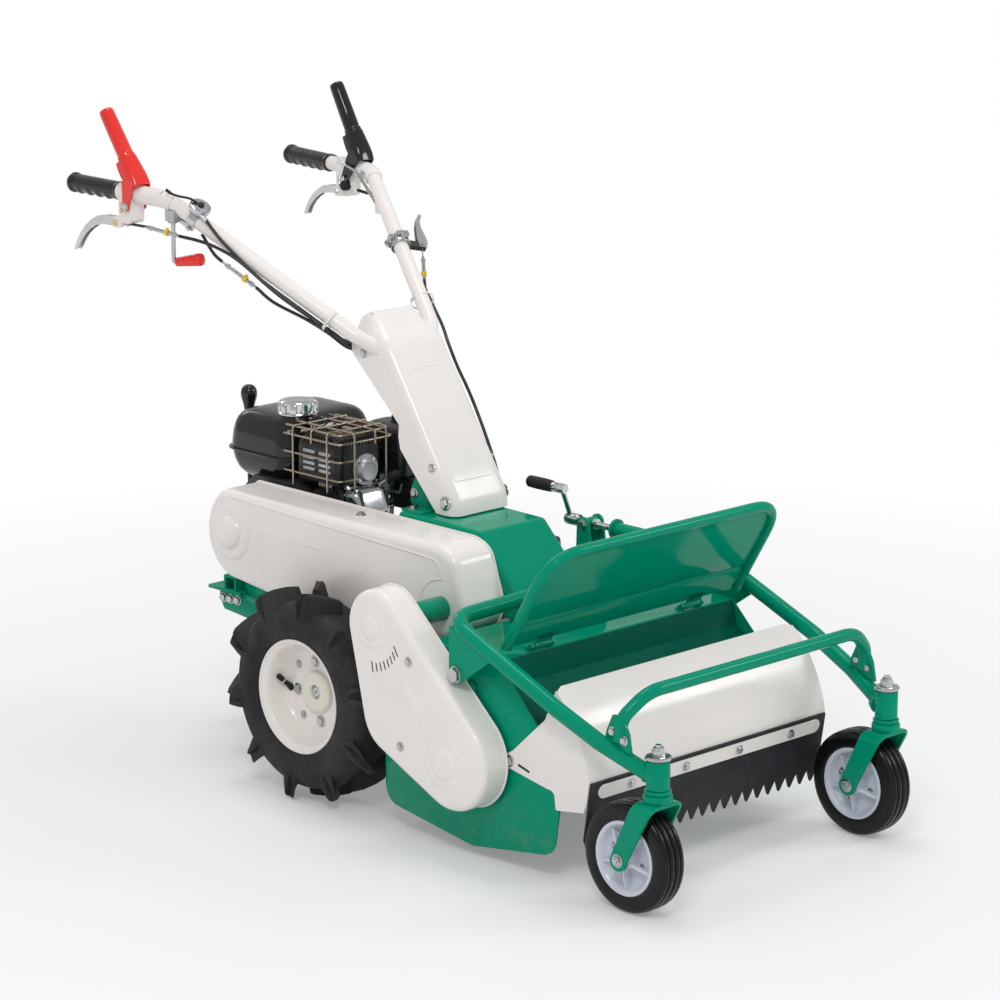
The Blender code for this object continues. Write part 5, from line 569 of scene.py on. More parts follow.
def drive_wheel(side):
    name = SIDES[side]
    body = "drive_wheel_" + name
    centre = side * WHEEL_X
    axle = (centre, 0, TYRE_RADIUS)
    half = [(0.0, 0.1668), (0.016, 0.1665), (0.03, 0.164), (0.04, 0.1585), (0.0462, 0.15), (0.0492, 0.14),
        (0.0498, 0.13), (0.0488, 0.121), (0.0484, 0.12), (0.0484, 0.118), (0.0474, 0.116), (0.0455, 0.111),
        (0.0448, 0.1085), (0.0452, 0.107), (0.044, 0.105), (0.0415, 0.102), (0.04, 0.1)]
    profile = [(-a, r) for a, r in reversed(half[1:])] + half
    shapes = [lathe(profile, axle, "x", 96, True)]
    pitch = 2 * pi / LUGS
    for index in range(LUGS):
        for hand in (side, -side):
            shift = 0.44 if hand == side else 0.94
            shapes.append(lug(hand, pitch * (index + shift), centre))
    for hand in SIDES:
        for index in range(20):
            turn = pitch * (index / 2 + 0.43)
            foot = Vector((centre + hand * 0.0484, 0.119 * sin(turn), TYRE_RADIUS + 0.119 * cos(turn)))
            tip = foot + Vector((hand * 0.0022, 0, 0))
            shapes.append(tube([foot, tip], [0.0011, 0.0004], 6))
    piece("lug_tyre_" + name, shapes, TYRE, body, replaces="drive_tyre_" + name, angle=38)

    def out(profile):
        return [(side * along, radius) for along, radius in profile]

    rim = lathe(out([(-0.007, 0.03), (-0.007, 0.069), (-0.0062, 0.0735), (-0.003, 0.078), (0.004, 0.0822),
        (0.014, 0.085), (0.026, 0.0872), (0.033, 0.0885), (0.037, 0.0915), (0.04, 0.096), (0.0425, 0.0985),
        (0.0432, 0.0975), (0.044, 0.0995), (0.0425, 0.1012), (0.0395, 0.101), (0.038, 0.099),
        (-0.038, 0.099), (-0.04, 0.101), (-0.0428, 0.101), (-0.0435, 0.0995), (-0.04, 0.095),
        (-0.036, 0.09), (-0.025, 0.088), (-0.013, 0.086), (-0.013, 0.03)]), axle, "x", 96, True)
    flange = lathe(out([(-0.013, 0.0), (-0.013, 0.04), (-0.018, 0.04), (-0.024, 0.026), (-0.0295, 0.021),
        (-0.0295, 0.0)]), axle, "x", 48)
    piece("rim_" + name, [rim, flange], IVORY, body, replaces="drive_rim_" + name, angle=50)
    hub = lathe(out([(-0.0075, 0.0366), (-0.0055, 0.0371), (0.0005, 0.0358), (0.002, 0.0343),
        (0.0025, 0.0328), (0.0025, 0.0135), (0.0012, 0.0125), (-0.006, 0.0125)]), axle, "x", 64)
    piece("hub_disc_" + name, hub, CREAM, body)
    shaft = [lathe(out([(-0.006, 0.0125), (-0.0058, 0.0095), (-0.002, 0.0092), (-0.0012, 0.0084),
        (-0.0012, 0.0028), (-0.003, 0.0022), (-0.003, 0)]), axle, "x", 32)]
    nut_at = (centre + side * -0.0062, 0, TYRE_RADIUS)
    shaft.append(bolt(nut_at, (side, 0, 0), 0.012, 0.003))
    shaft.append(disc(side * -0.029, side * -0.088, 0.0125, axle, "x", 32))
    fittings("axle_end_" + name, shaft, body)
    bolts = []
    for index in range(4):
        for radius, size, shift in ((0.053, 0.0078, 0.0), (0.0635, 0.0052, pi / 4)):
            turn = index * pi / 2 + shift - 0.12
            at = (centre + side * -0.007, radius * cos(turn), TYRE_RADIUS + radius * sin(turn))
            bolts.append(bolt(at, (side, 0, 0), size, size * 0.75, size * 1.35))
    fittings("wheel_bolts_" + name, bolts, body)
    root = Vector((centre - side * 0.0078, 0.071, 0.1815))
    tip = Vector((centre + side * 0.02, 0.076, 0.208))
    stem = tube([root, root.lerp(tip, 0.15), root.lerp(tip, 0.3), root.lerp(tip, 0.62)],
        [0.0062, 0.0058, 0.0046, 0.0042], 16)
    cap = tube([root.lerp(tip, 0.66), root.lerp(tip, 0.7), root.lerp(tip, 0.97), tip],
        [0.0044, 0.005, 0.005, 0.004], 16)
    piece("valve_" + name, [stem, cap], SOFT_BLACK, body)
    ring = tube([root.lerp(tip, 0.58), root.lerp(tip, 0.68)], 0.0046, 16)
    piece("valve_thread_" + name, ring, YELLOW_ZINC, body)


# Casters

CASTER_X = 0.276
CASTER_RADIUS = 0.0915
STEM_Y = -0.833
CASTER_Y = -0.783
CROWN_Z = 0.193


def fork_strap(x):
    """A flat strap bent over the wheel, from one axle foot over the crown to the other."""
    inner = 0.0325
    thick = 0.006
    middle = inner + thick / 2
    bend = 0.014
    path = []
    foot = 0.018
    for step in range(7):
        turn = radians(90 - 15 * step)
        path.append((middle, CASTER_RADIUS - foot * sin(turn), foot * max(cos(turn), 0.12)))
    top = CROWN_Z - thick / 2
    for step in range(1, 6):
        path.append((middle, CASTER_RADIUS + (top - bend - CASTER_RADIUS) * step / 5, None))
    for step in range(1, 8):
        turn = radians(90 * step / 7)
        path.append((middle - bend + bend * cos(turn), top - bend + bend * sin(turn), None))
    whole = path + [(-px, pz, hw) for px, pz, hw in path[::-1]]
    bm = bmesh.new()
    rings = []
    for i, (px, pz, hw) in enumerate(whole):
        before = whole[max(i - 1, 0)]
        after = whole[min(i + 1, len(whole) - 1)]
        along = Vector((after[0] - before[0], 0, after[1] - before[1])).normalized()
        normal = Vector((-along.z, 0, along.x))
        share = max(0.0, min(1.0, (pz - CASTER_RADIUS) / (top - CASTER_RADIUS)))
        mid_y = CASTER_Y + (STEM_Y - CASTER_Y) * share
        half_y = foot + (0.0215 - foot) * share if hw is None else hw
        centre = Vector((x + px, mid_y, pz))
        rings.append([bm.verts.new(centre + normal * n * thick / 2 + Vector((0, half_y * s, 0)))
            for n, s in ((-1, -1), (-1, 1), (1, 1), (1, -1))])
    return skin(bm, rings)


def caster(side):
    name = SIDES[side]
    x = side * CASTER_X
    swivel = "caster_" + name
    wheel = "caster_wheel_" + name
    centre = (x, CASTER_Y, CASTER_RADIUS)
    piece("fork_" + name, fork_strap(x), GREEN, swivel, replaces="caster_fork_" + name, width=0.0012,
        angle=50)
    collar = lathe([(0.1925, 0.01), (0.1925, 0.0225), (0.1945, 0.024), (0.203, 0.024), (0.205, 0.0225),
        (0.2055, 0.02), (0.2065, 0.02), (0.2075, 0.0215), (0.21, 0.0222), (0.2122, 0.0215), (0.213, 0.0195),
        (0.213, 0.01)], (x, STEM_Y, 0), "z", 48, True)
    piece("stem_collar_" + name, collar, GREEN, swivel, angle=60)
    stem = disc(0.188, 0.264, 0.0098, (x, STEM_Y, 0), "z", 24)
    nut = [stem, lathe([(0.2628, 0), (0.2628, 0.0188), (0.2634, 0.0212), (0.2646, 0.0218), (0.2672, 0.0214),
        (0.2688, 0.0196), (0.2694, 0.016), (0.2696, 0)], (x, STEM_Y, 0), "z", 48),
        lathe([(0.2694, 0), (0.2694, 0.0128), (0.2706, 0.013), (0.271, 0.012), (0.271, 0)], (x, STEM_Y, 0),
        "z", 40), bolt((x, STEM_Y, 0.2708), (0, 0, 1), 0.0112, 0.0088),
        lathe([(0.279, 0), (0.279, 0.0088), (0.2818, 0.0084), (0.2826, 0.0076), (0.2828, 0.0052),
        (0.2862, 0.005), (0.2868, 0.0042), (0.287, 0)], (x, STEM_Y, 0), "z", 28),
        tube([(x - 0.01, STEM_Y, 0.2815), (x + 0.01, STEM_Y, 0.2815)], 0.0012, 10)]
    piece("stem_nut_" + name, nut, ZINC, swivel, angle=32)
    axle = [disc(-0.0385, 0.0385, 0.0056, centre, "x", 20)]
    for hand in SIDES:
        at = (x + hand * 0.0385, CASTER_Y, CASTER_RADIUS)
        axle.append(bolt(at, (hand, 0, 0), 0.0092, 0.0055, 0.0115))
        axle.append(lathe([(hand * 0.0435, 0), (hand * 0.0435, 0.0045), (hand * 0.0458, 0.0042),
            (hand * 0.0464, 0)], centre, "x", 20))
    fittings("caster_axle_" + name, axle, swivel)
    profile = [(0.0232, 0.06), (0.0243, 0.064), (0.025, 0.069), (0.0252, 0.0745), (0.0247, 0.08),
        (0.0236, 0.0846), (0.0217, 0.0879), (0.019, 0.0898), (0.0156, 0.0906), (0.0134, 0.0902),
        (0.0124, 0.089), (0.0121, 0.0868), (0.0109, 0.0868), (0.0106, 0.0893), (0.0096, 0.0907),
        (0.0068, 0.0914), (0.0034, 0.0912), (0.0012, 0.09), (0.0006, 0.087)]
    whole = profile + [(-a, r) for a, r in reversed(profile)]
    piece("caster_tread_" + name, lathe(whole, centre, "x", 96, True), CASTER_RUBBER, wheel,
        replaces="caster_tyre_" + name, angle=34)
    shapes = [lathe([(-0.024, 0.055), (-0.0252, 0.057), (-0.0252, 0.061), (-0.0225, 0.0626),
        (0.0225, 0.0626), (0.0252, 0.061), (0.0252, 0.057), (0.024, 0.055), (0.017, 0.052), (0.011, 0.048),
        (0.0095, 0.044), (0.0095, 0.02), (0.024, 0.0165), (0.03, 0.015), (0.031, 0.014), (0.031, 0.0068),
        (-0.031, 0.0068), (-0.031, 0.014), (-0.03, 0.015), (-0.024, 0.0165), (-0.0095, 0.02),
        (-0.0095, 0.044), (-0.011, 0.048), (-0.017, 0.052)], centre, "x", 72, True)]
    fixings = []
    for hand in SIDES:
        for index in range(5):
            turn = Matrix.Translation(centre) @ Matrix.Rotation(pi * 0.4 * (index + 0.5), 4, "X")
            rib = plate([(hand * 0.009, 0.015), (hand * 0.0285, 0.015), (hand * 0.019, 0.052),
                (hand * 0.009, 0.052)], -0.0024, 0.0024, "y")
            shapes.append(moved(rib, turn))
        for index in range(4):
            turn = pi / 2 * index + 0.35
            at = (x + hand * 0.0095, CASTER_Y + 0.033 * cos(turn), CASTER_RADIUS + 0.033 * sin(turn))
            shapes.append(disc(hand * 0.009, hand * 0.0125, 0.0092, (x, at[1], at[2]), "x", 20, 0.0085))
            fixings.append(bolt((x + hand * 0.0125, at[1], at[2]), (hand, 0, 0), 0.0062, 0.0048, 0.0078))
            fixings.append(lathe([(hand * 0.017, 0), (hand * 0.017, 0.003), (hand * 0.0205, 0.0028),
                (hand * 0.0208, 0)], (x, at[1], at[2]), "x", 12))
    piece("caster_wheel_hub_" + name, shapes, HUB, wheel, replaces="caster_hub_" + name)
    fittings("hub_nuts_" + name, fixings, wheel)


for side in SIDES:
    drive_wheel(side)
    caster(side)


# Front frame with its guard bar

FRAME_X = 0.3124
FRAME_TUBE = 0.0136
CROSS_Y = -0.398
CROSS_Z = 0.418
KNEE = (-0.69, 0.292)
PIVOT = (-0.418, 0.322)
HEIGHT_X = 0.15
HEIGHT_Z = 0.468


def frame_half(side):
    x = side * FRAME_X
    return [(0, CROSS_Y, CROSS_Z), (x, CROSS_Y, CROSS_Z - 0.008), (x, KNEE[0] + 0.05, KNEE[1] + 0.0202),
        (side * 0.303, KNEE[0] - 0.042, KNEE[1] - 0.0195), (side * 0.279, STEM_Y + 0.01, 0.234)]


def front_frame():
    left = frame_half(LEFT)
    right = frame_half(RIGHT)
    run = bent(right[::-1] + left[1:], 0.048, 10)
    shapes = [tube(run, FRAME_TUBE, 28)]
    for side in SIDES:
        x = side * CASTER_X
        shapes.append(lathe([(0.2135, 0.0103), (0.2135, 0.018), (0.2145, 0.0192), (0.2605, 0.0192),
            (0.2615, 0.0182), (0.2615, 0.0103)], (x, STEM_Y, 0), "z", 48, True))
        slope = 0.118 / 0.292
        tip = (PIVOT[0] - 0.09, CROSS_Z - 0.008 + slope * (PIVOT[0] - 0.09 - CROSS_Y))
        outline = hull([(CROSS_Y - 0.004, CROSS_Z - 0.016), tip] + circle(PIVOT, 0.0162, 32))
        outer = side * (FRAME_X + 0.0082)
        shapes.append(plate(outline, outer - side * 0.0052, outer))
        start = HEIGHT_X + side * 0.0135
        ear = hull([(CROSS_Y - 0.012, CROSS_Z), (CROSS_Y + 0.012, CROSS_Z)] + circle((CROSS_Y, HEIGHT_Z),
            0.012, 28))
        shapes.append(plate(ear, start, start + side * 0.005))
        bead = [(x - side * 0.002, STEM_Y + 0.0192 * 0.75, 0.233),
            (x + side * 0.004, STEM_Y + 0.026, 0.235)]
        shapes.append(tube(bead, [0.0152, 0.0138], 24))
    piece("frame_tube", shapes, GREEN, "front_frame", replaces="front_frame", width=0.0007, angle=50)
    pin = [disc(HEIGHT_X - 0.0195, HEIGHT_X + 0.0195, 0.005, (0, CROSS_Y, HEIGHT_Z), "x", 20)]
    pin += [bolt((HEIGHT_X + hand * 0.0185, CROSS_Y, HEIGHT_Z), (hand, 0, 0), 0.008, 0.005, 0.0095)
        for hand in SIDES]
    fittings("height_pin", pin, "front_frame")
    bolts = []
    for side in SIDES:
        at = Vector((side * (FRAME_X + 0.0085), PIVOT[0], PIVOT[1]))
        bolts.append(disc(0, side * 0.0084, 0.0132, at, "x", 6, 0.013))
        bolts.append(disc(0, side * 0.0014, 0.0142, at, "x", 32))
        bolts.append(disc(side * 0.008, side * 0.0087, 0.006, at, "x", 24, 0.0052))
    fittings("pivot_bolts", bolts)


def guard_bar():
    foot_y = -0.765
    run = STEM_Y + 0.01 - KNEE[0]
    fall = 0.24 - KNEE[1]
    slope = fall / run
    share = (foot_y - KNEE[0]) / run
    tube_x = FRAME_X + share * (0.28 - FRAME_X)
    foot_z = KNEE[1] + share * fall + FRAME_TUBE + 0.0012
    corner_z = foot_z + 0.04
    path = []
    for side in SIDES:
        half = [(side * tube_x, -0.767, foot_z + 0.004), (side * tube_x, -0.769, corner_z),
            (side * 0.25, -0.784, 0.356)]
        path += half if side == RIGHT else half[::-1]
    shapes = [tube(bent(path, 0.072, 12), 0.0111, 28)]
    bolts = []
    for side in SIDES:
        x = side * tube_x
        outline = [(-0.793, foot_z - 0.004 - 0.026 * slope), (-0.737, foot_z - 0.004 + 0.026 * slope),
            (-0.74, foot_z + 0.018), (-0.747, corner_z - 0.008), (-0.752, corner_z + 0.004),
            (-0.766, corner_z + 0.006), (-0.778, corner_z - 0.004), (-0.787, foot_z + 0.018)]
        shapes.append(plate(outline, x - 0.0032, x + 0.0032))
        for step in (-0.0135, 0.011):
            at = (x + side * 0.003, foot_y + step, foot_z + 0.013 + step * slope)
            bolts.append(bolt(at, (side, 0, 0), 0.0064, 0.0052, 0.0088))
            bolts.append(bolt((x - side * 0.003, at[1], at[2]), (-side, 0, 0), 0.0062, 0.0045))
    piece("guard_tube", shapes, GREEN, "front_frame", replaces="guard_bar", width=0.0007, angle=50)
    fittings("guard_bolts", bolts, "front_frame")


def nut_tube():
    rear = CROSS_Y + 0.076
    shape = lathe([(0, 0.0087), (0, 0.0175), (-0.001, 0.0183), (-0.005, 0.0183), (-0.006, 0.0175),
        (-0.0065, 0.0127), (-0.0825, 0.0127), (-0.084, 0.0115), (-0.084, 0.0087)],
        (HEIGHT_X, rear, HEIGHT_Z), "y", 40, True)
    piece("nut_sleeve", shape, GREEN, "nut_tube", replaces="nut_tube", angle=35)


front_frame()
guard_bar()
nut_tube()


# Height screw and its crank

def height_crank():
    centre = Vector((HEIGHT_X, -0.205, HEIGHT_Z))
    reach = Vector((-sin(radians(22)), 0, cos(radians(22)))) * 0.062
    screw = [(-0.031, 0), (-0.031, 0.0058)]
    collar = -0.068
    screw += [(collar, 0.0058), (collar, 0.01), (collar - 0.005, 0.01), (collar - 0.005, 0.005)]
    along = collar - 0.007
    while along > -0.152:
        screw += [(along, 0.0049), (along - 0.0009, 0.0059), (along - 0.0018, 0.0059),
            (along - 0.0027, 0.0049)]
        along -= 0.0027
    screw += [(-0.154, 0.0045), (-0.155, 0.003), (-0.155, 0)]
    elbow = lathe([(0.0003, 0), (0.0003, 0.0088), (-0.001, 0.0102), (-0.0025, 0.0106), (-0.03, 0.0106),
        (-0.0312, 0.0098), (-0.0312, 0)], centre, "y", 36)
    arm = tube([centre + Vector((0, -0.01, 0)) + reach * s for s in (0.05, 0.5, 1.0)], 0.0046, 20)
    socket_at = centre + reach + Vector((0, -0.018, 0))
    socket = lathe([(0, 0), (0, 0.0078), (0.0014, 0.009), (0.028, 0.0091), (0.03, 0.0084), (0.0302, 0)],
        socket_at, "y", 32)
    shapes = [lathe(screw, centre, "y", 24), elbow, arm, socket]
    piece("crank_arm", shapes, CHROME, "height_screw", replaces="height_crank", angle=35)
    grip = [(0.03, 0), (0.03, 0.0086), (0.0312, 0.0096)]
    for step in range(22):
        along = 0.033 + step * 0.0025
        swell = 0.01 + 0.0006 * sin(pi * step / 21)
        grip += [(along, swell), (along + 0.0008, swell + 0.0004), (along + 0.0017, swell + 0.0004)]
    grip += [(0.0893, 0.0092), (0.09, 0.008), (0.0902, 0)]
    piece("crank_grip", lathe(grip, socket_at, "y", 32), SOFT_BLACK, "height_screw", angle=50)
    ends = [bolt((HEIGHT_X + side * 0.0195, -0.262, HEIGHT_Z), (side, 0, 0), 0.0088, 0.0048, 0.0105)
        for side in SIDES]
    fittings("bracket_bolts", ends)


height_crank()


# Lid

LID_X = 0.0075
LID_HINGE = (-0.476, 0.3585)
LID_PLACE = Matrix.Translation((LID_X, *LID_HINGE)) @ Matrix.Rotation(pi / 2 - radians(59), 4, "X")
HINGES = (-0.18, 0.18)


def lid():
    half = 0.2755
    top = 0.2125
    low = 0.014
    path = bent([(-half, 0, low), (-half, 0, top), (half, 0, top), (half, 0, low)], 0.07, 12)
    rim = tube(path, 0.0096, 24)
    inner = [(p.x, p.z) for p in path]
    bm = bmesh.new()
    creases = [(low, 0.0), (0.056, 0.0), (0.06, 0.0012), (0.064, 0.0034), (0.068, 0.0012), (0.072, 0.0),
        (0.11, 0.0), (0.16, 0.0), (0.19, 0.0), (0.2, 0.0), (0.206, 0.0), (0.211, 0.0), (top, 0.0)]

    def reach(z):
        """Half width of the sheet at a height."""
        if z < top - 0.07:
            return half
        for a, b in zip(inner, inner[1:]):
            if a[0] < 0 and a[1] <= z <= b[1] + 1e-9 and b[1] > a[1]:
                share = (z - a[1]) / (b[1] - a[1])
                return -(a[0] + (b[0] - a[0]) * share)
        return half - 0.07
    columns = 24
    low_edges = []
    for front in (1, -1):
        rows = []
        for z, bulge in creases:
            wide = reach(z)
            rows.append([bm.verts.new((-wide + 2 * wide * i / columns, front * 0.001 + bulge, z))
                for i in range(columns + 1)])
        grid(bm, rows)
        low_edges.append(rows[0])
    ahead, behind = low_edges
    for corners in zip(ahead, behind, behind[1:], ahead[1:]):
        bm.faces.new(corners)
    shapes = [rim, bm]
    for centre in HINGES:
        middle = centre - LID_X
        shapes.append(plate([(-0.001, 0.004), (0.001, 0.004), (0.001, 0.026), (-0.001, 0.026)],
            middle - 0.018, middle + 0.018))
        shapes.append(hoop(-0.018, 0.018, 0.0034, 0.006, (middle, 0, 0), "x", 28))
    piece("hood_sheet", shapes, GREEN, "lid", place=LID_PLACE, replaces="lid")
    pins = [bolt((centre + hand * 0.0232, *LID_HINGE), (hand, 0, 0), 0.0052, 0.0036) for centre in HINGES
        for hand in SIDES]
    piece("hinge_pin_ends", pins, GREEN, angle=35)


lid()


# Front cover with its flap

COVER_HALF = 0.2853
COVER_BOLT = (-0.509, 0.188)
COVER_FOOT = (-0.691, 0.194)
FLAP_LEAN = radians(9)
LEAF = Matrix.Translation((0, *COVER_FOOT)) @ Matrix.Rotation(FLAP_LEAN, 4, "X")


def front_cover():
    start = Vector((-0.61, 0.333))
    end = Vector(COVER_FOOT)
    along = (end - start).normalized()
    ahead = Vector((along.y, -along.x))
    line = [start + Vector((0.0035, -0.006)), start + Vector((0.0012, -0.0016))]
    for step in range(25):
        share = step / 24
        line.append(start.lerp(end, share) + ahead * 0.014 * 4 * share * (1 - share))
    lean = Vector((sin(FLAP_LEAN), -cos(FLAP_LEAN)))
    corner = 0.016
    line += [end + lean * 0.016, end + lean * 0.032, end + lean * 0.048]

    def reach(index):
        """The ends of the top edge are rounded off."""
        drop = (start - line[index]).length if index > 1 else 0.0
        if drop < corner:
            return COVER_HALF - corner + sqrt(max(0.0, corner ** 2 - (corner - drop) ** 2))
        return COVER_HALF

    shapes = [folded(line, [reach(index) for index in range(len(line))], [i / 20 - 1 for i in range(41)],
        -0.002, 0.0004)]
    side_line = [(-0.59, 0.275), (-0.5165, 0.2075), (-0.506, 0.201), (-0.4985, 0.1955), (-0.4965, 0.188),
        (-0.4985, 0.18), (-0.505, 0.1752), (-0.594, 0.16), (-0.6045, 0.159), (-0.611, 0.155),
        (-0.6125, 0.149), (-0.615, 0.13), (-0.618, 0.1285), (-0.679, 0.138)]
    edge = [(p.x + 0.0014, p.y) for p in line[::-1]][1:-3]
    for side in SIDES:
        outer = side * COVER_HALF
        shapes.append(plate(side_line + edge, outer - side * 0.002, outer - side * 0.00005))
    piece("front_sheet", shapes, IVORY, replaces="front_cover", width=0.0004, angle=50)
    screws = [bolt((side * (COVER_HALF + 0.0002), *COVER_BOLT), (side, 0, 0), 0.0078, 0.005, 0.01)
        for side in SIDES]
    fittings("cover_bolts", screws)
    washers = []
    for side in SIDES:
        rim = side * (COVER_HALF + 0.0012)
        washers.append(lathe([(side * COVER_HALF, 0.0105), (rim, 0.0105), (rim, 0.013),
            (side * COVER_HALF, 0.0135)], (0, *COVER_BOLT), "x", 28, True))
    piece("cover_washers", washers, IVORY)

    teeth = 21
    half = 0.283
    pitch = 2 * half / teeth
    outline = [(-half, -0.0036), (half, -0.0036)]
    for index in range(teeth):
        right = half - index * pitch
        outline += [(right, -0.1052), (right - pitch * 0.06, -0.1066), (right - pitch * 0.43, -0.1268),
            (right - pitch * 0.47, -0.128), (right - pitch * 0.53, -0.128), (right - pitch * 0.57, -0.1268),
            (right - pitch * 0.94, -0.1066)]
    outline.append((-half, -0.1052))
    flap = moved(plate(outline, -0.0043, -0.0003, "y"), LEAF)
    piece("toothed_flap", flap, FLAP, replaces="rubber_flap", width=0.0004)
    strip_half = 0.267
    face = -0.0046
    ends = arc((strip_half - 0.012, -0.021), 0.012, -90, 90, 14)
    ends += [(-a, b) for a, b in ends[::-1]]
    strip = moved(plate(ends, face - 0.003, face, "y"), LEAF)
    piece("clamp_strip", strip, IVORY, replaces="flap_clamp", width=0.0006)
    bolts = []
    for index in range(4):
        x = (2 * (index + 0.5) / 4 - 1) * 0.257
        bolts.append(moved(bolt((x, face - 0.003, -0.021), (0, -1, 0), 0.0062, 0.005, 0.0082), LEAF))
    fittings("clamp_bolts", bolts)


front_cover()


# Belt covers and the handle column

def outward(outline, reach):
    """Each point of a closed, nearly round outline moved out by a distance."""
    out = []
    count = len(outline)
    area = sum(a[0] * b[1] - b[0] * a[1] for a, b in zip(outline, outline[1:] + outline[:1]))
    hand = 1 if area > 0 else -1
    for i in range(count):
        before = Vector(outline[i - 1])
        here = Vector(outline[i])
        after = Vector(outline[(i + 1) % count])
        first = (here - before).normalized()
        second = (after - here).normalized()
        normal = Vector((first.y + second.y, -first.x - second.x)).normalized() * hand
        share = max(0.5, normal.dot(Vector((second.y, -second.x)) * hand))
        out.append(tuple(here + normal * reach / share))
    return out


def eased(outline, radius, steps=8):
    """A closed outline with its corners rounded."""
    count = len(outline)
    closed = [Vector((*outline[i % count], 0)) for i in range(-1, count + 1)]
    run = bent(closed, radius, steps)[1:-1]
    points = []
    for p in run:
        if not points or (Vector(points[-1]) - p.to_2d()).length > 0.0006:
            points.append((p.x, p.y))
    if (Vector(points[0]) - Vector(points[-1])).length < 0.0006:
        points.pop()
    return points


def pressed(outline, back, face, radius, steps=7, wall=0.0):
    """A cover drawn from sheet: side walls from back to face, and a round edge between wall and face."""
    side = 1 if face > back else -1
    levels = [(back, 0.0)]
    for step in range(steps + 1):
        turn = radians(90) * step / steps
        levels.append((face - side * radius * (1 - sin(turn)), -radius * (1 - cos(turn))))
    bm = bmesh.new()
    rings = [[bm.verts.new((x, y, z)) for y, z in outward(outline, inset)] for x, inset in levels]
    if not wall:
        return skin(bm, rings)
    inner = [(x - side * wall if inset < -radius * 0.5 else x, inset - wall) for x, inset in levels]
    inner[-1] = (levels[-1][0] - side * wall, levels[-1][1] - wall)
    inner_rings = [[bm.verts.new((x, y, z)) for y, z in outward(outline, inset)]
        for x, inset in inner[::-1]]
    bm.faces.new(rings[-1])
    bm.faces.new(inner_rings[0])
    for run in (rings, inner_rings, (rings[0], inner_rings[-1])):
        skin(bm, run, False)
    return bm


def boss(y, z, face, steps):
    """Round steps pressed out of a face that looks to the machine's right."""
    profile = [(0.0015, steps[0][0])]
    level = 0.0
    for radius, height, ease in steps:
        for turn in (0, 25, 50, 75, 90):
            t = radians(turn)
            profile.append((-level - height + height * (1 - sin(t)),
                radius - ease * (1 - cos(t)) - ease * 0.4 * turn / 90))
        level += height
    profile.append((-level - 0.0003, 0.004))
    profile.append((-level - 0.0003, 0))
    return lathe(profile, (face, y, z), "x", 64)


def ridge(points, face, radius, height):
    """A low rounded ridge on a face that looks to the machine's right."""
    return tube([(face + radius - height, y, z) for y, z in points], radius, 10)


def pill(start, end, radius, steps=10):
    """The outline of a slot with round ends."""
    start, end = Vector(start), Vector(end)
    along = degrees(atan2(end.y - start.y, end.x - start.x))
    return arc(end, radius, along - 90, along + 90, steps) + arc(start, radius, along + 90, along + 270,
        steps)


COLUMN_HALF = 0.0696
ROTOR_COVER_BOLTS = ((-0.331, 0.33), (-0.31, 0.18))
CRANKSHAFT = (0.307, 0.409)


def belt_case():
    rear = arc((0.29, 0.405), 0.088, -70, 62, 24)
    front = arc((-0.246, 0.379), 0.056, 168, 262, 10)
    shoulder = [(-0.236, 0.482), (-0.272, 0.47)]
    belly = [(0.13, 0.302), (-0.18, 0.302)]
    outline = eased(hull(rear + front + shoulder + belly), 0.04, 6)
    back = -0.0983
    face = -0.19
    shapes = [pressed(outline, back, face, 0.016, 8, 0.003)]
    shapes.append(boss(*CRANKSHAFT, face, [(0.052, 0.004, 0.007), (0.031, 0.0115, 0.015)]))
    panel = eased([(0.223, 0.333), (0.223, 0.422), (0.043, 0.422), (0.043, 0.308)], 0.01, 6)
    shapes.append(ridge(panel + panel[:2], face, 0.0026, 0.0009))
    line = bent([(0, 0.3, 0.474), (0, 0.1, 0.4665), (0, -0.18, 0.459), (0, -0.232, 0.456),
        (0, -0.243, 0.44), (0, -0.24, 0.425)], 0.018, 6)
    hook = [(p.y, p.z) for p in line[:-1]] + arc((-0.246, 0.368), 0.057, 92, 10, 14)
    shapes.append(ridge(hook, face, 0.0034, 0.0012))
    lip = bent([(back - 0.0022, y, z) for y, z in outward(outline, 0.0012)], 0.001, 1)
    shapes.append(tube(lip + lip[:1], 0.0018, 8))
    piece("case_shell", shapes, IVORY, replaces="belt_case", angle=34)
    fittings("case_bolts", bolt((-0.1365, 0.016, 0.4818), (0, 0, 1), 0.0068, 0.0056, 0.0092))


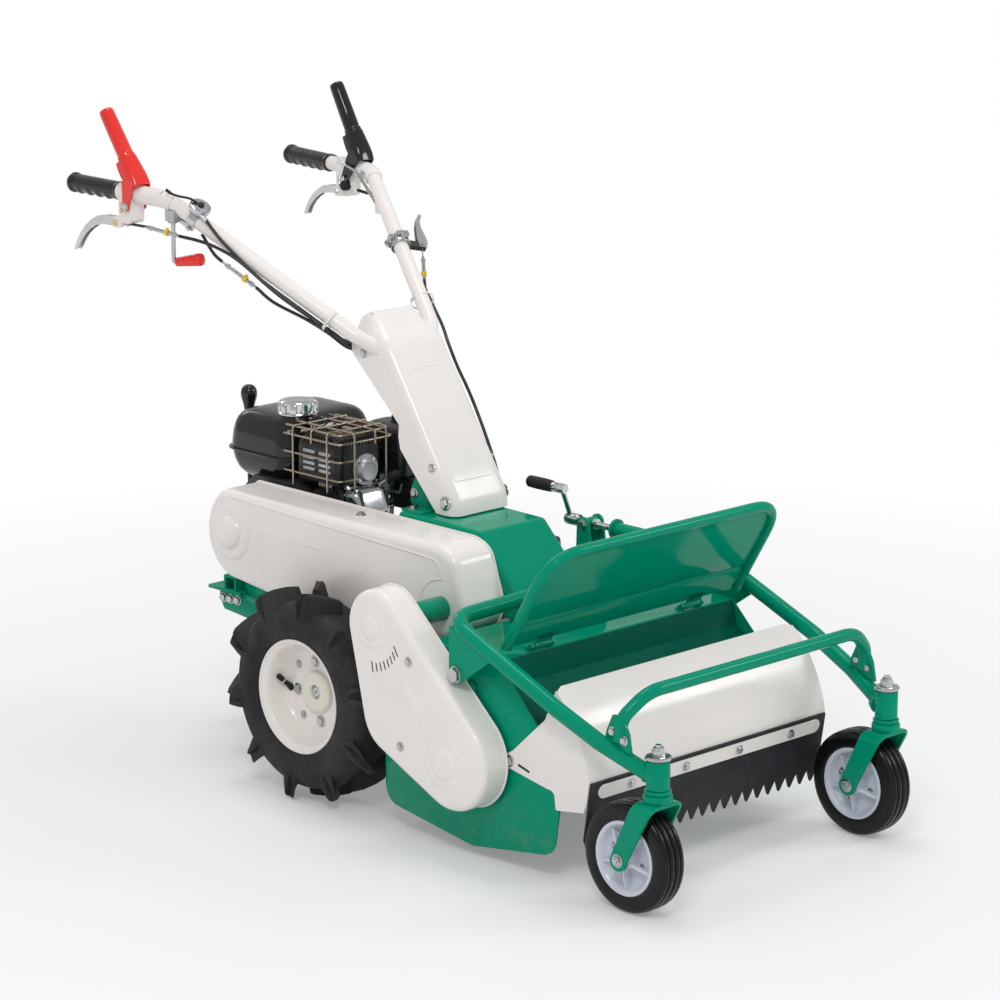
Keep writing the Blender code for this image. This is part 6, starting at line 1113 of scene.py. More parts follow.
def rotor_cover():
    top = circle((-0.242, 0.37), 0.064, 48)
    belly = circle((-0.285, 0.228), 0.073, 48)
    foot = circle((-0.424, 0.179), 0.085, 48)
    outline = eased(hull(top + belly + foot), 0.012, 2)
    back = -0.29
    face = -0.345
    shapes = [pressed(outline, back, face, 0.013, 8, 0.003)]
    shapes.append(boss(-0.238, 0.37, face, [(0.036, 0.002, 0.005), (0.0215, 0.0054, 0.012)]))
    shapes.append(boss(-0.416, 0.174, face, [(0.044, 0.0022, 0.006), (0.028, 0.004, 0.006),
        (0.015, 0.0012, 0.008)]))
    groove = pill((-0.3155, 0.2935), (-0.3795, 0.2165), 0.0078)
    shapes.append(pressed(groove, face + 0.001, face - 0.0016, 0.0016, 5))
    lip = outward(outline, 0.001)
    shapes.append(tube([(back - 0.002, y, z) for y, z in lip] + [(back - 0.002, *lip[0])], 0.0016, 8))
    for y, z in ROTOR_COVER_BOLTS:
        shapes.append(disc(0.003, 0.0545, 0.0058, (face, y, z), "x", 20))
    piece("rotor_cover_shell", shapes, IVORY, replaces="rotor_belt_cover", angle=34)
    # The vent slots are dark plates flush with the cover's face: the black is painted shade in the openings
    slots = []
    for index in range(8):
        turn = radians(-92 - 9 * index)
        middle = Vector((-0.24 + 0.0665 * cos(turn), 0.37 + 0.0665 * sin(turn)))
        half = 0.0085 if index in (0, 7) else 0.0062
        lean = Vector((sin(radians(10 + 3 * index)), cos(radians(10 + 3 * index)))) * half
        slots.append(plate(pill(middle - lean, middle + lean, 0.0013, 5), face + 0.0002, face - 0.00025))
    piece("vent_slots_painted_shade", slots, PLASTIC, angle=35)
    bolts = [bolt((face, y, z), (-1, 0, 0), 0.0058, 0.004, 0.0085) for y, z in ROTOR_COVER_BOLTS]
    fittings("rotor_cover_bolts", bolts)


def column_cover():
    stations = [((-0.15, 0.4943), (-0.104, 0.4943), COLUMN_HALF),
        ((-0.1485, 0.508), (-0.091, 0.5083), COLUMN_HALF),
        ((-0.144, 0.524), (-0.0765, 0.5243), COLUMN_HALF), ((-0.11, 0.5765), (-0.03, 0.5743), COLUMN_HALF),
        ((-0.0955, 0.5985), (-0.0125, 0.5935), COLUMN_HALF), ((-0.08, 0.622), (-0.008, 0.615), COLUMN_HALF),
        ((-0.065, 0.645), (-0.0095, 0.6365), COLUMN_HALF), ((-0.04, 0.683), (0.029, 0.6725), COLUMN_HALF),
        ((-0.01, 0.7285), (0.07, 0.7105), COLUMN_HALF), ((0.008, 0.756), (0.098, 0.7365), 0.0697),
        ((0.017, 0.7695), (0.111, 0.75), 0.0698), ((0.0225, 0.7755), (0.112, 0.76), 0.069),
        ((0.03, 0.7815), (0.111, 0.77), 0.0665), ((0.052, 0.7985), (0.1085, 0.788), 0.059),
        ((0.074, 0.8155), (0.106, 0.805), 0.052), ((0.081, 0.8205), (0.104, 0.811), 0.0495)]
    wall = 0.003
    bm = bmesh.new()
    rings = []
    for (fy, fz), (ry, rz), half in stations:
        front = Vector((fy, fz))
        rear = Vector((ry, rz))
        depth = (rear - front).length
        back = (rear - front) / depth
        radius = min(0.02, depth * 0.45)
        outer = [(half, depth * s) for s in (1, 0.85, 0.7)]
        outer += arc((half - radius, radius), radius, 0, -90, 8)
        outer += [(half * s, 0.0004 * (1 - abs(s))) for s in (0.5, 0.25, 0, -0.25, -0.5)]
        outer += arc((radius - half, radius), radius, -90, -180, 8)
        outer += [(-half, depth * s) for s in (0.7, 0.85, 1)]
        inner_radius = radius - wall
        inner = [(-half + wall, depth * s) for s in (1, 0.85, 0.7)]
        inner += arc((radius - half, radius), inner_radius, -180, -90, 8)
        inner += [(half * s, wall) for s in (-0.5, 0, 0.5)]
        inner += arc((half - radius, radius), inner_radius, -90, 0, 8)
        inner += [(half - wall, depth * s) for s in (0.7, 0.85, 1)]
        ring = []
        for x, along in outer + inner:
            spot = front + back * along
            ring.append(bm.verts.new((x, spot.x, spot.y)))
        rings.append(ring)
    skin(bm, rings)
    roof = [((0.079, 0.819), 0.049), ((0.082, 0.8212), 0.0488), ((0.095, 0.816), 0.0486),
        ((0.106, 0.8075), 0.0484), ((0.108, 0.8), 0.0484), ((0.112, 0.762), 0.0484),
        ((0.1128, 0.752), 0.0484)]
    shell = folded([Vector(spot) for spot, _ in roof], [half for _, half in roof], (-1, -0.9, 0, 0.9, 1),
        0.0028)
    panel_low = Vector((-0.1265, 0.5505))
    panel_high = Vector((-0.008, 0.731))
    rise = (panel_high - panel_low).normalized()
    length = (panel_high - panel_low).length
    outline = eased([(-0.047, 0), (0.047, 0), (0.047, length), (-0.047, length)], 0.006, 5)
    frame_turn = Matrix(((1, 0, 0, 0), (0, -rise.y, rise.x, panel_low.x), (0, rise.x, rise.y, panel_low.y),
        (0, 0, 0, 1)))
    loop = outline + outline[:2]
    panel = moved(tube([(a, -0.0014, b) for a, b in loop], 0.0022, 8), frame_turn)
    piece("column_shell", [bm, shell, panel], IVORY, replaces="column_cover", width=0.0003)
    bolts = []
    for side in SIDES:
        for y, z, half, size in ((0.08, 0.75, 0.0697, 0.0062), (-0.093, 0.573, COLUMN_HALF, 0.0056)):
            bolts.append(bolt((side * half, y, z), (side, 0, 0), size, 0.0035, size * 1.35))
        bolts.append(bolt((side * COLUMN_HALF, -0.127, 0.516), (side, 0, 0), 0.0088, 0.007, 0.0125))
    fittings("column_bolts", bolts)


belt_case()
rotor_cover()
column_cover()


# Engine

TILT = Matrix.Translation((-0.02, *CRANKSHAFT)) @ Matrix.Rotation(pi / 2 - radians(20), 4, "X")
FUEL_CAP = (-0.028, 0.306, 0)


def slab(levels, steps=8):
    """A rounded block: levels of (height, low corner, high corner, corner radius)."""
    bm = bmesh.new()
    rings = []
    for height, low, high, radius in levels:
        corners = [((high[0] - radius, high[1] - radius), 0), ((low[0] + radius, high[1] - radius), 90),
            ((low[0] + radius, low[1] + radius), 180), ((high[0] - radius, low[1] + radius), 270)]
        ring = []
        for centre, start in corners:
            ring += arc(centre, radius, start, start + 90, steps)
        rings.append([bm.verts.new((a, b, height)) for a, b in ring])
    return skin(bm, rings)


def cushion(low, high, radius, steps=4):
    """A block between two corners with its upright edges rounded."""
    return slab([(height, low[:2], high[:2], radius) for height in (low[2], high[2])], steps)


def tapered(low, high, levels, steps=8):
    """A slab from levels of (height, how far it is drawn in from the two corners, corner radius)."""
    return slab([(height, (low[0] + inset, low[1] + inset), (high[0] - inset, high[1] - inset), radius)
        for height, inset, radius in levels], steps)


def fuel_tank():
    low, high = (-0.085, 0.27), (0.134, 0.448)
    upper = ((0.53, 0.0, 0.036), (0.544, 0.0006, 0.036), (0.56, 0.0022, 0.036), (0.574, 0.0052, 0.035),
        (0.584, 0.0095, 0.033), (0.591, 0.0152, 0.03), (0.5955, 0.0215, 0.027), (0.5985, 0.03, 0.024),
        (0.6002, 0.041, 0.02), (0.601, 0.056, 0.014))
    lower = ((0.47, 0.056, 0.012), (0.4708, 0.042, 0.018), (0.474, 0.029, 0.024), (0.481, 0.018, 0.03),
        (0.492, 0.009, 0.034), (0.507, 0.0035, 0.036), (0.5262, 0.0005, 0.036), (0.5268, 0.0005, 0.036))
    lip = [(z, inset, 0.036 - inset) for z, inset in ((0.526, 0.0), (0.5262, -0.005), (0.527, -0.0058),
        (0.5288, -0.0058), (0.5298, -0.005), (0.5304, 0.0))]
    shell = [tapered(low, high, levels) for levels in (lower, upper, lip)]
    neck = lathe([(0.585, 0), (0.585, 0.037), (0.5985, 0.036), (0.6005, 0.0345), (0.601, 0.032),
        (0.606, 0.03), (0.6085, 0.0295), (0.6085, 0)], FUEL_CAP, "z", 48)
    feet = [box((x, 0.3, 0.4885), (x + 0.03, 0.345, 0.5)) for x in (-0.055, 0.05)]
    piece("tank", [*shell, neck, *feet], GLOSS_BLACK, replaces="fuel_tank", angle=36)
    cap = [(0.6016, 0.0315), (0.6016, 0.0355), (0.603, 0.0368), (0.6052, 0.037), (0.6066, 0.035),
        (0.6085, 0.0332), (0.6205, 0.033), (0.6245, 0.0325), (0.6268, 0.03), (0.6275, 0.0255),
        (0.6262, 0.0225), (0.6262, 0.0)]
    body = lathe(cap + [(0.61, 0.0), (0.61, 0.0315)], FUEL_CAP, "z", 96, True)
    grips = []
    for index in range(10):
        turn = Matrix.Translation(FUEL_CAP) @ Matrix.Rotation(pi / 5 * index, 4, "Z")
        grips.append(moved(slab([(0.6068, (0.03, -0.0062), (0.0364, 0.0062), 0.0026),
            (0.62, (0.03, -0.0062), (0.0364, 0.0062), 0.0026),
            (0.624, (0.03, -0.0054), (0.035, 0.0054), 0.0022),
            (0.6262, (0.03, -0.004), (0.0325, 0.004), 0.001)], 4), turn))
    piece("tank_cap", [body, *grips], CHROME, "fuel_cap", replaces="fuel_cap", angle=34)


def block():
    low = 0.3035
    crank = [(0.215, low), (0.415, low), (0.415, 0.438), (0.365, 0.488), (0.245, 0.488), (0.205, 0.438),
        (0.205, low + 0.012)]
    case = plate(eased(crank, 0.01, 4), -0.0858, 0.0948)
    head = moved(cushion((-0.046, -0.034, 0.168), (0.046, 0.034, 0.1758), 0.008), TILT)
    barrel = moved(box((-0.041, -0.033, 0.02), (0.041, 0.033, 0.1757)), TILT)
    shapes = [case, head, barrel]
    for index in range(9):
        along = 0.104 + index * 0.0068
        shapes.append(moved(cushion((-0.0478, -0.0398, along), (0.0478, 0.0398, along + 0.0021), 0.008),
            TILT))
    shapes.append(cushion((-0.042, 0.19, 0.455), (0.002, 0.222, 0.5072), 0.006))
    for x in (-0.07, 0.078):
        for y in (0.232, 0.39):
            shapes.append(box((x - 0.012, y - 0.01, 0.3033), (x + 0.012, y + 0.01, 0.316)))
    piece("cylinder_block", shapes, DARK_CAST, replaces="engine_block", width=0.0006)
    cover = []
    for along, inset, radius in ((0.1762, 0.0, 0.012), (0.183, 0.0, 0.012), (0.1838, 0.003, 0.011),
            (0.193, 0.004, 0.011), (0.199, 0.0065, 0.01), (0.203, 0.0105, 0.009), (0.2052, 0.015, 0.007),
            (0.206, 0.02, 0.004)):
        cover.append((along, (-0.044 + inset, -0.044 + inset), (0.042 - inset, 0.025 - inset),
            radius + 0.004))
    piece("valve_cover", slab(cover), POLISHED, place=TILT, replaces="rocker_cover", angle=36)
    bolts = []
    for x in (-0.036, 0.036):
        for y in (-0.024, 0.024):
            bolts.append(moved(bolt((x, y, 0.1838), (0, 0, 1), 0.004, 0.0034, 0.0056), TILT))
    for y, z in ((0.235, 0.33), (0.385, 0.33), (0.235, 0.425), (0.37, 0.455), (0.3, 0.47)):
        bolts.append(bolt((-0.0858, y, z), (-1, 0, 0), 0.005, 0.004, 0.0068))
    plug = tube([TILT @ Vector((0.02, 0.012, 0.17)), TILT @ Vector((0.052, 0.026, 0.206))],
        [0.0052, 0.0052], 16)
    fittings("engine_bolts", bolts)
    fittings("spark_plug", plug)
    boot = curve([TILT @ Vector((0.046, 0.024, 0.199)), TILT @ Vector((0.06, 0.03, 0.214)),
        TILT @ Vector((0.084, 0.04, 0.2)), TILT @ Vector((0.1, 0.052, 0.16))], 8)
    piece("plug_boot", tube(boot, [0.0092] * 9 + [0.004] * (len(boot) - 9), 16), SOFT_BLACK)


def muffler():
    low, high = (-0.076, 0.142), (0.03, 0.26)
    body = [(0.4935, 0.006, 0.01), (0.4965, 0.002, 0.012), (0.501, 0.0006, 0.012), (0.56, 0.001, 0.012),
        (0.573, 0.004, 0.012), (0.5755, 0.007, 0.012)]
    cap = [(0.575, 0.013, 0.008), (0.58, 0.013, 0.008), (0.5812, 0.015, 0.007)]
    shapes = [tapered(low, high, levels, 6) for levels in (body, cap)]
    for index in range(13):
        x = -0.069 + index * 0.0076
        for y, hand in ((0.146, 1), (0.2475, -1)):
            rib = plate([(y - hand * 0.003, 0.566), (y - hand * 0.0014, 0.5745), (y + hand * 0.013, 0.583),
                (y + hand * 0.016, 0.583), (y + hand * 0.016, 0.574)], x - 0.0013, x + 0.0013)
            shapes.append(rib)
    for index in range(12):
        y = 0.1535 + index * 0.0078
        for x, hand in ((-0.073, 1), (0.027, -1)):
            rib = plate([(x - hand * 0.0014, 0.566), (x, 0.5745), (x + hand * 0.013, 0.583),
                (x + hand * 0.016, 0.583), (x + hand * 0.016, 0.574)], y - 0.0013, y + 0.0013, "y")
            shapes.append(rib)
    piece("muffler_shell", shapes, SATIN_BLACK, replaces="muffler", width=0.0004)
    bars = []
    for column in (0.18, 0.222):
        for row in range(4):
            z = 0.5215 + row * 0.0105
            ring = pill((column - 0.013, z), (column + 0.013, z), 0.0031, 6)
            bars.append(pressed(ring, -0.075, -0.0772, 0.0009, 3))
    piece("muffler_louvres", bars, SILVER_CAST)
    outlet = (-0.014, 0.142, 0.523)
    flange = lathe([(0.0015, 0), (0.0015, 0.0278), (0.0006, 0.0285), (-0.0034, 0.0285), (-0.0042, 0.0276),
        (-0.0042, 0.0222), (-0.008, 0.0208), (-0.0122, 0.02), (-0.0138, 0.0186), (-0.0142, 0.016),
        (-0.0138, 0.015), (-0.0138, 0)], outlet, "y", 64)
    bolts = []
    for index in range(4):
        turn = radians(45 + 90 * index)
        at = (outlet[0] + 0.0236 * cos(turn), outlet[1] - 0.004, outlet[2] + 0.0236 * sin(turn))
        bolts.append(bolt(at, (0, -1, 0), 0.003, 0.0026))
    piece("exhaust_outlet", flange, SILVER_CAST, angle=35)
    fittings("outlet_bolts", bolts)

    right, left = -0.0875, 0.039
    front, rear = 0.125, 0.276
    top = 0.5945
    thick = 0.0019
    over = top + 0.002
    wires = []

    def wire(points, corner, steps):
        wires.append(tube(bent(points, corner, steps), thick, 12))

    for height, end in ((0.513, -0.05), (0.5475, -0.05), (0.58, left)):
        ring = [(right, rear, height), (right, front, height), (end, front, height)]
        wire(ring + [(left, rear, height)] if end == left else ring, 0.012, 8)
    wire([(right + 0.006, rear, top), (right + 0.006, front + 0.006, top),
        (left - 0.004, front + 0.006, top), (left - 0.004, rear, top)], 0.014, 8)
    for x, start in ((-0.055, 0.49), (0.02, 0.49), (-0.006, 0.572)):
        wire([(x, front - 0.002, start), (x, front - 0.002, over), (x, rear, over)], 0.008, 6)
    for y, start in ((0.25, 0.49), (0.158, 0.49), (0.2, 0.572)):
        wire([(right - thick, y, start), (right - thick, y, over), (left, y, over)], 0.008, 6)
    for x in (-0.05, 0.004):
        wires.append(tube([(x, 0.243, 0.572), (x, 0.243, top + 0.001)], 0.0026, 12))
    piece("wire_guard", wires, WIRE, replaces="muffler_guard", angle=50)
    clip = [box((-0.03, 0.168, 0.5812), (-0.012, 0.196, 0.5835)),
        box((-0.026, 0.172, 0.5835), (-0.016, 0.19, 0.595))]
    piece("guard_clip", clip, WIRE, width=0.0006)


def intake():
    low, high = (0.046, 0.11), (0.126, 0.225)
    levels = [(0.5022, 0.002, 0.014), (0.545, 0.0015, 0.014), (0.5455, -0.0008, 0.016),
        (0.549, -0.0008, 0.016), (0.5495, 0.001, 0.015), (0.58, 0.004, 0.016), (0.588, 0.009, 0.016),
        (0.5915, 0.017, 0.014), (0.5922, 0.027, 0.01)]
    knob = lathe([(0.59, 0), (0.59, 0.0125), (0.5935, 0.0125), (0.594, 0.0095), (0.5975, 0.0085),
        (0.602, 0.009), (0.6035, 0.008), (0.604, 0)], (0.086, 0.1675, 0), "z", 32)
    piece("filter_case", [tapered(low, high, levels), knob], PLASTIC, replaces="air_cleaner", angle=36)
    body = [cushion((0.0284, 0.15, 0.448), (0.074, 0.196, 0.5018), 0.006),
        lathe([(0.42, 0), (0.42, 0.012), (0.4215, 0.0158), (0.426, 0.017), (0.45, 0.017), (0.452, 0.017),
        (0.452, 0)], (0.0502, 0.173, 0), "z", 40), tube(bent([(0.0584, 0.156, 0.47), (0.0584, 0.13, 0.47),
        (0.0584, 0.122, 0.49)], 0.006, 6), 0.0025, 14),
        tube([(0.04, 0.15, 0.48), (0.04, 0.142, 0.48)], 0.007, 20)]
    piece("carburettor_body", body, SILVER_CAST, replaces="carburettor", width=0.0008)
    trim = [tube(curve([(0.034, 0.149, 0.474), (0.02, 0.132, 0.466), (-0.01, 0.126, 0.47),
        (-0.03, 0.132, 0.478)], 8), 0.0011, 10), tube(curve([(0.06, 0.146, 0.458), (0.04, 0.126, 0.452),
        (0.012, 0.116, 0.458), (-0.004, 0.114, 0.47)], 8), 0.0011, 10),
        bolt((0.052, 0.15, 0.46), (0, -1, 0), 0.0046, 0.004, 0.0064),
        bolt((0.066, 0.15, 0.486), (0, -1, 0), 0.004, 0.0036, 0.0056),
        bolt((0.0502, 0.173, 0.42), (0, 0, -1), 0.005, 0.005)]
    fittings("intake_links", trim)
    levers = [box((0.0545, 0.1205, 0.488), (0.0625, 0.1235, 0.501)),
        moved(slab([(0, (-0.014, -0.01), (0.014, 0.01), 0.006),
        (0.012, (-0.013, -0.009), (0.013, 0.009), 0.006)], 4),
        Matrix.Translation((0.085, 0.1495, 0.47)) @ Matrix.Rotation(pi / 2, 4, "X")),
        cushion((0.08, 0.19, 0.425), (0.104, 0.222, 0.5), 0.006)]
    piece("intake_plastics", levers, PLASTIC, width=0.0008)


def starter():
    x = 0.0953
    centre = (x, *CRANKSHAFT)
    profile = [(0, 0), (0, 0.085), (0.001, 0.086), (0.026, 0.0858), (0.029, 0.084), (0.03, 0.08),
        (0.04, 0.0775), (0.045, 0.07), (0.049, 0.056), (0.0515, 0.05), (0.052, 0.044), (0.052, 0)]
    shapes = [lathe(profile, centre, "x", 72), cushion((x + 0.004, 0.222, 0.444), (x + 0.03, 0.262, 0.484),
        0.006)]

    def around(along, radius, turn):
        return x + along, CRANKSHAFT[0] + radius * cos(turn), CRANKSHAFT[1] + radius * sin(turn)

    for index in range(24):
        turn = 2 * pi * index / 24
        shapes.append(tube([around(0.044, 0.0715, turn), around(0.0512, 0.0535, turn)], 0.0018, 8))
    piece("starter_case", shapes, SATIN_BLACK, replaces="recoil_housing", width=0.0005)
    place = Vector((x + 0.017, 0.222, 0.468))
    grip = lathe([(-0.0003, 0), (-0.0003, 0.0055), (-0.002, 0.0062), (-0.009, 0.0066), (-0.0105, 0.01),
        (-0.012, 0.0152), (-0.0145, 0.0162), (-0.0215, 0.0162), (-0.024, 0.015), (-0.0258, 0.011),
        (-0.0262, 0.006), (-0.0262, 0)], place, "y", 40)
    piece("rope_grip", grip, SOFT_BLACK, "starter_grip", replaces="starter_grip", angle=50)
    bolts = [bolt(around(0.0262, 0.082, radians(turn)), (1, 0, 0), 0.0044, 0.0038, 0.006)
        for turn in (20, 110, 200, 290)]
    fittings("starter_bolts", bolts)


def gear_lever():
    x, y, base = 0.02, 0.487, 0.272
    path = bent([(x, y, base + 0.006), (x, 0.5, base + 0.06), (x, 0.5, 0.56)], 0.03, 8)
    shapes = [tube(path, 0.005, 20), lathe([(-0.005, 0.005), (-0.005, 0.0085), (-0.0045, 0.009),
        (0.0045, 0.009), (0.005, 0.0085), (0.005, 0.005)], (x, y, base), "x", 28, True)]
    piece("gear_rod", shapes, BLACK, "gear_lever", replaces="gear_lever")
    knob = lathe([(0.548, 0), (0.548, 0.0078), (0.5495, 0.0088), (0.562, 0.009), (0.576, 0.0098),
        (0.586, 0.0118), (0.593, 0.0142), (0.599, 0.0154), (0.605, 0.0154), (0.611, 0.0138),
        (0.6155, 0.0108), (0.6182, 0.0064), (0.619, 0)], (x, 0.5, 0), "z", 40)
    piece("gear_knob", knob, GLOSS_BLACK, "gear_lever", angle=60)


fuel_tank()
block()
muffler()
intake()
starter()
gear_lever()


# Handles, levers and control cables

HANDLE_R = 0.0136
KNEE_Y = 0.4
LEVEL_RUN = 0.255
PIVOTS = {RIGHT: (-0.2462, 0.488), LEFT: (0.2441, 0.458)}
PIVOT_HEIGHT = 0.984
CLUTCH_AT = {RIGHT: (0.526, 0.9505, 0.1345), LEFT: (0.484, 0.96, 0.106)}


def rising(side, share):
    """A point on the rising tube: 0 is its foot and 1 its upper bend."""
    return Vector((side * (0.089 + 0.151 * share), 0.078 + 0.322 * share, 0.783 + 0.22 * share))


def rising_frame(side, share):
    """Axes on the rising tube: z up along it, x to the machine's right, y up and away from it."""
    along = (rising(side, 1) - rising(side, 0)).normalized()
    across = Vector((-1, 0, 0))
    across = (across - along * across.dot(along)).normalized()
    turn_to = Matrix((across, along.cross(across), along)).transposed().to_4x4()
    return Matrix.Translation(rising(side, share)) @ turn_to


def beside(side, share, across, up):
    """A point next to the rising tube, in that place's axes."""
    return rising_frame(side, share) @ Vector((across, up, 0))


def side_path(side):
    """Corners of one side of the handlebar, from its middle to the grip's end."""
    return [(side * 0.045, 0.034, 0.748), (side * 0.089, 0.078, 0.783), (side * 0.24, KNEE_Y, 1.003),
        (side * 0.258, 0.655, 1.01)]


def handlebar():
    path = bent(side_path(RIGHT)[::-1] + side_path(LEFT), 0.06, 12)
    shapes = [tube(path, HANDLE_R, 32)]
    for side, start, stop in ((RIGHT, 0.392, 0.524), (LEFT, 0.378, 0.494)):
        run = bent(side_path(side), 0.06, 24)
        knee, end = [Vector(point) for point in side_path(side)[2:]]
        points = [p for p in run if start < p.y < stop] + [knee.lerp(end, (stop - KNEE_Y) / LEVEL_RUN)]
        shapes.append(tube(points, [0.015] + [0.0164] * (len(points) - 1), 32))
    piece("handle_tube", shapes, IVORY, replaces="handlebar", angle=50)
    screws = [bolt(rising(RIGHT, 0.985) + Vector((-0.01, 0.015, 0.0135)), (-0.55, 0.0, 0.83), 0.005, 0.0036,
        0.007), bolt(rising(LEFT, 0.97) + Vector((-0.0155, 0.012, 0.006)), (-1, 0, 0.2), 0.0042, 0.003)]
    fittings("handle_screws", screws)


def grip(side):
    """A soft grip with finger waves below and fine grooves above."""
    start, end = [Vector(point) for point in side_path(side)[2:]]
    along = (end - start).normalized()
    place = aimed(end - along * 0.133, along) @ Matrix.Diagonal((0.94, 0.94, 0.915, 1))
    down = place.to_3x3().inverted() @ Vector((0, 0, -1))
    sides = 36
    waist = 0.0172
    low_end, high_end = 0.018, 0.127
    bm = bmesh.new()
    rings = []
    levels = [(0.0003, 0.0139), (0.0003, 0.0168), (0.001, 0.018), (0.004, 0.0182), (0.007, 0.018),
        (0.0085, 0.0168)]
    levels += [(0.01 + 0.0015 * i, 0.0166 + (0.0004 if i % 2 else 0)) for i in range(4)]
    levels += [(low_end + 0.0018 * i, waist) for i in range(61)]
    levels += [(0.129, 0.018), (0.131, 0.0193), (0.137, 0.0194), (0.1395, 0.018), (0.14, 0.014),
        (0.1398, 0.006)]
    for z, radius in levels:
        ring = []
        for step in range(sides):
            turn = 2 * pi * step / sides
            spot = Vector((cos(turn), sin(turn), 0))
            low = max(0, spot.dot(down)) ** 1.5
            swell = sin((z - low_end) / 0.108 * pi * 8 - pi / 2) if low_end <= z <= high_end else 0
            wave = 0.0022 * swell * low
            fine = -0.0004 if radius == waist and step % 3 == 0 and low < 0.2 else 0
            ring.append(bm.verts.new(spot * (radius + wave + fine) + Vector((0, 0, z))))
        rings.append(ring)
    skin(bm, rings, False)
    bm.faces.new(rings[0][::-1])
    bm.faces.new(rings[-1])
    piece("grip_" + SIDES[side], bm, GRIP_RUBBER, place=place, replaces="handle_grip_" + SIDES[side],
        angle=50)


def channel(levels, wall, steps):
    """A moulded shell, open at the back: levels of (height, half width, back, front, corner radius)."""
    bm = bmesh.new()
    rings = []
    for height, half, back, front, radius in levels:
        outer = [(half, back)] + arc((half - radius, front - radius), radius, 0, 90, steps)
        outer += arc((radius - half, front - radius), radius, 90, 180, steps) + [(-half, back)]
        inner = [(half - wall, back)] + arc((half - radius, front - radius), radius - wall, 0, 90, steps)
        inner += arc((radius - half, front - radius), radius - wall, 90, 180, steps) + [(wall - half, back)]
        rings.append([bm.verts.new((a, b, height)) for a, b in outer + inner[::-1]])
    skin(bm, rings, False)
    bm.faces.new(rings[0][::-1])
    bm.faces.new(rings[-1])
    return bm


def tall_lever(side, name, look):
    x, y = PIVOTS[side]
    x -= 0.0013 if side == RIGHT else 0
    collar = 0.0745
    turn = radians(54 if side == RIGHT else 61)
    along = Vector((0, cos(turn), sin(turn)))
    across = Vector((0, -along.z, along.y))
    origin = Vector((x, 0.5075, 1.068) if side == RIGHT else (x, 0.4545, 1.0728)) - along * collar
    frame = Matrix((Vector((1, 0, 0)), across, along)).transposed().to_4x4()
    place = Matrix.Translation(origin) @ frame
    pivot = place.inverted() @ Vector((x, y, PIVOT_HEIGHT))
    inner, outer = 0.0182, 0.0207
    shapes = []
    for hand in (-1, 1):
        cheek = hull(circle((pivot.y, pivot.z), 0.0092, 24) + [(0.006, 0.0135), (0.008, 0.026),
            (-0.016, 0.036), (-0.0225, 0.022)])
        shapes.append(plate(cheek, hand * inner, hand * outer))
    shapes.append(channel([(0.0125, 0.02, -0.0225, 0.012, 0.01), (0.024, 0.0201, -0.0215, 0.0145, 0.01),
        (0.038, 0.0192, -0.0142, 0.0155, 0.011), (0.045, 0.0185, -0.0158, 0.016, 0.012),
        (0.058, 0.0175, -0.0165, 0.016, 0.013), (0.0715, 0.0164, -0.0157, 0.016, 0.014)], 0.0014, 6))
    shapes.append(slab([(0.0708, (-0.0164, -0.0156), (0.0164, 0.016), 0.014),
        (collar - 0.002, (-0.0163, -0.0155), (0.0163, 0.016), 0.014),
        (collar, (-0.0155, -0.015), (0.0155, 0.0152), 0.014)], 6))
    handle = lathe([(collar - 0.01, 0), (collar - 0.01, 0.0142), (collar + 0.001, 0.0158),
        (collar + 0.0035, 0.016), (collar + 0.005, 0.015), (collar + 0.006, 0.0146), (0.11, 0.0143),
        (0.135, 0.0139), (0.155, 0.0136), (0.164, 0.0134), (0.169, 0.0128), (0.1712, 0.0112),
        (0.1722, 0.0085), (0.1724, 0)], (0, 0, 0), "z", 40)
    shapes.append(handle)
    piece(name + "_body", shapes, look, name, place=place, replaces=name, width=0.0006, angle=38)
    heads = [bolt((x + hand * outer, y, PIVOT_HEIGHT), (hand, 0, 0), 0.0052, 0.0036, 0.0074)
        for hand in (-1, 1)]
    fittings(name + "_bolt", heads, name)


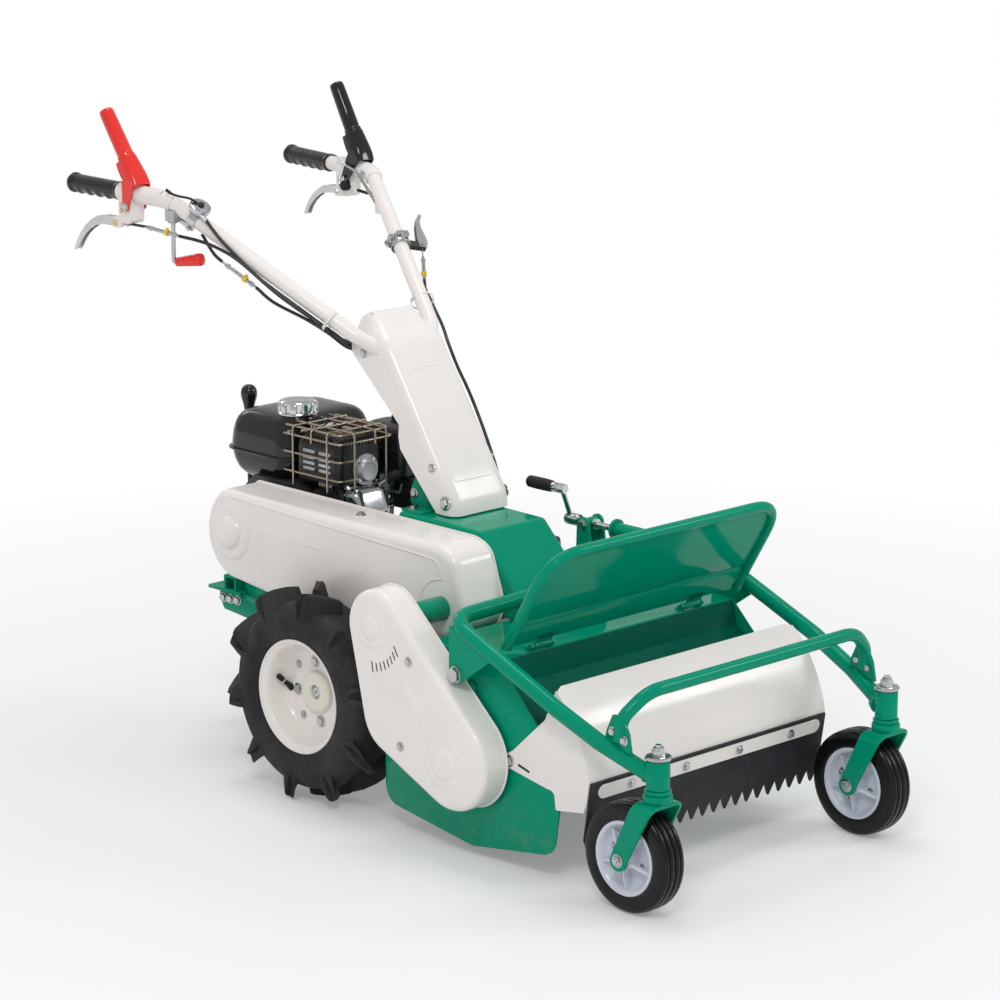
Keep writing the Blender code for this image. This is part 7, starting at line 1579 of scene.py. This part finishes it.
def lever_bracket(side):
    x, y = PIVOTS[side]
    front, rear = y - 0.006, y + 0.028
    cy, cz, reach = CLUTCH_AT[side]
    low = 0.952
    shapes = [plate(eased([(front, low + 0.006), (front + 0.006, low), (rear, low), (rear, 1.006),
        (front, 1.006)], 0.003, 4), x - 0.0162, x + 0.0162)]
    ear = eased([(cy - 0.013, cz - 0.007), (cy - 0.003, cz - 0.01), (cy + 0.007, cz - 0.009),
        (cy + 0.01, cz + 0.001), (cy + 0.004, cz + 0.011), (rear - 0.02, cz + 0.02)], 0.003, 4)
    shapes += [plate(ear, x - 0.0152, x - 0.0078), plate(ear, x + 0.0078, x + 0.0152)]
    piece("bracket_" + SIDES[side], shapes, IVORY, replaces="lever_bracket_" + SIDES[side], width=0.0012,
        segments=3)
    screws = [bolt((x - 0.0162, y + 0.018, 0.975), (-1, 0, 0), 0.004, 0.0028),
        bolt((x - 0.0162, y + 0.018, 0.985), (-1, 0, 0), 0.004, 0.0028),
        bolt((x - 0.0152, cy, cz), (-1, 0, 0), 0.005, 0.0036),
        bolt((x + 0.0152, cy, cz), (1, 0, 0), 0.005, 0.0036)]
    fittings("bracket_screws_" + SIDES[side], screws, look=YELLOW_ZINC if side == RIGHT else ZINC)
    upper = [(-0.012, 0.004), (-0.004, 0.0085), (0.014, 0.0085), (0.3 * reach, 0.008),
        (0.47 * reach, 0.0045), (0.62 * reach, -0.005), (0.75 * reach, -0.0175), (0.86 * reach, -0.0325),
        (0.94 * reach, -0.048), (reach - 0.001, -0.062), (reach - 0.001, -0.065)]
    lower = [(reach - 0.005, -0.066), (reach - 0.009, -0.0635), (0.85 * reach, -0.048),
        (0.76 * reach, -0.0345), (0.65 * reach, -0.0232), (0.52 * reach, -0.014), (0.36 * reach, -0.0095),
        (0.12 * reach, -0.009), (-0.008, -0.0085), (-0.012, -0.002)]
    if side == LEFT:
        upper, lower = ([(a, b * 0.86) for a, b in points] for points in (upper, lower))
    outline = [(cy + a, cz + b) for a, b in upper + lower]
    middle = [(cy + a, cz + b) for a, b in upper[2:-1]]
    inner = [(cy + a, cz + b - 0.0026) for a, b in upper[2:-1]][::-1]
    blade = [plate(outline, x - 0.0062, x - 0.0042), plate(outline, x + 0.0042, x + 0.0062),
        plate(middle + inner, x - 0.006, x + 0.006)]
    name = "clutch_lever_" + SIDES[side]
    piece("blade_" + SIDES[side], blade, ALUMINIUM, name, replaces=name, width=0.0007, segments=3, angle=60)


def left_fittings():
    rods = []
    for step in (0, 0.006):
        rods.append(tube(bent([(0.218, 0.446 - step, 1.012), (0.215, 0.4147 - step, 1.0039),
            (0.213, 0.3557 - step, 0.9464), (0.213, 0.348 - step, 0.941)], 0.006, 6), 0.0016, 12))
    rods.append(tube(bent([(0.218, 0.474, 1.03), (0.218, 0.462, 1.022), (0.218, 0.446, 1.012)], 0.004, 6),
        0.0016, 12))
    piece("return_rods", rods, ZINC, angle=50)
    hook = [box((0.206, 0.333, 0.935), (0.218, 0.354, 0.9385)),
        box((0.206, 0.333, 0.937), (0.2088, 0.354, 0.956))]
    piece("rod_hook", hook, IVORY, width=0.0008)
    x, y = PIVOTS[LEFT]
    knob = lathe([(-0.0155, 0), (-0.0155, 0.0095), (-0.02, 0.01), (-0.026, 0.0096), (-0.029, 0.0075),
        (-0.03, 0.0045), (-0.03, 0)], (x, y - 0.004, 0.974), "x", 32)
    arm = tube([(x - 0.022, y - 0.004, 0.982), (x - 0.022, y - 0.004, 0.993)], 0.0022, 12)
    piece("switch_knob", [knob, arm], SOFT_BLACK)
    ring = hoop(-0.016, -0.0182, 0.0096, 0.0116, (x, y - 0.004, 0.974), "x", 32)
    piece("switch_ring", ring, ZINC)


def third_lever():
    frame = rising_frame(LEFT, 0.52)
    band = lathe([(-0.011, 0.0139), (-0.011, 0.0178), (-0.009, 0.0186), (0.009, 0.0186), (0.011, 0.0178),
        (0.011, 0.0139)], (0, 0, 0), "z", 48, True)
    arm = cushion((-0.052, -0.0052, -0.0085), (-0.015, 0.0052, 0.0065), 0.003)
    ears = [box((0.0145, -0.007, -0.0095), (0.0235, -0.0022, 0.0095)),
        box((0.0145, 0.0022, -0.0095), (0.0235, 0.007, 0.0095)),
        box((-0.006, 0.017, -0.0095), (0.006, 0.0235, 0.0095))]
    piece("clamp_band", [band, *ears], ZINC, place=frame, replaces="lever_clamp", width=0.0008)
    piece("clamp_arm", arm, DARK_CAST, place=frame, width=0.0008)
    heads = [bolt((0.0195, -0.007, 0.003), (0, -1, 0), 0.0052, 0.0045, 0.007),
        bolt((0.0195, 0.007, 0.003), (0, 1, 0), 0.005, 0.006),
        bolt((0.006, 0.0205, 0.003), (1, 0, 0), 0.005, 0.007),
        bolt((-0.006, 0.0205, 0.003), (-1, 0, 0), 0.005, 0.0045, 0.007),
        bolt((-0.0456, 0.0052, -0.001), (0, 1, 0), 0.0044, 0.0034)]
    fittings("clamp_bolts", heads, place=frame)
    outline = [(0.007, -0.0075), (-0.007, -0.008), (-0.0125, 0.008), (-0.012, 0.03), (-0.01, 0.048),
        (-0.013, 0.066), (-0.021, 0.082), (-0.0205, 0.0862), (-0.016, 0.087), (-0.008, 0.073),
        (-0.0015, 0.054), (0.003, 0.034), (0.007, 0.012)]
    outline = [(-0.0456 + a, b) for a, b in outline]
    blade = [plate(outline, -0.0056, -0.0042, "y"), plate(outline, 0.0042, 0.0056, "y")]
    back = [(-0.0456 + a, b) for a, b in ((-0.012, 0.008), (-0.0118, 0.03), (-0.0098, 0.048),
        (-0.013, 0.066), (-0.0206, 0.083), (-0.018, 0.084), (-0.0104, 0.067), (-0.0072, 0.048),
        (-0.0092, 0.03), (-0.0094, 0.009))]
    blade.append(plate(back, -0.005, 0.005, "y"))
    piece("third_blade", blade, ALUMINIUM, "third_lever", place=frame, replaces="third_lever", width=0.0006,
        angle=50)


def throttle():
    frame = rising_frame(RIGHT, 0.86)
    base = HANDLE_R + 0.0003
    ring = hoop(-0.008, 0.008, base, base + 0.0032, (0, 0, 0), "z", 48)
    drum = lathe([(base + 0.001, 0), (base + 0.001, 0.013), (base + 0.004, 0.0165), (base + 0.0075, 0.0192),
        (base + 0.0095, 0.0198), (base + 0.015, 0.0198), (base + 0.0168, 0.0192), (base + 0.0172, 0.0178),
        (base + 0.016, 0.0168), (base + 0.016, 0.0148), (base + 0.0176, 0.0138), (base + 0.018, 0.011),
        (base + 0.018, 0)], (0, 0, 0), "y", 64)
    strip = cushion((-0.0055, -0.006, -base - 0.0085), (0.0055, 0.05, -base - 0.0012), 0.003)
    strip = moved(strip, Matrix(((1, 0, 0, 0), (0, 0, 1, 0), (0, 1, 0, 0), (0, 0, 0, 1))))
    inlet = tube([(0.012, base + 0.009, -0.008), (0.013, base + 0.007, -0.026)], 0.0036, 20)
    piece("throttle_drum", [ring, drum, strip, inlet], CHROME, place=frame, replaces="throttle_body")
    bolts = [bolt((0, -base - 0.0085, 0.006), (0, -1, 0), 0.0042, 0.004),
        bolt((0.007, -base - 0.004, 0.0), (1, 0, -0.2), 0.004, 0.005)]
    fittings("throttle_bolts", bolts, place=frame)
    top = base + 0.0184
    hub = lathe([(top, 0), (top, 0.0058), (top + 0.0012, 0.0062), (top + 0.0028, 0.0056),
        (top + 0.0034, 0.004), (top + 0.003, 0.002), (top + 0.003, 0)], (0, 0, 0), "y", 40)
    arm = tube(curve([(0.004, top + 0.0016, 0.006), (0.006, top + 0.001, 0.022), (0.011, top - 0.005, 0.04),
        (0.014, top - 0.008, 0.054), (0.014, top - 0.008, 0.066)], 8), [0.0022] * 25 + [0.003] * 8, 14)
    piece("throttle_arm", [hub, arm], SATIN_BLACK, "throttle_lever", place=frame, replaces="throttle_lever",
        angle=50)


def swing_crank():
    top = rising(RIGHT, 0.97) + Vector((-0.004, 0, -HANDLE_R - 0.002))
    mount = [box(top + Vector((-0.009, -0.012, -0.015)), top + Vector((0.009, 0.012, 0.006))),
        lathe([(-0.0175, 0.0062), (-0.0175, 0.009), (-0.015, 0.0095), (-0.015, 0.0062)], top, "z", 32,
        True)]
    piece("crank_mount", mount, SILVER_CAST, width=0.002, segments=3)
    low = top.z - 0.088
    lean = Vector((sin(radians(18)), -cos(radians(18)), 0.17)).normalized()
    start = Vector((top.x, top.y, low))
    path = bent([(top.x, top.y, top.z - 0.009), start, start + lean * 0.018], 0.006, 8)
    piece("crank_rod", tube(path, 0.0042, 20), ZINC, "swing_crank", replaces="swing_crank", angle=50)
    profile = [(0.0, 0), (0.0, 0.0066), (0.001, 0.0078), (0.004, 0.0084), (0.022, 0.0096), (0.0425, 0.0112),
        (0.05, 0.0114), (0.0535, 0.0105), (0.0549, 0.0076), (0.0552, 0)]
    place = aimed(start + lean * 0.006, lean)
    piece("crank_grip", lathe(profile, (0, 0, 0), "z", 40), RED, "swing_crank", place=place, angle=60)


def adjuster(name, start, end, band):
    """A threaded cable adjuster: silver sleeve, two nuts, thinner ends and a coloured band."""
    start, end = Vector(start), Vector(end)
    along = end - start
    length = along.length
    place = aimed(start, along)
    sleeve = lathe([(0, 0), (0, 0.0024), (length * 0.1, 0.0024), (length * 0.1, 0.004),
        (length * 0.16, 0.0042), (length * 0.17, 0.0036), (length * 0.8, 0.0036), (length * 0.81, 0.0044),
        (length * 0.88, 0.0044), (length * 0.89, 0.0028), (length, 0.0028), (length, 0)], (0, 0, 0), "z",
        24)
    nuts = [bolt((0, 0, length * 0.17), (0, 0, 1), 0.005, 0.0035),
        bolt((0, 0, length * 0.86), (0, 0, 1), 0.0048, 0.0035)]
    fittings(name, [sleeve, *nuts], place=place)
    ring = hoop(length * band, length * band + 0.0075, 0.0035, 0.0056, (0, 0, 0), "z", 24)
    tab = box((-0.0015, 0.004, length * band + 0.001), (0.0015, 0.0088, length * band + 0.0062))
    piece(name + "_band", [ring, tab], YELLOW, place=place)


def cables():
    radius = 0.003
    right = [[(-0.24, 0.371, 0.9416), (-0.23, 0.33, 0.937), (-0.216, 0.298, 0.927), (-0.196, 0.262, 0.905),
        (-0.164, 0.196, 0.85), (-0.129, 0.122, 0.801), (-0.106, 0.114, 0.78), (-0.083, 0.118, 0.766),
        (-0.062, 0.122, 0.758), (-0.045, 0.11, 0.752)],
        [beside(RIGHT, 0.86 - 0.062, 0.0131, HANDLE_R + 0.0066), beside(RIGHT, 0.7, 0.0178, 0.009),
        beside(RIGHT, 0.58, 0.018, -0.002), beside(RIGHT, 0.46, 0.014, -0.012),
        beside(RIGHT, 0.3, 0.011, -0.015), beside(RIGHT, 0.14, 0.01, -0.0158), (-0.101, 0.12, 0.7835),
        (-0.08, 0.124, 0.77), (-0.06, 0.128, 0.7625), (-0.044, 0.116, 0.756)],
        [beside(RIGHT, 0.8, 0.004, -0.015), (-0.196, 0.333, 0.911), (-0.188, 0.319, 0.8965)],
        [(-0.166, 0.253, 0.856), (-0.156, 0.218, 0.833), (-0.142, 0.15, 0.811), (-0.122, 0.115, 0.789),
        (-0.102, 0.109, 0.772), (-0.081, 0.112, 0.759), (-0.061, 0.116, 0.751), (-0.045, 0.105, 0.745)]]
    runs = [tube(curve(route, 8), radius, 16) for route in right]
    runs.append(tube([(-0.251, 0.5, 0.95), (-0.247, 0.456, 0.9492)], 0.0026, 14))
    piece("cables_right", runs, CABLE, replaces="control_cables_right", angle=60)
    adjuster("adjuster_upper", (-0.2475, 0.46, 0.9492), (-0.2405, 0.372, 0.9418), 0.6)
    adjuster("adjuster_lower", (-0.188, 0.319, 0.8965), (-0.166, 0.253, 0.856), 0.62)
    left = [[(0.244, 0.4436, 0.964), (0.25, 0.42, 0.96), (0.254, 0.39, 0.96),
        beside(LEFT, 0.8, -0.019, -0.007), beside(LEFT, 0.58, -0.015, -0.012),
        beside(LEFT, 0.4, -0.014, -0.013), beside(LEFT, 0.2, -0.014, -0.013),
        beside(LEFT, 0.06, -0.013, -0.016), (0.084, 0.048, 0.745), (0.066, 0.036, 0.738)],
        [(0.1985, 0.213, 0.832), (0.193, 0.204, 0.815), (0.17, 0.166, 0.804), (0.148, 0.13, 0.792),
        (0.124, 0.085, 0.772), (0.105, 0.048, 0.745), (0.093, 0.013, 0.712), (0.085, -0.018, 0.684),
        (0.0785, -0.048, 0.65), (0.0765, -0.079, 0.599), (0.075, -0.105, 0.548), (0.074, -0.118, 0.503),
        (0.071, -0.1215, 0.476), (0.056, -0.122, 0.462)]]
    runs = [tube(curve(route, 8), radius, 16) for route in left]
    piece("cables_left", runs, CABLE, replaces="control_cables_left", angle=60)
    adjuster("adjuster_left", (0.201, 0.219, 0.873), (0.1985, 0.213, 0.832), 0.66)
    link = tube([(0.206, 0.227, 0.885), (0.201, 0.219, 0.872)], 0.0012, 10)
    piece("lever_link", link, ZINC, angle=50)
    boots = [lathe([(0.06, 0), (0.06, 0.0085), (0.062, 0.0085), (0.063, 0.006), (0.066, 0.005), (0.066, 0)],
        (0, -0.122, 0.4625), "x", 28)]
    piece("cable_grommet", boots, SOFT_BLACK, angle=50)
    ties = []
    for side, share, across, up in ((RIGHT, 0.125, 0.0045, -0.005), (LEFT, 0.16, -0.0045, -0.005)):
        ring = hoop(-0.0018, 0.0018, 0.0196, 0.0208, (across, up, 0), "z", 48)
        lock = cushion((across + 0.018, up - 0.003, -0.0024), (across + 0.0235, up + 0.003, 0.0024), 0.001,
            3)
        tail = tube([(across + 0.0205, up - 0.002, 0), (across + 0.0225, up + 0.018, 0.004)], 0.0009, 8)
        ties.append(moved(together(ring, lock, tail), rising_frame(side, share)))
    piece("cable_ties", ties, TIE)


handlebar()
for side in SIDES:
    grip(side)
    lever_bracket(side)
tall_lever(RIGHT, "red_lever", RED)
tall_lever(LEFT, "black_lever", GLOSS_BLACK)
left_fittings()
third_lever()
throttle()
swing_crank()
cables()


# Chassis, deck and hitch details

def chassis_box():
    outline = eased([(-0.035, 0.3), (-0.035, 0.4935), (-0.242, 0.4905), (-0.336, 0.395), (-0.3465, 0.3506),
        (-0.3, 0.3506), (-0.175, 0.3)], 0.014, 6)
    piece("chassis_shell", plate(outline, -0.0978, 0.0598), GREEN, replaces="chassis_box", width=0.007,
        segments=4, angle=32)
    seam = ridge([(-0.233, 0.47), (-0.308, 0.396)], -0.0979, 0.0022, 0.001)
    rail = cushion((-0.093, -0.09, 0.493), (-0.064, -0.038, 0.4962), 0.004)
    piece("chassis_seams", [seam, rail], GREEN)
    foot = eased([(-0.1, 0.493), (-0.015, 0.493), (-0.015, 0.518), (-0.033, 0.556), (-0.044, 0.59),
        (-0.1, 0.59)], 0.008, 4)
    piece("column_foot_sides", [plate(foot, -0.0478, -0.0438), plate(foot, 0.0438, 0.0478)], GREEN,
        width=0.0008)
    piece("air_shroud", cushion((0.062, 0.096, 0.44), (0.112, 0.176, 0.5), 0.01, 5), PLASTIC, width=0.003,
        segments=3)
    fixing = [bolt((-0.079, -0.056, 0.4962), (0, 0, 1), 0.0062, 0.0052, 0.0088),
        bolt((-0.0478, -0.0255, 0.5139), (-1, 0, 0), 0.0066, 0.005, 0.0092)]
    fittings("chassis_bolt", fixing)


def deck_details():
    shield = [(-0.479, 0.348), (-0.4885, 0.306), (-0.5252, 0.2782), (-0.5494, 0.245)]
    inner = [(-0.4805, 0.3484), (-0.4898, 0.3068), (-0.5262, 0.2792), (-0.5504, 0.2455)]
    # The deck's inner sheet gets the darker green: painted shade on the same green paint
    piece("deck_liner", plate(shield + inner[::-1], -0.2794, 0.2794), PAINTED_SHADE_GREEN)
    heads = []
    plates = []
    for side in SIDES:
        heads.append(bolt((side * 0.2892, -0.408, 0.276), (side, 0, 0), 0.0078, 0.006, 0.0105))
        plates.append(plate(eased([(-0.43, 0.262), (-0.392, 0.262), (-0.392, 0.3), (-0.404, 0.312),
            (-0.43, 0.3)], 0.006, 4), side * 0.2832, side * 0.2892))
    piece("pivot_heads", heads, ZINC, width=0.0006, angle=35)
    piece("deck_brackets", plates, GREEN, width=0.001)
    # The slots are dark plates flush with the sheet: the black is painted shade in the openings
    slot_shades = [plate(pill((-0.53, 0.185), (-0.553, 0.179), 0.0022, 5), side * 0.28535, side * 0.285)
        for side in SIDES]
    piece("panel_slots_painted_shade", slot_shades, PLASTIC)


def hitch():
    heads = []
    for side in SIDES:
        for y, z in ((0.44, 0.245), (0.42, 0.2455), (0.4, 0.2465)):
            heads.append(bolt((side * 0.0982, y, z), (side, 0, 0), 0.0078, 0.0066, 0.0096))
    fittings("hitch_bolts", heads)


def cylinder_details():
    spring = []
    for step in range(97):
        turn = 2 * pi * step / 12
        spring.append((-0.07 + 0.0068 * cos(turn), 0.196 - step * 0.00038, 0.496 + 0.0068 * sin(turn)))
    piece("governor_spring", tube(spring, 0.0009, 8), ZINC, angle=60)
    pipe = tube(bent([(-0.04, 0.206, 0.5075), (-0.04, 0.206, 0.496), (-0.04, 0.214, 0.486)], 0.006, 6),
        0.0085, 20)
    piece("exhaust_pipe", pipe, WIRE, angle=50)


chassis_box()
deck_details()
hitch()
cylinder_details()


# Stage, light and camera

def floor_material():
    """White floor: it keeps the soft shadow near the machine and is plain white further out."""
    g = Graph("floor")
    g.colour(g.mix(g.cloud(0.8, 3), (0.9, 0.9, 0.905), (0.915, 0.916, 0.92)))
    g.roughness(g.cloud(3, 3, 0.45, 0.55))
    g.fixed(Specular_IOR_Level=0.2)
    output = next(node for node in g.tree.nodes if node.type == "OUTPUT_MATERIAL")
    white = g.node("ShaderNodeEmission")
    white.inputs["Color"].default_value = (1, 1, 1, 1)
    white.inputs["Strength"].default_value = 1.0
    away = g.node("ShaderNodeVectorMath", operation="LENGTH")
    g.link(g.place, away.inputs[0])
    share = g.spread(away.outputs["Value"], 0.75, 2.4, 0.22, 1.0)
    path = g.node("ShaderNodeLightPath")
    seen = g.times(path.outputs["Is Camera Ray"], path.outputs["Is Glossy Ray"], "MAXIMUM")
    seen = g.times(seen, path.outputs["Is Transmission Ray"], "MAXIMUM")
    mix = g.node("ShaderNodeMixShader")
    g.link(g.times(share, seen), mix.inputs[0])
    g.link(g.shader.outputs[0], mix.inputs[1])
    g.link(white.outputs[0], mix.inputs[2])
    g.link(mix.outputs[0], output.inputs["Surface"])
    return g.material


def stage():
    mesh = bpy.data.meshes.new("floor")
    size = 40
    mesh.from_pydata([(-size, -size, 0), (size, -size, 0), (size, size, 0), (-size, size, 0)], [],
        [(0, 1, 2, 3)])
    mesh.materials.append(floor_material())
    floor = bpy.data.objects.new("floor", mesh)
    bpy.context.scene.collection.objects.link(floor)

    world = bpy.data.worlds.new("studio")
    bpy.context.scene.world = world
    world.use_nodes = True
    nodes = world.node_tree.nodes
    links = world.node_tree.links
    soft = nodes["Background"]
    soft.inputs["Color"].default_value = (1.0, 1.0, 1.0, 1)
    soft.inputs["Strength"].default_value = 0.6
    white = nodes.new("ShaderNodeBackground")
    white.inputs["Strength"].default_value = 1.0
    path = nodes.new("ShaderNodeLightPath")
    mix = nodes.new("ShaderNodeMixShader")
    links.new(path.outputs["Is Camera Ray"], mix.inputs[0])
    links.new(soft.outputs[0], mix.inputs[1])
    links.new(white.outputs[0], mix.inputs[2])
    links.new(mix.outputs[0], nodes["World Output"].inputs["Surface"])

    lamps = (("key", (-3.2, -2.6, 4.2), 1.3, 66), ("side", (3.0, -3.2, 2.6), 1.3, 34),
        ("top", (0.2, 0.6, 4.8), 1.6, 40), ("back", (0.5, 4.2, 2.8), 1.6, 14))
    for name, place, size, power in lamps:
        data = bpy.data.lights.new(name, "AREA")
        data.shape = "RECTANGLE"
        data.size = size
        data.size_y = size * 0.7
        data.energy = power
        lamp = bpy.data.objects.new(name, data)
        bpy.context.scene.collection.objects.link(lamp)
        lamp.location = place
        lamp.rotation_mode = "QUATERNION"
        lamp.rotation_quaternion = (Vector(place) - Vector((0, 0, 0.4))).to_track_quat("Z", "Y")

    data = bpy.data.cameras.new("camera")
    data.lens = 131.36
    data.sensor_width = 36
    data.clip_end = 100
    camera = bpy.data.objects.new("camera", data)
    bpy.context.scene.collection.objects.link(camera)
    camera.location = Vector((-4.2442, -4.5857, 1.9982)) + MIDDLE
    aim = Vector((0.0037, -0.1867, 0.5206)) + MIDDLE
    camera.rotation_mode = "QUATERNION"
    camera.rotation_quaternion = (aim - camera.location).to_track_quat("-Z", "Y")
    bpy.context.scene.camera = camera
    bpy.context.scene.view_settings.view_transform = "Standard"


stage()
